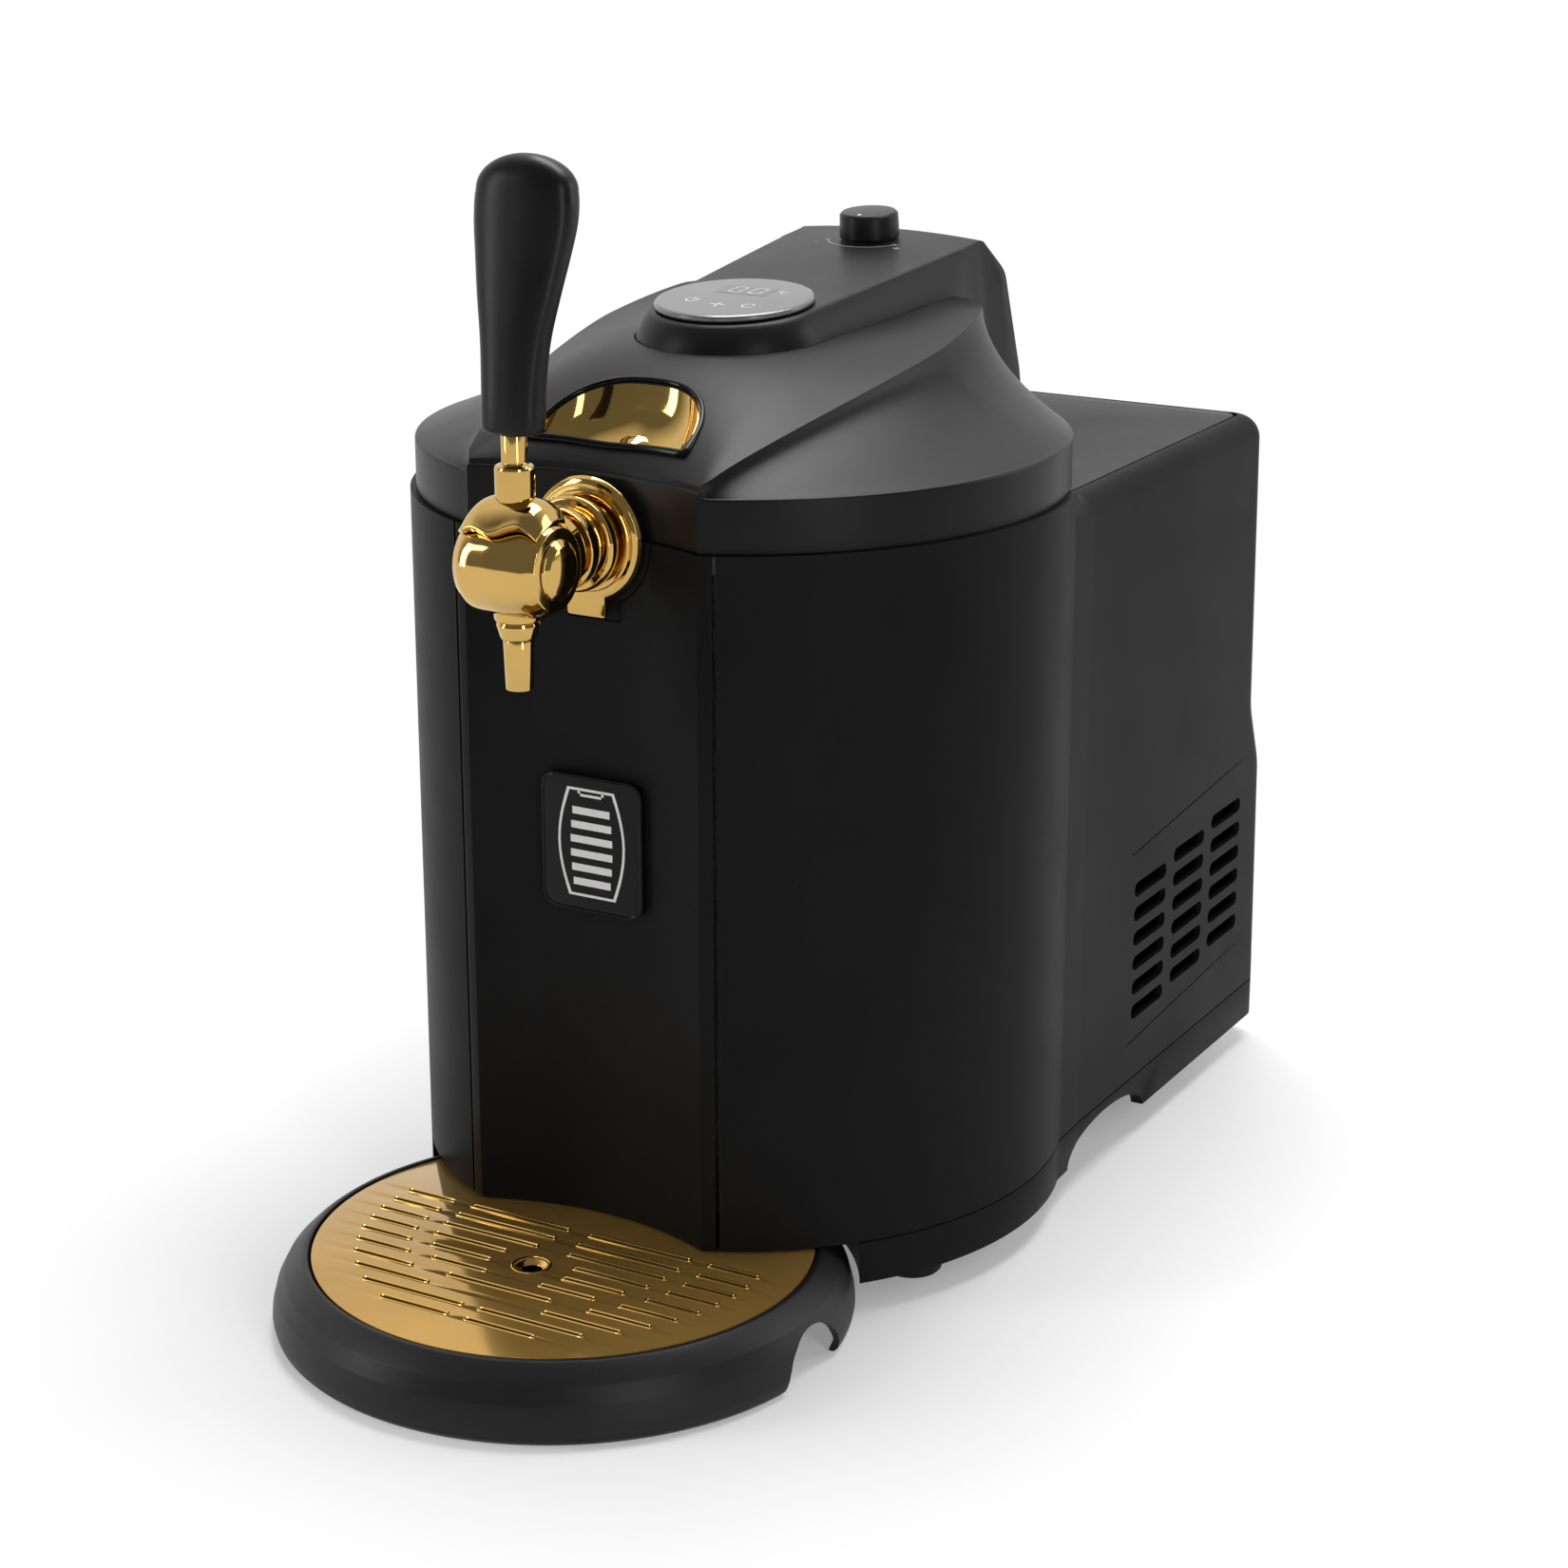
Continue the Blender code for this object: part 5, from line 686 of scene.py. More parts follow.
panel_outline = panel_line(DRUM_R, 0) + list(reversed(panel_line(DRUM_R - WALL, WALL)))
panel = slab("front_panel_skin", [panel_outline], SKIN_LOW, BODY_TOP, edge=0.0004)
slot_u = [(SHANK_HOLE, 0.330), (-SHANK_HOLE, 0.330)] + arc(0, TAP_Z, SHANK_HOLE, math.pi, FULL, 20)
panel = boole(panel, slab("shank_slot", [slot_u], FRONT_CUT, -0.104, "Y"))
keyhole_lines = [keyhole(KEYHOLE_HALF_LINE), keyhole(-KEYHOLE_HALF_LINE)]
panel = boole(panel, slab("keyhole_line", keyhole_lines, -0.140, FACE_Y + 0.0012, "Y"))
piece("front_panel_skin", panel, "housing_black", "appliance", ["front_panel"])

# Badge plate with a plain keg pictogram

BADGE_HALF, BADGE_LOW, BADGE_TOP, BADGE_ROUND, BADGE_T = 0.0225, 0.1568, 0.2110, 0.0070, 0.0026
BADGE_MID = (BADGE_LOW + BADGE_TOP) / 2
BADGE_BACK = FACE_Y - 0.0025
BADGE_FACE = BADGE_BACK - BADGE_T
KEG_TOP, KEG_LOW, KEG_WIDE, KEG_NARROW, KEG_LINE = 0.2062, 0.1628, 0.0150, 0.0092, 0.0010
TAB_HALF, TAB_LOW, TAB_TOP = 0.0058, 0.2030, 0.2055
BARS, BAR_LOW, BAR_STEP, BAR_T, BAR_HALF, BAR_BULGE = 6, 0.1672, 0.0057, 0.0029, 0.0080, 0.0014
round_box = soften(box_line(-BADGE_HALF, BADGE_HALF, BADGE_LOW, BADGE_TOP), BADGE_ROUND, 8)
badge = slab("badge_plate_body", [round_box], BADGE_FACE, BADGE_BACK, "Y", edge=0.0006, edge_n=3)
piece("badge_plate_body", badge, "gloss_black", "appliance", ["badge_plate"])
rim_line = [(x * 0.965, BADGE_FACE + 0.00005, BADGE_MID + (z - BADGE_MID) * 0.97) for x, z in round_box]
piece("badge_rim", ridges("badge_rim", [rim_line], 0.00035, "gloss_black"), "gloss_black", "appliance")


def keg_outline(grow):
    # Straight ends and bulging staves
    narrow, wide = KEG_NARROW + grow, KEG_WIDE + grow
    right = []
    for i in range(13):
        half = narrow + (wide - narrow) * math.sin(math.pi * mix(0.07, 0.93, i / 12))
        right.append((half, mix(KEG_LOW - grow, KEG_TOP + grow, i / 12)))
    return right + mirrored(right)


def badge_print(*lines):
    return slab("badge_print", lines, BADGE_FACE - 0.00012, BADGE_FACE + 0.0001, "Y")


marks = [badge_print(keg_outline(0), keg_outline(-KEG_LINE))]
marks.append(badge_print(box_line(-TAB_HALF, TAB_HALF, TAB_LOW, TAB_LOW + KEG_LINE)))
for x in (-TAB_HALF, TAB_HALF - KEG_LINE):
    marks.append(badge_print(box_line(x, x + KEG_LINE, TAB_LOW, TAB_TOP)))
for k in range(BARS):
    z = BAR_LOW + k * BAR_STEP
    half = BAR_HALF + BAR_BULGE * math.sin(math.pi * (k + 0.5) / BARS)
    marks.append(badge_print(box_line(-half, half, z, z + BAR_T)))
piece("keg_pictogram", joined(*marks), "print_white", "appliance")

# Base skirt with the tray bay, hand arches and feet

BAY_R, BASE_LOW, BASE_TOP, DECK_LOW, DECK_TOP = 0.1148, 0.0120, 0.0290, 0.0262, 0.0326
ARCH_MID, ARCH_HALF, ARCH_HIGH, BELOW = 0.0925, 0.0405, 0.0130, -0.010
FOOT_R, FOOT_TOP = 0.0120, 0.0117
base = slab("base_skirt", [body_loop(0, REACH)], BASE_LOW, BASE_TOP)
base = boole(base, slab("deck", [body_loop(WALL + 0.0005, REACH)], DECK_LOW, DECK_TOP), "UNION")
hollow = slab("base_hollow", [body_loop(2 * WALL, REACH - WALL)], BELOW, DECK_LOW + 0.0006)
hollow = boole(hollow, slab("bay_wall", [circle(BAY_R + WALL, 96, 0, TRAY_Y)], 3 * BELOW, DECK_TOP))
base = boole(base, hollow)
base = boole(base, slab("tray_bay", [circle(BAY_R, 128, 0, TRAY_Y)], BELOW, BASE_TOP + 0.0006))
arch = arc(ARCH_MID, BASE_LOW, ARCH_HALF, 0, math.pi, 40, ARCH_HIGH)
arch += [(ARCH_MID - ARCH_HALF, BELOW), (ARCH_MID + ARCH_HALF, BELOW)]
for lo, hi in ((-0.150, -0.090), (0.090, 0.150)):
    base = boole(base, slab("hand_arch", [arch], lo, hi, "X"))
piece("base_skirt", bevel(base, 0.0004, 2, 40), "housing_black", "appliance", ["base_chassis"])
foot_profile = [
    (0, FOOT_TOP), (FOOT_R, FOOT_TOP), (FOOT_R, 0.0012), (0.0108, 0),
    (0.0080, 0), (0.0068, 0.0015), (0, 0.0015)]
for sx, side in ((-1, "left"), (1, "right")):
    for (x, y), end in (((0.1000, -0.0400), "front"), ((0.0900, 0.2250), "rear")):
        foot = lathe("foot_pad", foot_profile, 48, centre=(sx * x, y, 0))
        tag = end + "_" + side
        piece("foot_pad_" + tag, foot, "rubber_black", "appliance", ["foot_" + tag])

# Rear panel with outlet slots, inlet and screws, and the cover over the cooling box

OUTLET_HALF, OUTLET_Z, OUTLET_WIDE, OUTLETS, OUTLET_STEP = 0.0380, 0.1800, 0.0050, 9, (0.0, 0.0, 0.0100)
INLET = (0.0450, 0.0750, 0.0440, 0.0680)
REAR_CUT = (0.230, 0.290)
SCREW_X, SCREW_R, SCREW_HIGH, CROSS_LONG, CROSS_HALF = 0.0900, 0.0030, 0.0016, 0.0017, 0.0003
COVER_T, COVER_IN, COVER_ROUND = 0.0025, 0.0009, 0.0075
zs = [SKIN_LOW] + WALL_LEVELS
back_line = [(rear_soft(z), z) for z in zs]
for x, z in arc(0, WALL_FLAT, EDGE_R, 0, Q, 12)[1:]:
    back_line.append((rear_soft(z) - EDGE_R + x, z))
inner_edge = arc(rear_soft(COVER_TOP) - EDGE_R, WALL_FLAT, EDGE_R - WALL, 0, Q, 12)[1:]
back_line += list(reversed(inner_edge)) + [(rear_soft(z) - WALL, z) for z in reversed(zs)]
back = slab("rear_wall", [back_line], -PANEL_HALF, PANEL_HALF, "X")
outlet = slab("outlet_slot", [capsule(-OUTLET_HALF, OUTLET_HALF, OUTLET_Z, OUTLET_WIDE)], *REAR_CUT, "Y")
back = boole(back, repeated(outlet, "deep_shade", OUTLETS, OUTLET_STEP))
back = boole(back, slab("inlet_hole", [soften(box_line(*INLET), 0.0012, 4)], *REAR_CUT, "Y"))
piece("rear_wall", back, "housing_black", "appliance", ["rear_panel"])
screw_profile = [(0, SCREW_HIGH), (0.0022, SCREW_HIGH), (SCREW_R, 0.0008), (SCREW_R, 0), (0, 0)]
screw = lathe("cross_screw", screw_profile, 40, "Y", (-SCREW_X, 0, 0))
for dx, dz in ((CROSS_LONG, CROSS_HALF), (CROSS_HALF, CROSS_LONG)):
    bar = box_line(-SCREW_X - dx, -SCREW_X + dx, -dz, dz)
    screw = boole(screw, slab("cross", [bar], SCREW_HIGH / 2, 0.0050, "Y"))
for z, end in ((0.0400, "low"), (0.2800, "high")):
    row = repeated(screw, "steel", 2, (2 * SCREW_X, 0.0, 0.0))
    row.transform(Matrix.Translation((0, rear_soft(z), z)))
    held_screws = ["rear_screw_" + end + "_left", "rear_screw_" + end + "_right"]
    piece("rear_screws_" + end, row, "steel", "appliance", held_screws)
cover_r = DRUM_R - WALL + 0.0003
cover_x0, cover_x1 = BOX_F - EDGE_R - COVER_IN, BOX_R - EDGE_R - COVER_IN - COVER_ROUND
cover_y = REAR_TOP_Y - EDGE_R - COVER_IN - COVER_ROUND
spread_a = math.asin(cover_x0 / cover_r)
corner = arc(cover_x1, cover_y, COVER_ROUND, 0, Q, 8)
cover = arc(0, 0, cover_r, Q - spread_a, Q + spread_a, 64)
cover += [(-x, y) for x, y in corner] + list(reversed(corner))
cover = slab("rear_cover", [cover], COVER_TOP - COVER_T, COVER_TOP, edge=0.0005)
piece("rear_cover", cover, "lid_black", "appliance", ["rear_top_cover"])

# Drip tray and its mirror plate with raised slot rims

TRAY_PROFILE = [
    (0, 0.0062), (0.0915, 0.0062), (0.0938, 0.0085), (0.0955, 0.0260), (0.0984, 0.0260),
    (0.0987, 0.0288), (0.1006, 0.0288), (0.1040, 0.0262), (0.1080, 0.0222), (0.1112, 0.0160),
    (0.1129, 0.0095), (TRAY_R, 0.0058), (0.1124, 0.0022), (0.1104, 0), (0.1080, 0),
    (0.1106, 0.0060), (0.1090, 0.0140), (0.1018, 0.0238), (0.0972, 0.0236), (0.0945, 0.0040),
    (0, 0.0040)]
NOTCH_R, NOTCH_HIGH = 0.0200, 0.0195
SLOT_Y, SLOT_PITCH, SLOT_WIDE, MIDDLE_ROW, MIDDLE_HALF = 0.0105, 0.0093, 0.0026, 6, 0.0235
SLOT_ROWS = (
    ((0.0045, 0.0508), (0.0589, 0.0812)), ((0.0050, 0.0515), (0.0595, 0.0820)),
    ((0.0070, 0.0510), (0.0590, 0.0816)), ((0.0155, 0.0490), (0.0573, 0.0798)),
    ((0.0165, 0.0442), (0.0538, 0.0774)), ((0.0120, 0.0370), (0.0478, 0.0730)),
    ((0.0398, 0.0675),), ((0.0258, 0.0600),), ((0.0035, 0.0495),), ((0.0038, 0.0345),))
PLATE_R, PLATE_LOW, PLATE_Z, DRAIN_Y, DRAIN_R = 0.0976, 0.0263, 0.0284, -0.0230, 0.0062
tray = lathe("tray_body", TRAY_PROFILE, 160, centre=(0, TRAY_Y, 0), r=0.0030, n=4)
notch = arc(TRAY_Y, 0, NOTCH_R, 0, math.pi, 24, NOTCH_HIGH)
notch += [(TRAY_Y - NOTCH_R, BELOW), (TRAY_Y + NOTCH_R, BELOW)]
for lo, hi in ((-0.130, -0.0990), (0.0990, 0.130)):
    tray = boole(tray, slab("tray_arch", [notch], lo, hi, "X"))
piece("tray_body", tray, "tray_black", "drip_tray", ["drip_tray"])
slots = []
for row, spans in enumerate(SLOT_ROWS):
    for x0, x1 in spans:
        y = SLOT_Y - row * SLOT_PITCH
        slots += [capsule(x0, x1, y, SLOT_WIDE), capsule(-x1, -x0, y, SLOT_WIDE)]
slots.append(capsule(-MIDDLE_HALF, MIDDLE_HALF, SLOT_Y - MIDDLE_ROW * SLOT_PITCH, SLOT_WIDE))
plate_lines = [circle(PLATE_R, 192)] + slots + [circle(DRAIN_R, 40, 0, DRAIN_Y)]
plate = slab("mirror_plate", plate_lines, PLATE_LOW, PLATE_Z, edge=0.0003)
plate.transform(Matrix.Translation((0, TRAY_Y, 0)))
piece("mirror_plate", plate, "plate_gold", "drip_tray", ["drip_grille"])
rim_lines = [[(x, y + TRAY_Y, PLATE_Z - 0.0001) for x, y in line] for line in slots]
piece("slot_rims", ridges("slot_rims", rim_lines, 0.00045, "rim_gold"), "rim_gold", "drip_tray")
dish_profile = [
    (0.0040, -0.0020), (DRAIN_R, -0.0004), (0.0074, 0.0003), (0.0080, 0.0), (DRAIN_R, -0.0012),
    (0.0046, -0.0022)]
dish = lathe("drain_dish", dish_profile, 64, centre=(0, TRAY_Y + DRAIN_Y, PLATE_Z), r=0.0004)
piece("drain_dish", dish, "rim_gold", "drip_tray")

# Tap: flange, shank, nut, barrel, caps, spout

FLANGE_BACK = FACE_Y - 0.0030
FLANGE_PROFILE = [
    (0.0093, 0), (0.0093, 0.0043), (0.0160, 0.0043), (0.0193, 0.0042), (0.0197, 0.0036),
    (0.0212, 0.0036), (0.0228, 0.0028), (0.0237, 0.0012), (0.0237, 0)]
SHANK_FRONT, SHANK_TAIL = FACE_Y - 0.0287, FACE_Y + 0.0126
SHANK_LONG = SHANK_TAIL - SHANK_FRONT
SHANK_PROFILE = [
    (0, 0), (0.0130, 0), (0.0130, 0.0030), (0.0158, 0.0036), (0.0158, 0.0086), (0.0137, 0.0092),
    (0.0137, 0.0120), (0.0172, 0.0124), (0.0182, 0.0140), (0.0182, 0.0170), (0.0172, 0.0186),
    (0.0140, 0.0190), (0.0140, 0.0211), (0.0090, 0.0211), (0.0090, 0.0370), (0.0050, 0.0372),
    (0.0050, SHANK_LONG), (0, SHANK_LONG)]
BARREL_HALF, NECK_R = 0.0176, 0.0154
BARREL = ((0.0140, 0.0176), (0.0159, 0.0168), (0.0175, 0.0152), (0.0185, 0.0110), (0.0190, 0.0))
DROP_PROFILE = [
    (0, 0.2834), (0.0086, 0.2834), (0.0088, 0.2850), (0.0088, 0.2890), (0.0104, 0.2925),
    (0, 0.2960)]
CAP_X = 0.0179
CAP_PROFILE = [
    (0, 0.0034), (0.0050, 0.0031), (0.0088, 0.0022), (0.0109, 0.0009), (0.0113, 0.0002),
    (0.0113, 0), (0, 0)]
BEER_WAY, COLLAR_TOP, SPOUT_TOP = 0.0019, 0.2831, 0.2762
COLLAR_PROFILE = [
    (BEER_WAY, 0), (BEER_WAY, -0.0066), (0.0064, -0.0066), (0.0068, -0.0056), (0.0080, -0.0014),
    (0.0076, 0)]
SPOUT_PROFILE = [
    (BEER_WAY, 0), (BEER_WAY, -0.0110), (0.0040, -0.0178), (0.0042, -0.0187), (0.0051, -0.0187),
    (0.0057, 0)]


def gold(name, me, body, node, sharp=38):
    return piece(name, me, "tap_gold", body, [node], sharp)


def barrel_r(x):
    x = min(abs(x), BARREL_HALF)
    for (r0, x0), (r1, x1) in zip(BARREL, BARREL[1:]):
        if x1 <= x <= x0:
            return mix(r1, r0, (x - x1) / (x0 - x1))
    return BARREL[-1][0]


def barrel_soft(x):
    return sum(barrel_r(x + d * 0.0008) for d in range(-3, 4)) / 7


flange = lathe("wall_flange", FLANGE_PROFILE, 128, "-Y", (0, FLANGE_BACK, TAP_Z))
tab = [soften(box_line(-0.0082, 0.0082, 0.2745, TAP_Z - 0.0102), 0.0012, 3)]
tab = slab("flange_tab", tab, FLANGE_BACK - 0.0030, FLANGE_BACK, "Y", edge=0.0004)
gold("wall_flange", boole(flange, tab, "UNION"), "appliance", "tap_flange", 30)
shank = lathe("tap_shank_body", SHANK_PROFILE, 96, "Y", (0, SHANK_FRONT, TAP_Z), r=0.0008, n=3)
gold("tap_shank_body", shank, "appliance", "tap_shank", 30)
across = [mix(-BARREL_HALF, BARREL_HALF, i / 48) for i in range(49)]
profile = [(0, -BARREL_HALF)] + [(barrel_soft(x), x) for x in across] + [(0, BARREL_HALF)]
barrel = lathe("tap_barrel", profile, 128, "X", (0, TAP_Y, TAP_Z), r=0.0006)
neck = slab("neck", [circle(NECK_R, 96, 0, TAP_Z)], TAP_Y, SHANK_FRONT - 0.0003, "Y")
drop = lathe("drop", DROP_PROFILE, 96, centre=(0, TAP_Y, 0), r=0.0008)
gold("tap_barrel", boole(boole(barrel, neck, "UNION"), drop, "UNION"), "appliance", "tap_body", 40)
for x, way, side in ((-CAP_X, "-X", "left"), (CAP_X, "X", "right")):
    cap = lathe("end_cap", CAP_PROFILE, 96, way, (x, TAP_Y, TAP_Z), r=0.0008, n=4)
    gold("end_cap_" + side, cap, "appliance", "tap_end_cap_" + side)
ring = lathe("spout_ring", COLLAR_PROFILE, 96, centre=(0, TAP_Y, COLLAR_TOP))
gold("spout_ring", ring, "appliance", "spout_collar")
spout = lathe("spout_tube", SPOUT_PROFILE, 96, centre=(0, TAP_Y, SPOUT_TOP), r=0.0003)
gold("spout_tube", spout, "appliance", "spout")

# Lever: wavy saddle over the barrel, round stem and the grip

HOOD_HALF, HOOD_GAP, HOOD_WALL, HOOD_THINNING = 0.0166, 0.0008, 0.0018, 0.0008
HOOD_DOME, HOOD_LIP = 0.0040, 0.0004
# Degrees from the top to the hood's front and rear lips, at places in mm across it
HOOD_FRONT = (
    (-16.6, 44), (-12.9, 47), (-9.2, 45), (-5.5, 47), (-1.8, 50), (1.8, 48), (5.5, 42), (9.2, 38),
    (12.9, 40), (16.6, 44))
HOOD_REAR = ((-16.6, 24), (-9.2, 28), (0, 28), (9.2, 28), (16.6, 24))
STEM_PROFILE = [
    (0, 0.0200), (0.0073, 0.0200), (0.0073, 0.0354), (0.0070, 0.0362), (0.0064, 0.0366), (0.0052, 0.0368),
    (0.0047, 0.0376), (0.0047, 0.0477), (0, 0.0477)]
# Height over the grip's foot, half width, half depth and how far it leans back
GRIP = (
    (0.0000, 0.0110, 0.0072, 0.0000), (0.0012, 0.0119, 0.0080, 0.0000), (0.0150, 0.0121, 0.0078, 0.0006),
    (0.0320, 0.0134, 0.0077, 0.0024), (0.0480, 0.0162, 0.0080, 0.0052), (0.0620, 0.0186, 0.0088, 0.0084),
    (0.0740, 0.0202, 0.0096, 0.0108), (0.0840, 0.0198, 0.0096, 0.0120), (0.0905, 0.0172, 0.0084, 0.0124),
    (0.0948, 0.0126, 0.0062, 0.0124), (0.0966, 0.0070, 0.0036, 0.0124))
GRIP_FOOT, GRIP_SHOULDER, GRIP_HIGH, CROWN_HIGH, GRIP_POWER = 0.0484, 0.0840, 0.0966, 0.0127, 2 / 2.6
SHOULDER_WIDE, SHOULDER_DEEP = 0.0198, 0.0096


def smooth_through(pts, x):
    # Catmull curve through (place, value) pairs
    if x <= pts[0][0]:
        return pts[0][1]
    for i in range(len(pts) - 1):
        if x <= pts[i + 1][0]:
            p1, p2 = pts[i], pts[i + 1]
            p0, p3 = pts[max(i - 1, 0)], pts[min(i + 2, len(pts) - 1)]
            t = (x - p1[0]) / (p2[0] - p1[0])
            m1 = (p2[1] - p0[1]) / (p2[0] - p0[0]) * (p2[0] - p1[0])
            m2 = (p3[1] - p1[1]) / (p3[0] - p1[0]) * (p2[0] - p1[0])
            h = t * t
            rise = (2 * h * t - 3 * h + 1) * p1[1] + (3 * h - 2 * h * t) * p2[1]
            return rise + (h * t - 2 * h + t) * m1 + (h * t - h) * m2
    return pts[-1][1]


def hood_ring(x):
    # Outer line from the front lip over the top to the rear lip, and the inner line back
    front, rear = rad(smooth_through(HOOD_FRONT, x * 1000)), rad(smooth_through(HOOD_REAR, x * 1000))
    u = x / HOOD_HALF
    wall = HOOD_WALL - HOOD_THINNING * u ** 4
    inner_r = barrel_soft(x) + HOOD_GAP
    turns = [mix(-front, rear, j / 40) for j in range(41)]
    ring = []
    for t in turns:
        lip = HOOD_LIP * math.exp(-((t + front) / 0.07) ** 2)
        r = inner_r + wall + lip + HOOD_DOME * (1 - u ** 4) * math.cos(t) ** 3
        ring.append((x, r * math.sin(t), r * math.cos(t)))
    return ring + [(x, inner_r * math.sin(t), inner_r * math.cos(t)) for t in reversed(turns)]


def grip_ring(h):
    wide, deep, lean = [smooth_through([(g[0], g[k]) for g in GRIP], h) for k in (1, 2, 3)]
    if h > GRIP_SHOULDER:
        k = max(math.sqrt(max(0.0, 1 - ((h - GRIP_SHOULDER) / CROWN_HIGH) ** 2)), 0.10)
        wide, deep = SHOULDER_WIDE * k, SHOULDER_DEEP * k
    ring = []
    for i in range(96):
        c, sn = math.cos(FULL * i / 96), math.sin(FULL * i / 96)
        x = wide * math.copysign(abs(c) ** GRIP_POWER, c)
        y = deep * math.copysign(abs(sn) ** GRIP_POWER, sn)
        ring.append((x, TAP_Y + lean + y, TAP_Z + GRIP_FOOT + h))
    return ring


hood = loft("lever_saddle", [hood_ring(mix(-HOOD_HALF, HOOD_HALF, i / 72)) for i in range(73)], cap=True)
hood = bevel(hood, 0.0005, 3, 50)
hood.transform(Matrix.Translation((0, TAP_Y, TAP_Z)))
gold("lever_saddle", hood, "tap_lever", "lever_hood", 50)
stem = lathe("lever_stem_body", STEM_PROFILE, 72, centre=(0, TAP_Y, TAP_Z), n=3)
gold("lever_stem_body", stem, "tap_lever", "lever_stem", 60)
heights = [0.0, 0.0003, 0.0008, 0.0014] + [mix(0.0022, GRIP_SHOULDER, i / 36) for i in range(37)]
heights += [mix(GRIP_SHOULDER, GRIP_HIGH, math.sin(Q * i / 16)) for i in range(1, 17)]
grip = loft("grip_body", [grip_ring(h) for h in heights], cap=True)
piece("grip_body", grip, "grip_black", "tap_lever", ["handle_grip"], sharp=50)

# Lid dome: middle panel, crease and the hollow flank round it

CREASE_ARC, CREASE_WIDE, CREASE_MID = 0.3029, 0.0780, 0.0050
CREASE_REAR, CREASE_SOFT, CREASE_DRAW, CREASE_DRAW_Y = 0.1050, 0.0050, 0.0039, 0.0200
PANEL_RISE, RISE_POWER, PANEL_REAR_Y = 0.0401, 0.66, 0.0700
PANEL_CROWN, CROWN_SHIFT, CROWN_POWER = 0.0145, 0.73, 1.5
LID_EDGE, LID_WALL, NOTCH, MOUTH_LOW = 0.0012, 0.0026, 0.0172, 0.285
SKIN_COVES = (0, 0.03, 0.08, 0.16, 0.26, 0.36, 0.46, 0.56, 0.66, 0.75, 0.83, 0.89, 0.935, 0.965, 0.985,
    0.996)
SKIN_PANELS = (0.9985, 0.994, 0.985, 0.95, 0.9, 0.84, 0.77, 0.7, 0.62, 0.54, 0.46, 0.38, 0.3, 0.22, 0.14,
    0.06)
UNDER_COVES, UNDER_PANELS = (0.05, 0.26, 0.5, 0.75, 0.92), (0.99, 0.9, 0.75, 0.55, 0.35, 0.15)


def crease_half(y):
    # Half width of the middle panel: a long arc, drawn in a little between the corner and the middle
    front = -LID_R * math.cos(CORNER)
    draw = CREASE_DRAW * math.sin(math.pi * clamp((y - front) / (CREASE_DRAW_Y - front)))
    return math.sqrt(CREASE_ARC ** 2 - (y - CREASE_MID) ** 2) - (CREASE_ARC - CREASE_WIDE) - draw


def panel_z(x, y):
    y0 = face_y(LID_R, min(abs(x), LID_R * math.sin(CORNER)))
    s = clamp((y - y0) / (PANEL_REAR_Y - y0))
    u = min(1.0, abs(x) / crease_half(max(-LID_R, y)))
    crown = math.sin(math.pi * s ** CROWN_SHIFT) ** CROWN_POWER * (1 - u * u)
    return FRONT_Z + PANEL_RISE * s ** RISE_POWER + PANEL_CROWN * crown


def crease_radius(b):
    # Distance of the crease from the drum's axis at an angle from the front; it rounds off behind
    lo, hi = 0.0, LID_R
    for _ in range(40):
        m = (lo + hi) / 2
        if m * math.sin(b) < crease_half(-m * math.cos(b)):
            lo = m
        else:
            hi = m
    if b < Q:
        return lo
    k = CREASE_SOFT
    return -k * math.log(math.exp(-lo / k) + math.exp(-CREASE_REAR / k))


def cove(t):
    return 1 - (1 - clamp(t) ** 0.93) ** 0.55


def dome_z(x, y):
    r = math.hypot(x, y)
    b = math.atan2(abs(x), -y)
    if r < 0.0003 or b <= CORNER:
        return panel_z(x, y)
    rc = crease_radius(b)
    if r <= rc:
        return panel_z(x, y)
    zc = panel_z(rc * math.sin(b), -rc * math.cos(b))
    return mix(BAND_TOP, zc, cove((LID_R - LID_EDGE - r) / (LID_R - LID_EDGE - rc)))


def lid_plan(inset):
    # Outline of the lid as (is front, x, y, angle from the front)
    cx, cy = front_corner(LID_R, inset)
    r = LID_R - inset
    plan = [(True, x, face_y(LID_R, x, inset), 0) for x in [mix(-cx, cx, i / 48) for i in range(49)]]
    turns = [mix(math.atan2(cx, -cy), math.pi, (i / 90) ** 1.12) for i in range(1, 91)]
    plan += [(False, r * math.sin(a), -r * math.cos(a), a) for a in turns]
    return plan + [(False, -r * math.sin(a), -r * math.cos(a), a) for a in reversed(turns[:-1])]


def rim_ring(plan, q, drop):
    # The rounded edge over the band
    back = LID_EDGE * (1 - math.cos(q))
    line = []
    for front, x, y, a in plan:
        top = FRONT_Z if front else mix(FRONT_Z, BAND_TOP, clamp((a - CORNER) / rad(1.2)))
        out = Vector((0, -1)) if front else Vector((x, y)).normalized()
        line.append((x - out.x * back, y - out.y * back, top - drop - LID_EDGE + LID_EDGE * math.sin(q)))
    return line


def cove_ring(plan, t, inset, drop):
    # A line over the flank, t from the rim to the crease
    full_r = LID_R - inset
    line = []
    for front, x, y, a in plan:
        if front:
            line.append((x, y + LID_EDGE * (0.7 + 0.5 * t), FRONT_Z - 0.00012 + 0.0001 * t - drop))
            continue
        crease = min(crease_radius(a), LID_R - 2 * LID_EDGE)
        k = mix(full_r - LID_EDGE, crease - inset, t) / full_r
        zc = panel_z(crease * math.sin(a), -crease * math.cos(a))
        line.append((x * k, y * k, mix(BAND_TOP, zc, cove(t)) - drop))
    return line


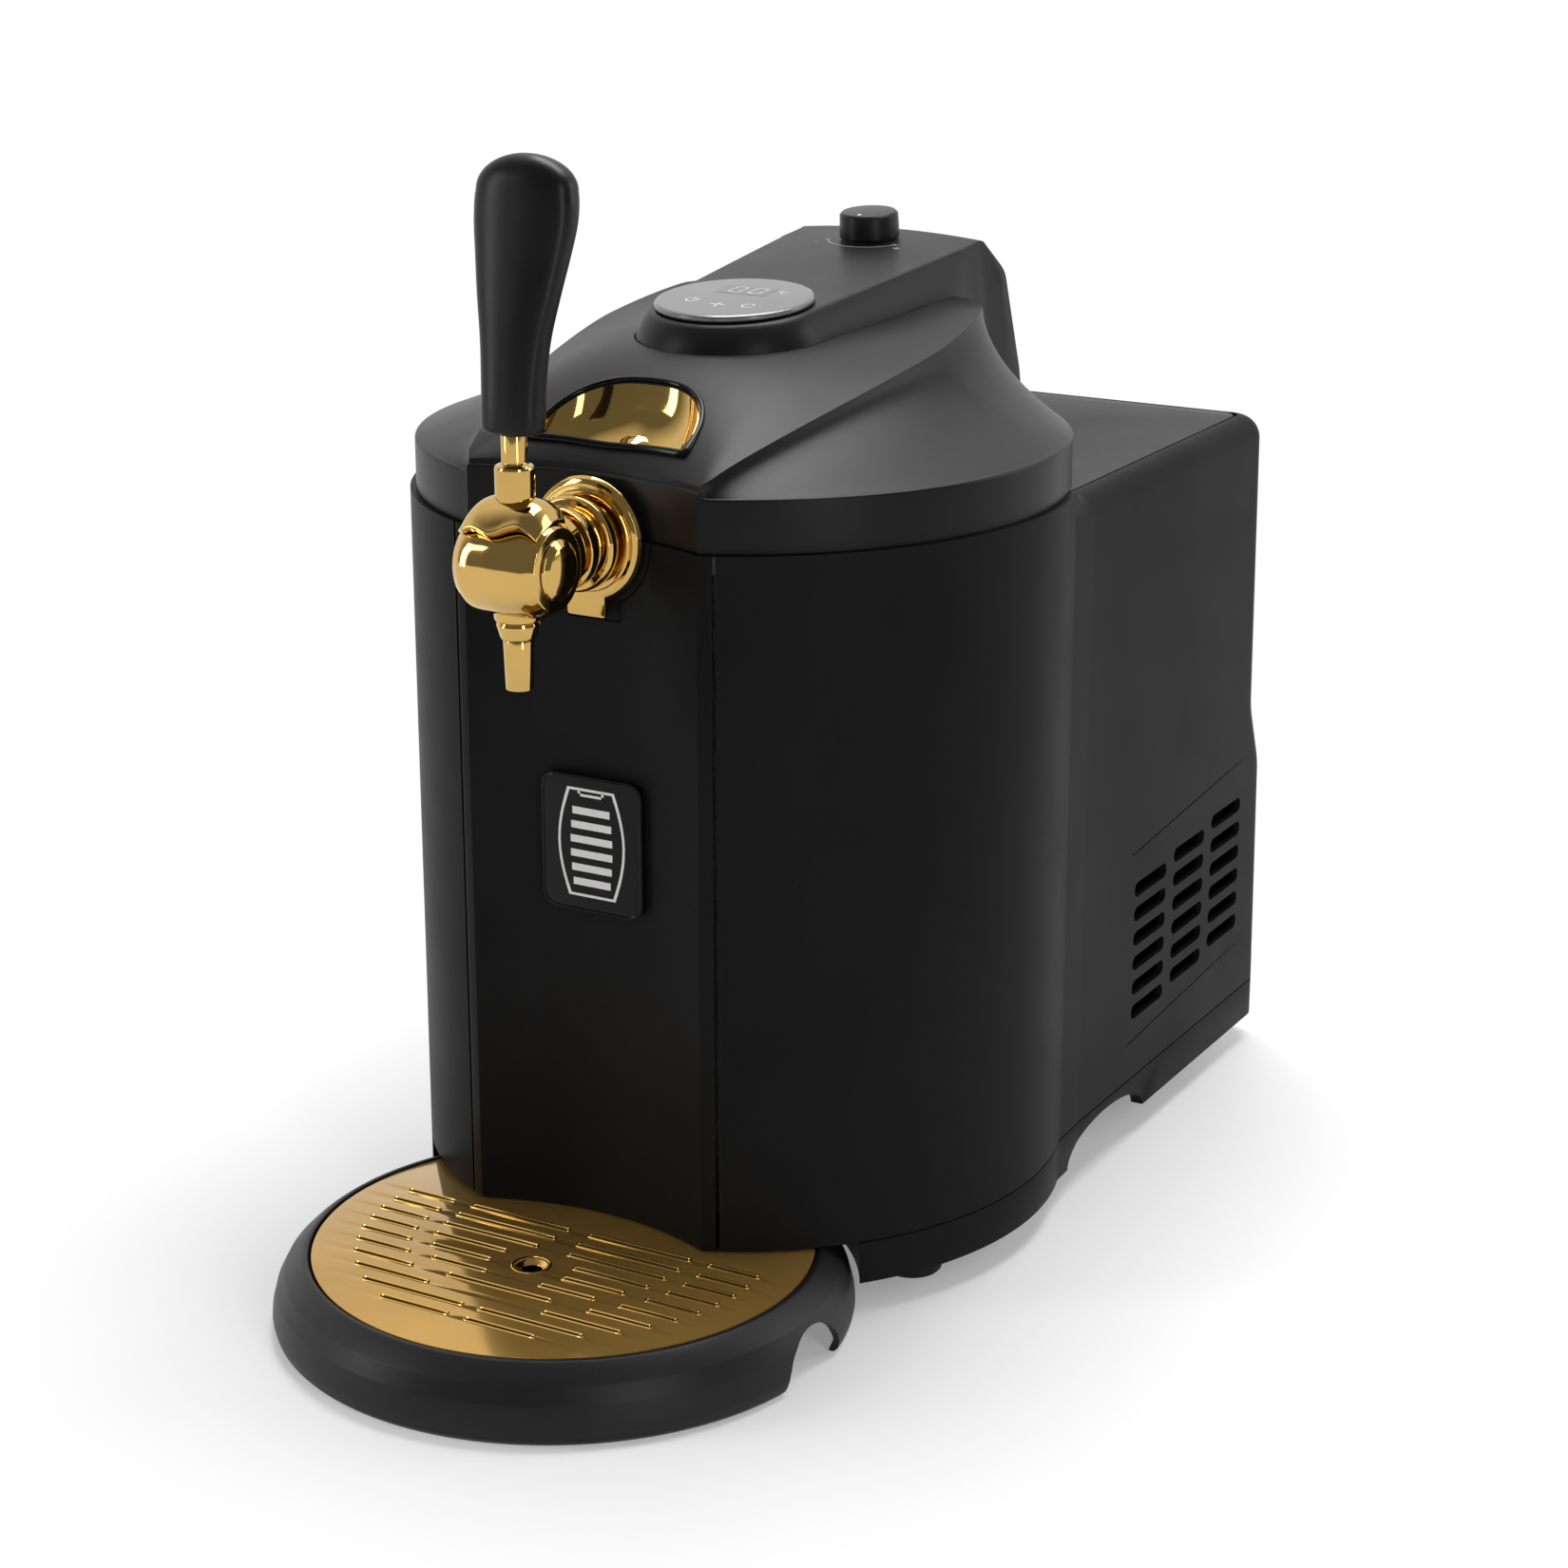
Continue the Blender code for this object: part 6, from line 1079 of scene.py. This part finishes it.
def lid_surface(inset, drop, coves, panels, rim):
    # Rings of one skin of the lid from its bottom edge up to the middle
    plan = lid_plan(inset)
    rings = [[(x, y, PART_Z) for front, x, y, a in plan]]
    for k in range(rim + 1):
        rings.append(rim_ring(plan, Q * k / rim * 0.8 if rim else 0, drop))
    rings += [cove_ring(plan, t, inset, drop) for t in coves]
    edge = []
    for front, x, y, a in plan:
        k = (min(crease_radius(a), LID_R - 2 * LID_EDGE) - inset) / (LID_R - inset)
        edge.append((x, y + LID_EDGE * 1.25) if front else (x * k, y * k))
    for f in panels:
        rings.append([(x * f, y * f, panel_z(x * f, y * f) - drop) for x, y in edge])
    return rings


skin = lid_surface(0, 0, SKIN_COVES, SKIN_PANELS, 4)
lid_rings = skin + list(reversed(lid_surface(LID_WALL, LID_WALL, UNDER_COVES, UNDER_PANELS, 0)))
verts = [p for r in lid_rings for p in r] + [(0, 0, panel_z(0, 0)), (0, 0, panel_z(0, 0) - LID_WALL)]
inmost = len(skin) - 1
pairs = [(k, (k + 1) % len(lid_rings)) for k in range(len(lid_rings)) if k != inmost]
fans = ((inmost, len(verts) - 2), (inmost + 1, len(verts) - 1))
lid = tidy(raw("lid_dome", verts, ring_faces(len(skin[0]), pairs, fans)), 1e-6)
mouth = [(NOTCH, MOUTH_LOW)] + arc(0, TAP_Z, NOTCH, 0, math.pi, 40) + [(-NOTCH, MOUTH_LOW)]
lid = boole(lid, slab("lid_mouth", [mouth], FRONT_CUT, -0.1029, "Y"))
hose_gap = soften(box_line(-0.0130, 0.0050, 0.3135, 0.3215), 0.0030, 5)
lid = boole(lid, slab("hose_gap", [hose_gap], 0.110, 0.150, "Y"))

# Finger recess

RECESS_Y = face_y(LID_R, 0) + 0.0069
HALF_W, DEEP, BOW = 0.0330, 0.0330, 0.0030
RECESS_MID = (0, RECESS_Y + DEEP * 0.42)
# How far in from the recess's line, and how deep under the panel
CUP_LEVELS = (
    (0.0000, 0.0002), (0.0002, 0.0012), (0.0006, 0.0028), (0.0012, 0.0046), (0.0022, 0.0068),
    (0.0038, 0.0090), (0.0060, 0.0110), (0.0090, 0.0125), (0.0125, 0.0134), (0.0165, 0.0139))
CUP_EDGE, BEAD_OUT, BEAD_THIN, BEAD_THICK = 0.0005, 0.0014, 0.0011, 0.0017


def recess_line():
    # A bowed lower edge and a half moon over it
    low = [mix(-HALF_W, HALF_W, i / 36) for i in range(37)]
    line = [(x, RECESS_Y + BOW * (1 - (x / HALF_W) ** 2)) for x in low]
    for i in range(1, 72):
        t = math.pi * i / 72
        x = math.copysign(HALF_W * abs(math.cos(t)) ** 0.72, math.cos(t))
        line.append((x, RECESS_Y + DEEP * math.sin(t) ** 0.9))
    return line


def shrink(p, d):
    v = Vector((p[0] - RECESS_MID[0], p[1] - RECESS_MID[1]))
    k = 1 - d / v.length
    return RECESS_MID[0] + v.x * k, RECESS_MID[1] + v.y * k


def swept(name, path, radii, sides=12):
    # Closed round ridge whose thickness changes along the line
    rings = []
    for i, p in enumerate(path):
        d = (Vector(path[(i + 1) % len(path)]) - Vector(path[i - 1])).normalized()
        out = d.cross(Vector((0, 0, 1))).normalized()
        up = out.cross(d)
        rings.append([Vector(p) + (out * c + up * sn) * radii[i] for c, sn in circle(1, sides)])
    return loft(name, rings + [rings[0]])


recess = recess_line()
lid = boole(lid, slab("finger_way", [recess], 0.310, 0.390))
cup_rings = []
for d, drop_z in CUP_LEVELS:
    flat_ring = [shrink(p, CUP_EDGE + d) for p in recess]
    cup_rings.append([(x, y, panel_z(x, y) - drop_z) for x, y in flat_ring])
lowest = cup_rings[-1]
floor_z = sum(p[2] for p in lowest) / len(recess) - 0.0002
for f in (0.75, 0.5, 0.25):
    cup_rings.append([
        (mix(RECESS_MID[0], x, f), mix(RECESS_MID[1], y, f), mix(floor_z, z, f ** 1.5)) for x, y,
        z in lowest])
verts = [p for r in cup_rings for p in r] + [(*RECESS_MID, floor_z)]
pairs = [(k, k + 1) for k in range(len(cup_rings) - 1)]
faces = ring_faces(len(recess), pairs, ((len(cup_rings) - 1, len(verts) - 1),))
cup = raw("recess_cup", verts, faces)
if cup.polygons[len(recess) * 8].normal.z < 0:
    cup.flip_normals()
gold("recess_cup", thick(cup, 0.0010), "lid", "finger_cup", 60)
bead = [shrink(p, -BEAD_OUT) for p in recess]
bead = [(x, y, panel_z(x, y) + 0.0004) for x, y in bead]
bead_r = [mix(BEAD_THIN, BEAD_THICK, clamp(1 - (p[1] - RECESS_Y) / 0.010)) for p in recess]
bead = swept("recess_bead", bead, bead_r)
piece("recess_bead", bead, "gloss_black", "lid", ["recess_bezel"])

# Console pod: nose round the display, widening sides, rear slope and leg

NOSE_Y, NOSE_LOW, NOSE_TOP, POD_Z, SLOPE = -0.0070, 0.0390, 0.0335, 0.3750, 0.0856
REAR_Y, HALF_TOP, HALF_LOW, LEG_LOW, LEG_Y = 0.1240, 0.0425, 0.0465, 0.3100, 0.1580
RAMP_Y0, RAMP_Y1, CROWN, POD_WALL = 0.0250, 0.0900, 0.0022, 0.0022
PIN_R, PIN_Y, PIN_Z = 0.0033, 0.1470, 0.3160
POD_MID_Y, EAR_IN, EAR_OUT = 0.05, 0.0297, 0.0413


def pod_top_z(x, y):
    ramp = soft_step((y - RAMP_Y0) / (RAMP_Y1 - RAMP_Y0))
    half = mix(NOSE_TOP, HALF_TOP, clamp((y - NOSE_Y) / (REAR_Y - NOSE_Y)))
    return POD_Z + (y - NOSE_Y) * SLOPE + CROWN * ramp * (1 - min(1.0, (x / half) ** 2))


def pod_half_line():
    # Top point, foot point and kind of each column, from the nose to the middle of the rear
    line = []
    for (tx, ty), (bx, by) in zip(arc(0, NOSE_Y, NOSE_TOP, -Q, 0, 24),
            arc(0, NOSE_Y, NOSE_LOW, -Q, 0, 24)):
        line.append(((tx, ty), (bx, by), 0))
    for i in range(1, 13):
        f = 0.93 * i / 12
        top = (mix(NOSE_TOP, HALF_TOP, f), mix(NOSE_Y, REAR_Y, f * 0.9))
        line.append((top, (mix(NOSE_LOW, HALF_LOW, f), mix(NOSE_Y, 0.1000, f)), 0))
    for i in range(1, 9):
        f = i / 8
        line.append(((HALF_TOP, mix(0.1025, 0.1215, f)), (HALF_LOW, mix(0.0960, 0.1290, f)),
            0.001 + f * 0.6))
    for f in (0.25, 0.5, 0.75, 1.0):
        line.append(((HALF_TOP, mix(0.1215, 0.1230, f)), (HALF_LOW, mix(0.1290, 0.1480, f)),
            0.6 + f * 1.4))
    for f in (0.3, 0.6, 0.85, 1.0):
        foot = (HALF_LOW - 0.0003 * f, mix(0.1480, LEG_Y, f))
        line.append(((HALF_TOP, mix(0.1230, REAR_Y, f)), foot, 2 + f))
    for k in range(1, 13):
        f = 1 - k / 12
        line.append(((HALF_TOP * f, REAR_Y), (HALF_LOW * f, LEG_Y), 3))
    return line


def bent(points, radii, n=5):
    # Rounds the inner corners of a 3D line
    out = [points[0]]
    for i in range(1, len(points) - 1):
        p, r = points[i], radii[i - 1]
        a, b = points[i - 1] - p, points[i + 1] - p
        d = min(r, a.length * 0.48, b.length * 0.48)
        s = p + a.normalized() * d if a.length else p.copy()
        e = p + b.normalized() * d if b.length else p.copy()
        for k in range(n + 1):
            t = k / n
            out.append(s * (1 - t) ** 2 + p * (2 * t * (1 - t)) + e * t ** 2)
    return out + [points[-1]]


def pod_shoulder(t, b, zb, kind, top, low):
    # The two points between a column's top and its foot; kind 0 is the nose and sides, 2 to 3 the leg
    if kind >= 2:
        f = kind - 2
        p1 = Vector((mix(t[0], b[0], 0.8), mix(0.1355, 0.1400, f), mix(0.3705, 0.3715, f)))
        return p1, Vector((b[0], mix(b[1] - 0.0015, 0.1545, f), 0.3270))
    if kind == 0:
        out = Vector((b[0] - t[0], b[1] - t[1], 0)).normalized() * 0.0009
        return top.lerp(low, 0.3) + out, top.lerp(low, 0.7) + out
    f = kind / 2
    high = mix(mix(top.z, low.z, 0.25), 0.3705, f)
    p1 = Vector((mix(t[0], b[0], mix(0.35, 0.8, f)), mix(t[1], b[1], mix(0.35, 0.62, f)), high))
    p1.z = max(p1.z, mix(zb, top.z, 0.5))
    high = mix(mix(p1.z, low.z, 0.5), max(0.3270, zb + 0.002), f)
    return p1, Vector((mix(p1.x, b[0], mix(0.6, 1, f)), mix(p1.y, b[1], mix(0.6, 0.8, f)), high))


def pod_column(t, b, kind):
    top = Vector((t[0], t[1], pod_top_z(t[0], t[1])))
    # The floor line follows the dome until the leg hangs past it
    on_dome = kind < 0.7 and math.hypot(b[0], b[1]) < LID_R
    zb = dome_z(b[0], b[1]) if on_dome else LEG_LOW
    low = Vector((b[0], b[1], zb - 0.0006))
    skirt = Vector((b[0], b[1], zb - 0.0045))
    p1, p2 = pod_shoulder(t, b, zb, kind, top, low)
    lead = Vector((t[0] * 0.93, mix(POD_MID_Y, t[1], 0.93), 0))
    lead.z = pod_top_z(lead.x, lead.y)
    soft_top = mix(0.0032, 0.0016, clamp(kind))
    return bent([lead, top, p1, p2, low, skirt], [soft_top, 0.004, 0.004, 0.0003])


columns = [pod_column(*c) for c in pod_half_line()]
pod_foot = [(c[-1].x, c[-1].y) for c in columns]
pod_foot += mirrored(pod_foot[1:-1])
pod_open = []
for i, q in enumerate(pod_foot):
    d = (Vector(pod_foot[(i + 1) % len(pod_foot)]) - Vector(pod_foot[i - 1])).normalized()
    pod_open.append((q[0] + d.y * 0.0005, q[1] - d.x * 0.0005))
lid = boole(lid, slab("pod_way", [pod_open], 0.285, 0.400))
piece("lid_dome", lid, "lid_black", "lid", ["lid_shell"], sharp=24)
loop = columns + [[Vector((-p.x, p.y, p.z)) for p in c] for c in reversed(columns[1:-1])]
pod_rings = [[c[k] for c in loop] for k in range(len(columns[0]) - 1, -1, -1)]
for f in (0.85, 0.7, 0.55, 0.4, 0.25, 0.1):
    flat_ring = [(c[0].x * f, mix(POD_MID_Y, c[0].y, f)) for c in loop]
    pod_rings.append([Vector((x, y, pod_top_z(x, y))) for x, y in flat_ring])
verts = [p for r in pod_rings for p in r] + [Vector((0, POD_MID_Y, pod_top_z(0, POD_MID_Y)))]
pairs = [(k, k + 1) for k in range(len(pod_rings) - 1)]
pod = raw("pod_body", verts, ring_faces(len(loop), pairs, ((len(pod_rings) - 1, len(verts) - 1),)))
if pod.polygons[-1].normal.z < 0:
    pod.flip_normals()
pod = thick(pod, POD_WALL)
pod = boole(pod, slab("pin_way", [circle(PIN_R, 48, PIN_Y, PIN_Z)], -0.070, 0.070, "X"))
for s in (-1, 1):
    ear = box_line(*sorted((s * EAR_IN, s * EAR_OUT)), 0.1530, 0.1800)
    pod = boole(pod, slab("ear_slot", [ear], 0.2900, 0.3255))
piece("pod_body", pod, "lid_black", "lid", ["console_pod"], sharp=35)

# Display disc with its dark window, digits and marks; all drawn flat, then tilted onto the pod

TILT = math.atan(SLOPE)
DISC_R, DISC_T, DISC_Z = 0.0315, 0.0024, POD_Z + 0.0006
ON_DISC = Matrix.Translation((0, NOSE_Y, DISC_Z)) @ Matrix.Rotation(TILT, 4, "X")
DIGIT_W, DIGIT_H, DIGIT_T, DIGIT_LOW, DIGIT_LEAN = 0.0056, 0.0092, 0.0011, 0.0061, 0.10
DISC_PROFILE = [(0, DISC_T), (0.0300, DISC_T), (0.0309, 0.0021), (DISC_R, 0.0015), (DISC_R, 0), (0, 0)]
disc = lathe("display_lens", DISC_PROFILE, 160, r=0.0006, n=3)
disc.transform(ON_DISC)
piece("display_lens", disc, "disc_silver", "lid", ["display_disc"])


def on_lens(name, lines, mat, lift=0.0, high=0.00005):
    me = joined(*[slab(name, [line], 0, high) for line in lines])
    me.transform(ON_DISC @ Matrix.Translation((0, 0, DISC_T + lift)))
    return piece(name, me, mat, "lid")


def leaning_bar(x, z, wide, high):
    # One stroke of a digit, leaning to the right
    foot, head = (z - DIGIT_LOW) * DIGIT_LEAN, (z + high - DIGIT_LOW) * DIGIT_LEAN
    return [(x + foot, z), (x + wide + foot, z), (x + wide + head, z + high), (x + head, z + high)]


def zero(x):
    # Two flat strokes and four upright ones
    strokes = []
    for z in (DIGIT_LOW - 0.0001, DIGIT_LOW + DIGIT_H - DIGIT_T):
        strokes.append(leaning_bar(x + 0.0006, z, DIGIT_W - 0.0012, DIGIT_T))
    for upright in (x - 0.0001, x + DIGIT_W - DIGIT_T + 0.0001):
        for z in (DIGIT_LOW + 0.0006, DIGIT_LOW + DIGIT_H / 2 + 0.0003):
            strokes.append(leaning_bar(upright, z, DIGIT_T, DIGIT_H / 2 - 0.0009))
    return strokes


def arc_band(cx, cy, r, w, a0, a1, n=24):
    return arc(cx, cy, r + w, a0, a1, n) + arc(cx, cy, r, a1, a0, n)


on_lens("digit_window", [soften(box_line(-0.0115, 0.0105, 0.0045, 0.0170), 0.0012, 4)], "window_dark",
    high=0.00006)
on_lens("digits", zero(-0.0075) + zero(0.0015), "digit_grey", 0.00007)
on_lens("lens_marks", [
    arc_band(0.0132, 0.0140, 0.0006, 0.0003, 0, FULL * 0.999),
    arc_band(0.0158, 0.0118, 0.0014, 0.0004, rad(50), rad(310)),
    arc_band(-0.0135, -0.0095, 0.0022, 0.0005, rad(120), rad(420)),
    box_line(-0.01375, -0.01325, -0.0088, -0.0060),
    arc_band(0.0125, -0.0110, 0.0022, 0.0005, rad(20), rad(330)),
    box_line(-0.0030, 0.0030, -0.0132, -0.0127),
    box_line(-0.0003, 0.0003, -0.0158, -0.0102)], "print_white")

# Pressure knob and its printed arc

KNOB_Y, KNOB_R, KNOB_HIGH, DOT_R, DOT_T, PRINT_T = 0.1040, 0.0125, 0.0105, 0.0009, 0.00012, 0.00006
SIGN_X, SIGN_Y, SIGN_HALF, SIGN_LINE = 0.0189, KNOB_Y - 0.01215, 0.0017, 0.00025
ON_KNOB = Matrix.Translation((0, KNOB_Y, pod_top_z(0, KNOB_Y) + 0.0008)) @ Matrix.Rotation(TILT, 4, "X")
knob_profile = [
    (0.0001, KNOB_HIGH), (0.0111, KNOB_HIGH), (0.0122, 0.0094),
    (KNOB_R, 0.0010), (KNOB_R, 0), (0.0001, 0)]
rings = [[(x, y, z) for x, y in circle(r, 240)] for r, z in soften(knob_profile, 0.0006, 3, closed=False)]
knob = loft("knob_body", rings, cap=True)
knob.transform(ON_KNOB)
piece("knob_body", knob, "grip_black", "pressure_knob", ["pressure_knob"], sharp=45)
dot = lathe("knob_dot", [(0, DOT_T), (DOT_R, DOT_T), (DOT_R, 0), (0, 0)], 32, r=0)
dot.transform(ON_KNOB @ Matrix.Translation((0, -0.0082, KNOB_HIGH)))
piece("knob_dot", dot, "print_white", "pressure_knob")


def on_pod(name, flat_lines, mat):
    # Lays thin printed shapes on the crowned pod top
    meshes = []
    for line in flat_lines:
        me = slab(name, [line], 0, PRINT_T)
        for v in me.vertices:
            v.co.z += pod_top_z(v.co.x, v.co.y) + PRINT_T / 2
        meshes.append(me)
    return piece(name, joined(*meshes), mat, "lid")


def dash(x, dx, dy):
    return box_line(x - dx, x + dx, SIGN_Y - dy, SIGN_Y + dy)


scale_lines = [arc_band(0, KNOB_Y, 0.0170, 0.0005, rad(205), rad(335), 48)]
scale_lines += [arc_band(0, KNOB_Y, 0.0160, 0.0026, rad(a - 1.2), rad(a + 1.2), 4) for a in (205, 335)]
scale_lines += [dash(SIGN_X, SIGN_HALF, SIGN_LINE), dash(SIGN_X, SIGN_LINE, SIGN_HALF),
    dash(-SIGN_X, SIGN_HALF, SIGN_LINE)]
on_pod("knob_scale", scale_lines, "print_grey")

# Keg chamber and what hangs in the lid

RING_LOW, RING_TOP, BORE_R = 0.2970, 0.3035, 0.0896
CUP_PROFILE = [
    (0, 0.0395), (0.0860, 0.0395), (0.0890, 0.0425), (0.0890, 0.2967), (0.0905, 0.2967), (0.0905, 0.0410),
    (0.0880, 0.0380), (0, 0.0380)]
LINER_IN, LINER_LOW, LINER_TOP, COUPLER_WAY = 0.0050, 0.3062, 0.3087, 0.0123
SEAL_IN, SEAL_OUT, SEAL_LOW, SEAL_TOP, SEAL_GAP = 0.0925, 0.0965, 0.3038, 0.3059, rad(14)
COUPLER_PROFILE = [
    (0, 0.3290), (0.0060, 0.3290), (0.0090, 0.3260), (0.0140, 0.3240), (0.0140, 0.3130), (0.0200, 0.3120),
    (0.0200, 0.3090), (0.0120, 0.3090), (0.0120, 0.2965), (0.0100, 0.2935), (0, 0.2935)]
LINE_GAP = 0.0006


def drum_line(radius, inset, extra, n):
    # Hollow front and round back of a plate that lies inside the drum
    gap = CORNER + extra
    return front_points(radius, inset, 32) + arc_points(radius - inset, gap, FULL - gap, n)


ring_line = drum_line(DRUM_R, WALL + LINE_GAP, rad(1), 120)
collar = slab("chamber_ring", [ring_line, circle(BORE_R, 128)], RING_LOW, RING_TOP, edge=0.0005)
clear = slab("front_clear", [box_line(-0.0195, 0.0195, -0.155, -0.0887)], TAP_Z - 0.0195, TAP_Z + 0.0195)
piece("chamber_ring", boole(collar, clear), "inner_grey", "appliance", ["chamber_collar"])
chamber = lathe("chamber_cup", CUP_PROFILE, 160, r=0.0012, n=4)
piece("chamber_cup", chamber, "liner_alu", "appliance", ["chamber_liner"])
under_lines = [drum_line(LID_R, LINER_IN, rad(1.5), 120), circle(COUPLER_WAY, 64)]
plate = slab("lid_underside", under_lines, LINER_LOW, LINER_TOP, edge=0.0006)
plate = boole(plate, slab("liner_clear", [box_line(-0.0200, 0.0200, -0.155, -0.0790)], 0.2962, 0.3287))
piece("lid_underside", plate, "inner_grey", "lid", ["lid_liner"])
seal_line = arc_points(SEAL_OUT, SEAL_GAP, FULL - SEAL_GAP, 140) + arc_points(SEAL_IN, FULL - SEAL_GAP,
    SEAL_GAP, 140)
seal = slab("seal_ring", [seal_line], SEAL_LOW, SEAL_TOP, edge=0.0007, edge_n=3)
piece("seal_ring", seal, "rubber_black", "lid", ["lid_seal"])
coupler = lathe("coupler", COUPLER_PROFILE, 96, r=0.0008, n=3)
piece("coupler", coupler, "inner_grey", "lid", ["keg_coupler"])

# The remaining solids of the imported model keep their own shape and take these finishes
OWN_SHAPE = {
    "steel": ("shank_nut", "hinge_bracket_left", "hinge_bracket_right", "hinge_pin", "co2_cartridge"),
    "liner_alu": ("cold_block", "heat_sink"),
    "board_green": ("power_board", "control_board"),
    "hose_pale": ("beer_line", "gas_line", "cartridge_line"),
    "inner_grey": ("fan_rotor", "cartridge_cradle"),
    "foam_white": ("insulation_jacket",),
    "white_ceramic": ("peltier_tile",),
    "grip_black": ("fan_frame",),
    "gloss_black": ("power_inlet",),
    "brass": ("pressure_regulator",)}
for mat, names in OWN_SHAPE.items():
    for node in names:
        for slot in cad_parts[node].material_slots:
            slot.material = MATS[mat]

# Floor, lamps and sky

FLOOR_HALF, FLOOR_Z, FLOOR_TONE = 9, -0.0002, 0.86
SHADE_R, BACKDROP_R, SHADE_LIFT = 0.22, 0.52, 0.25
TO_BACKDROP, DIM_ROOM = (-0.50, 0.86, 0.05), 0.20
floor_line = box_line(-FLOOR_HALF, FLOOR_HALF, -FLOOR_HALF, FLOOR_HALF)
floor_me = raw("floor", [(x, y, FLOOR_Z) for x, y in floor_line], [(0, 1, 2, 3)])
floor = bpy.data.objects.new("floor", floor_me)
bpy.context.scene.collection.objects.link(floor)
floor_mat = bpy.data.materials.new("pale_floor")
floor_mat.use_nodes = True
t = floor_mat.node_tree
p = t.nodes["Principled BSDF"]
p.inputs["Roughness"].default_value = 0.55
p.inputs["Specular IOR Level"].default_value = 0.2
seen = t.nodes.new("ShaderNodeLightPath")
shade = t.nodes.new("ShaderNodeMix")
shade.data_type = "RGBA"
shade.inputs[6].default_value = (FLOOR_TONE, FLOOR_TONE, FLOOR_TONE, 1)
shade.inputs[7].default_value = (1, 1, 1, 1)
t.links.new(seen.outputs["Is Camera Ray"], shade.inputs[0])
t.links.new(shade.outputs[2], p.inputs["Base Color"])


def mirrored_ray(tree, path):
    return maths(tree, "MAXIMUM", path.outputs["Is Glossy Ray"], path.outputs["Is Transmission Ray"])


# Near the object the floor is lit and shadowed; further out it turns into the white backdrop
spot = t.nodes.new("ShaderNodeNewGeometry")
reach = t.nodes.new("ShaderNodeVectorMath")
reach.operation = "LENGTH"
t.links.new(spot.outputs["Position"], reach.inputs[0])
away = spread(t, reach.outputs["Value"], SHADE_R, BACKDROP_R, SHADE_LIFT, 1.0)
white = t.nodes.new("ShaderNodeEmission")
both = t.nodes.new("ShaderNodeMixShader")
showing = maths(t, "MAXIMUM", seen.outputs["Is Camera Ray"], mirrored_ray(t, seen))
t.links.new(maths(t, "MULTIPLY", away, showing), both.inputs[0])
t.links.new(p.outputs[0], both.inputs[1])
t.links.new(white.outputs[0], both.inputs[2])
t.links.new(both.outputs[0], t.nodes["Material Output"].inputs["Surface"])
floor_me.materials.append(floor_mat)


def softbox(name, place, aim, size, power, colour=(1, 1, 1)):
    lamp = bpy.data.lights.new(name, "AREA")
    lamp.shape = "RECTANGLE"
    lamp.size, lamp.size_y = size
    lamp.energy = power
    lamp.color = colour
    o = bpy.data.objects.new(name, lamp)
    o.location = place
    o.rotation_euler = (Vector(aim) - Vector(place)).to_track_quat("-Z", "Y").to_euler()
    bpy.context.scene.collection.objects.link(o)


softbox("overhead", (-0.05, 0.60, 1.85), (0, 0, 0.2), (1.4, 0.8), 36)
softbox("right_front", (1.45, -0.95, 0.75), (0, 0, 0.22), (0.35, 1.3), 7)
softbox("right_rear", (1.35, 1.10, 0.85), (0.1, 0.1, 0.25), (0.5, 1.0), 6)
softbox("left_front", (-1.15, -1.10, 0.70), (0, -0.1, 0.25), (0.30, 1.1), 7)

world = bpy.data.worlds.new("studio")
bpy.context.scene.world = world
world.use_nodes = True
t = world.node_tree
bg = t.nodes["Background"]
seen = t.nodes.new("ShaderNodeLightPath")
sky = t.nodes.new("ShaderNodeMix")
sky.data_type = "RGBA"
sky.inputs[6].default_value = (DIM_ROOM, DIM_ROOM, DIM_ROOM, 1)
sky.inputs[7].default_value = (1, 1, 1, 1)
# Metal and glass see the white backdrop behind the object; the side of the camera stays a dim room
facing = t.nodes.new("ShaderNodeTexCoord")
ahead = t.nodes.new("ShaderNodeVectorMath")
ahead.operation = "DOT_PRODUCT"
ahead.inputs[1].default_value = TO_BACKDROP
t.links.new(facing.outputs["Generated"], ahead.inputs[0])
backdrop = spread(t, ahead.outputs["Value"], 0.0, 0.45, 0.0, 1.0)
in_mirror = maths(t, "MULTIPLY", mirrored_ray(t, seen), backdrop)
t.links.new(maths(t, "MAXIMUM", seen.outputs["Is Camera Ray"], in_mirror), sky.inputs[0])
t.links.new(sky.outputs[2], bg.inputs["Color"])
bpy.context.scene.view_settings.view_transform = "Standard"

# Camera fitted to the photo
LENS, SENSOR = 78.17, 36
EYE, EYE_TILT, EYE_TURN = (0.67155, -1.157665, 0.59633), rad(72.49), rad(29.64)
camera = bpy.data.cameras.new("camera")
camera.lens = LENS
camera.sensor_width = SENSOR
camera.clip_start = 0.01
eye = bpy.data.objects.new("camera", camera)
eye.location = EYE
eye.rotation_euler = (EYE_TILT, 0, EYE_TURN)
bpy.context.scene.collection.objects.link(eye)
bpy.context.scene.camera = eye
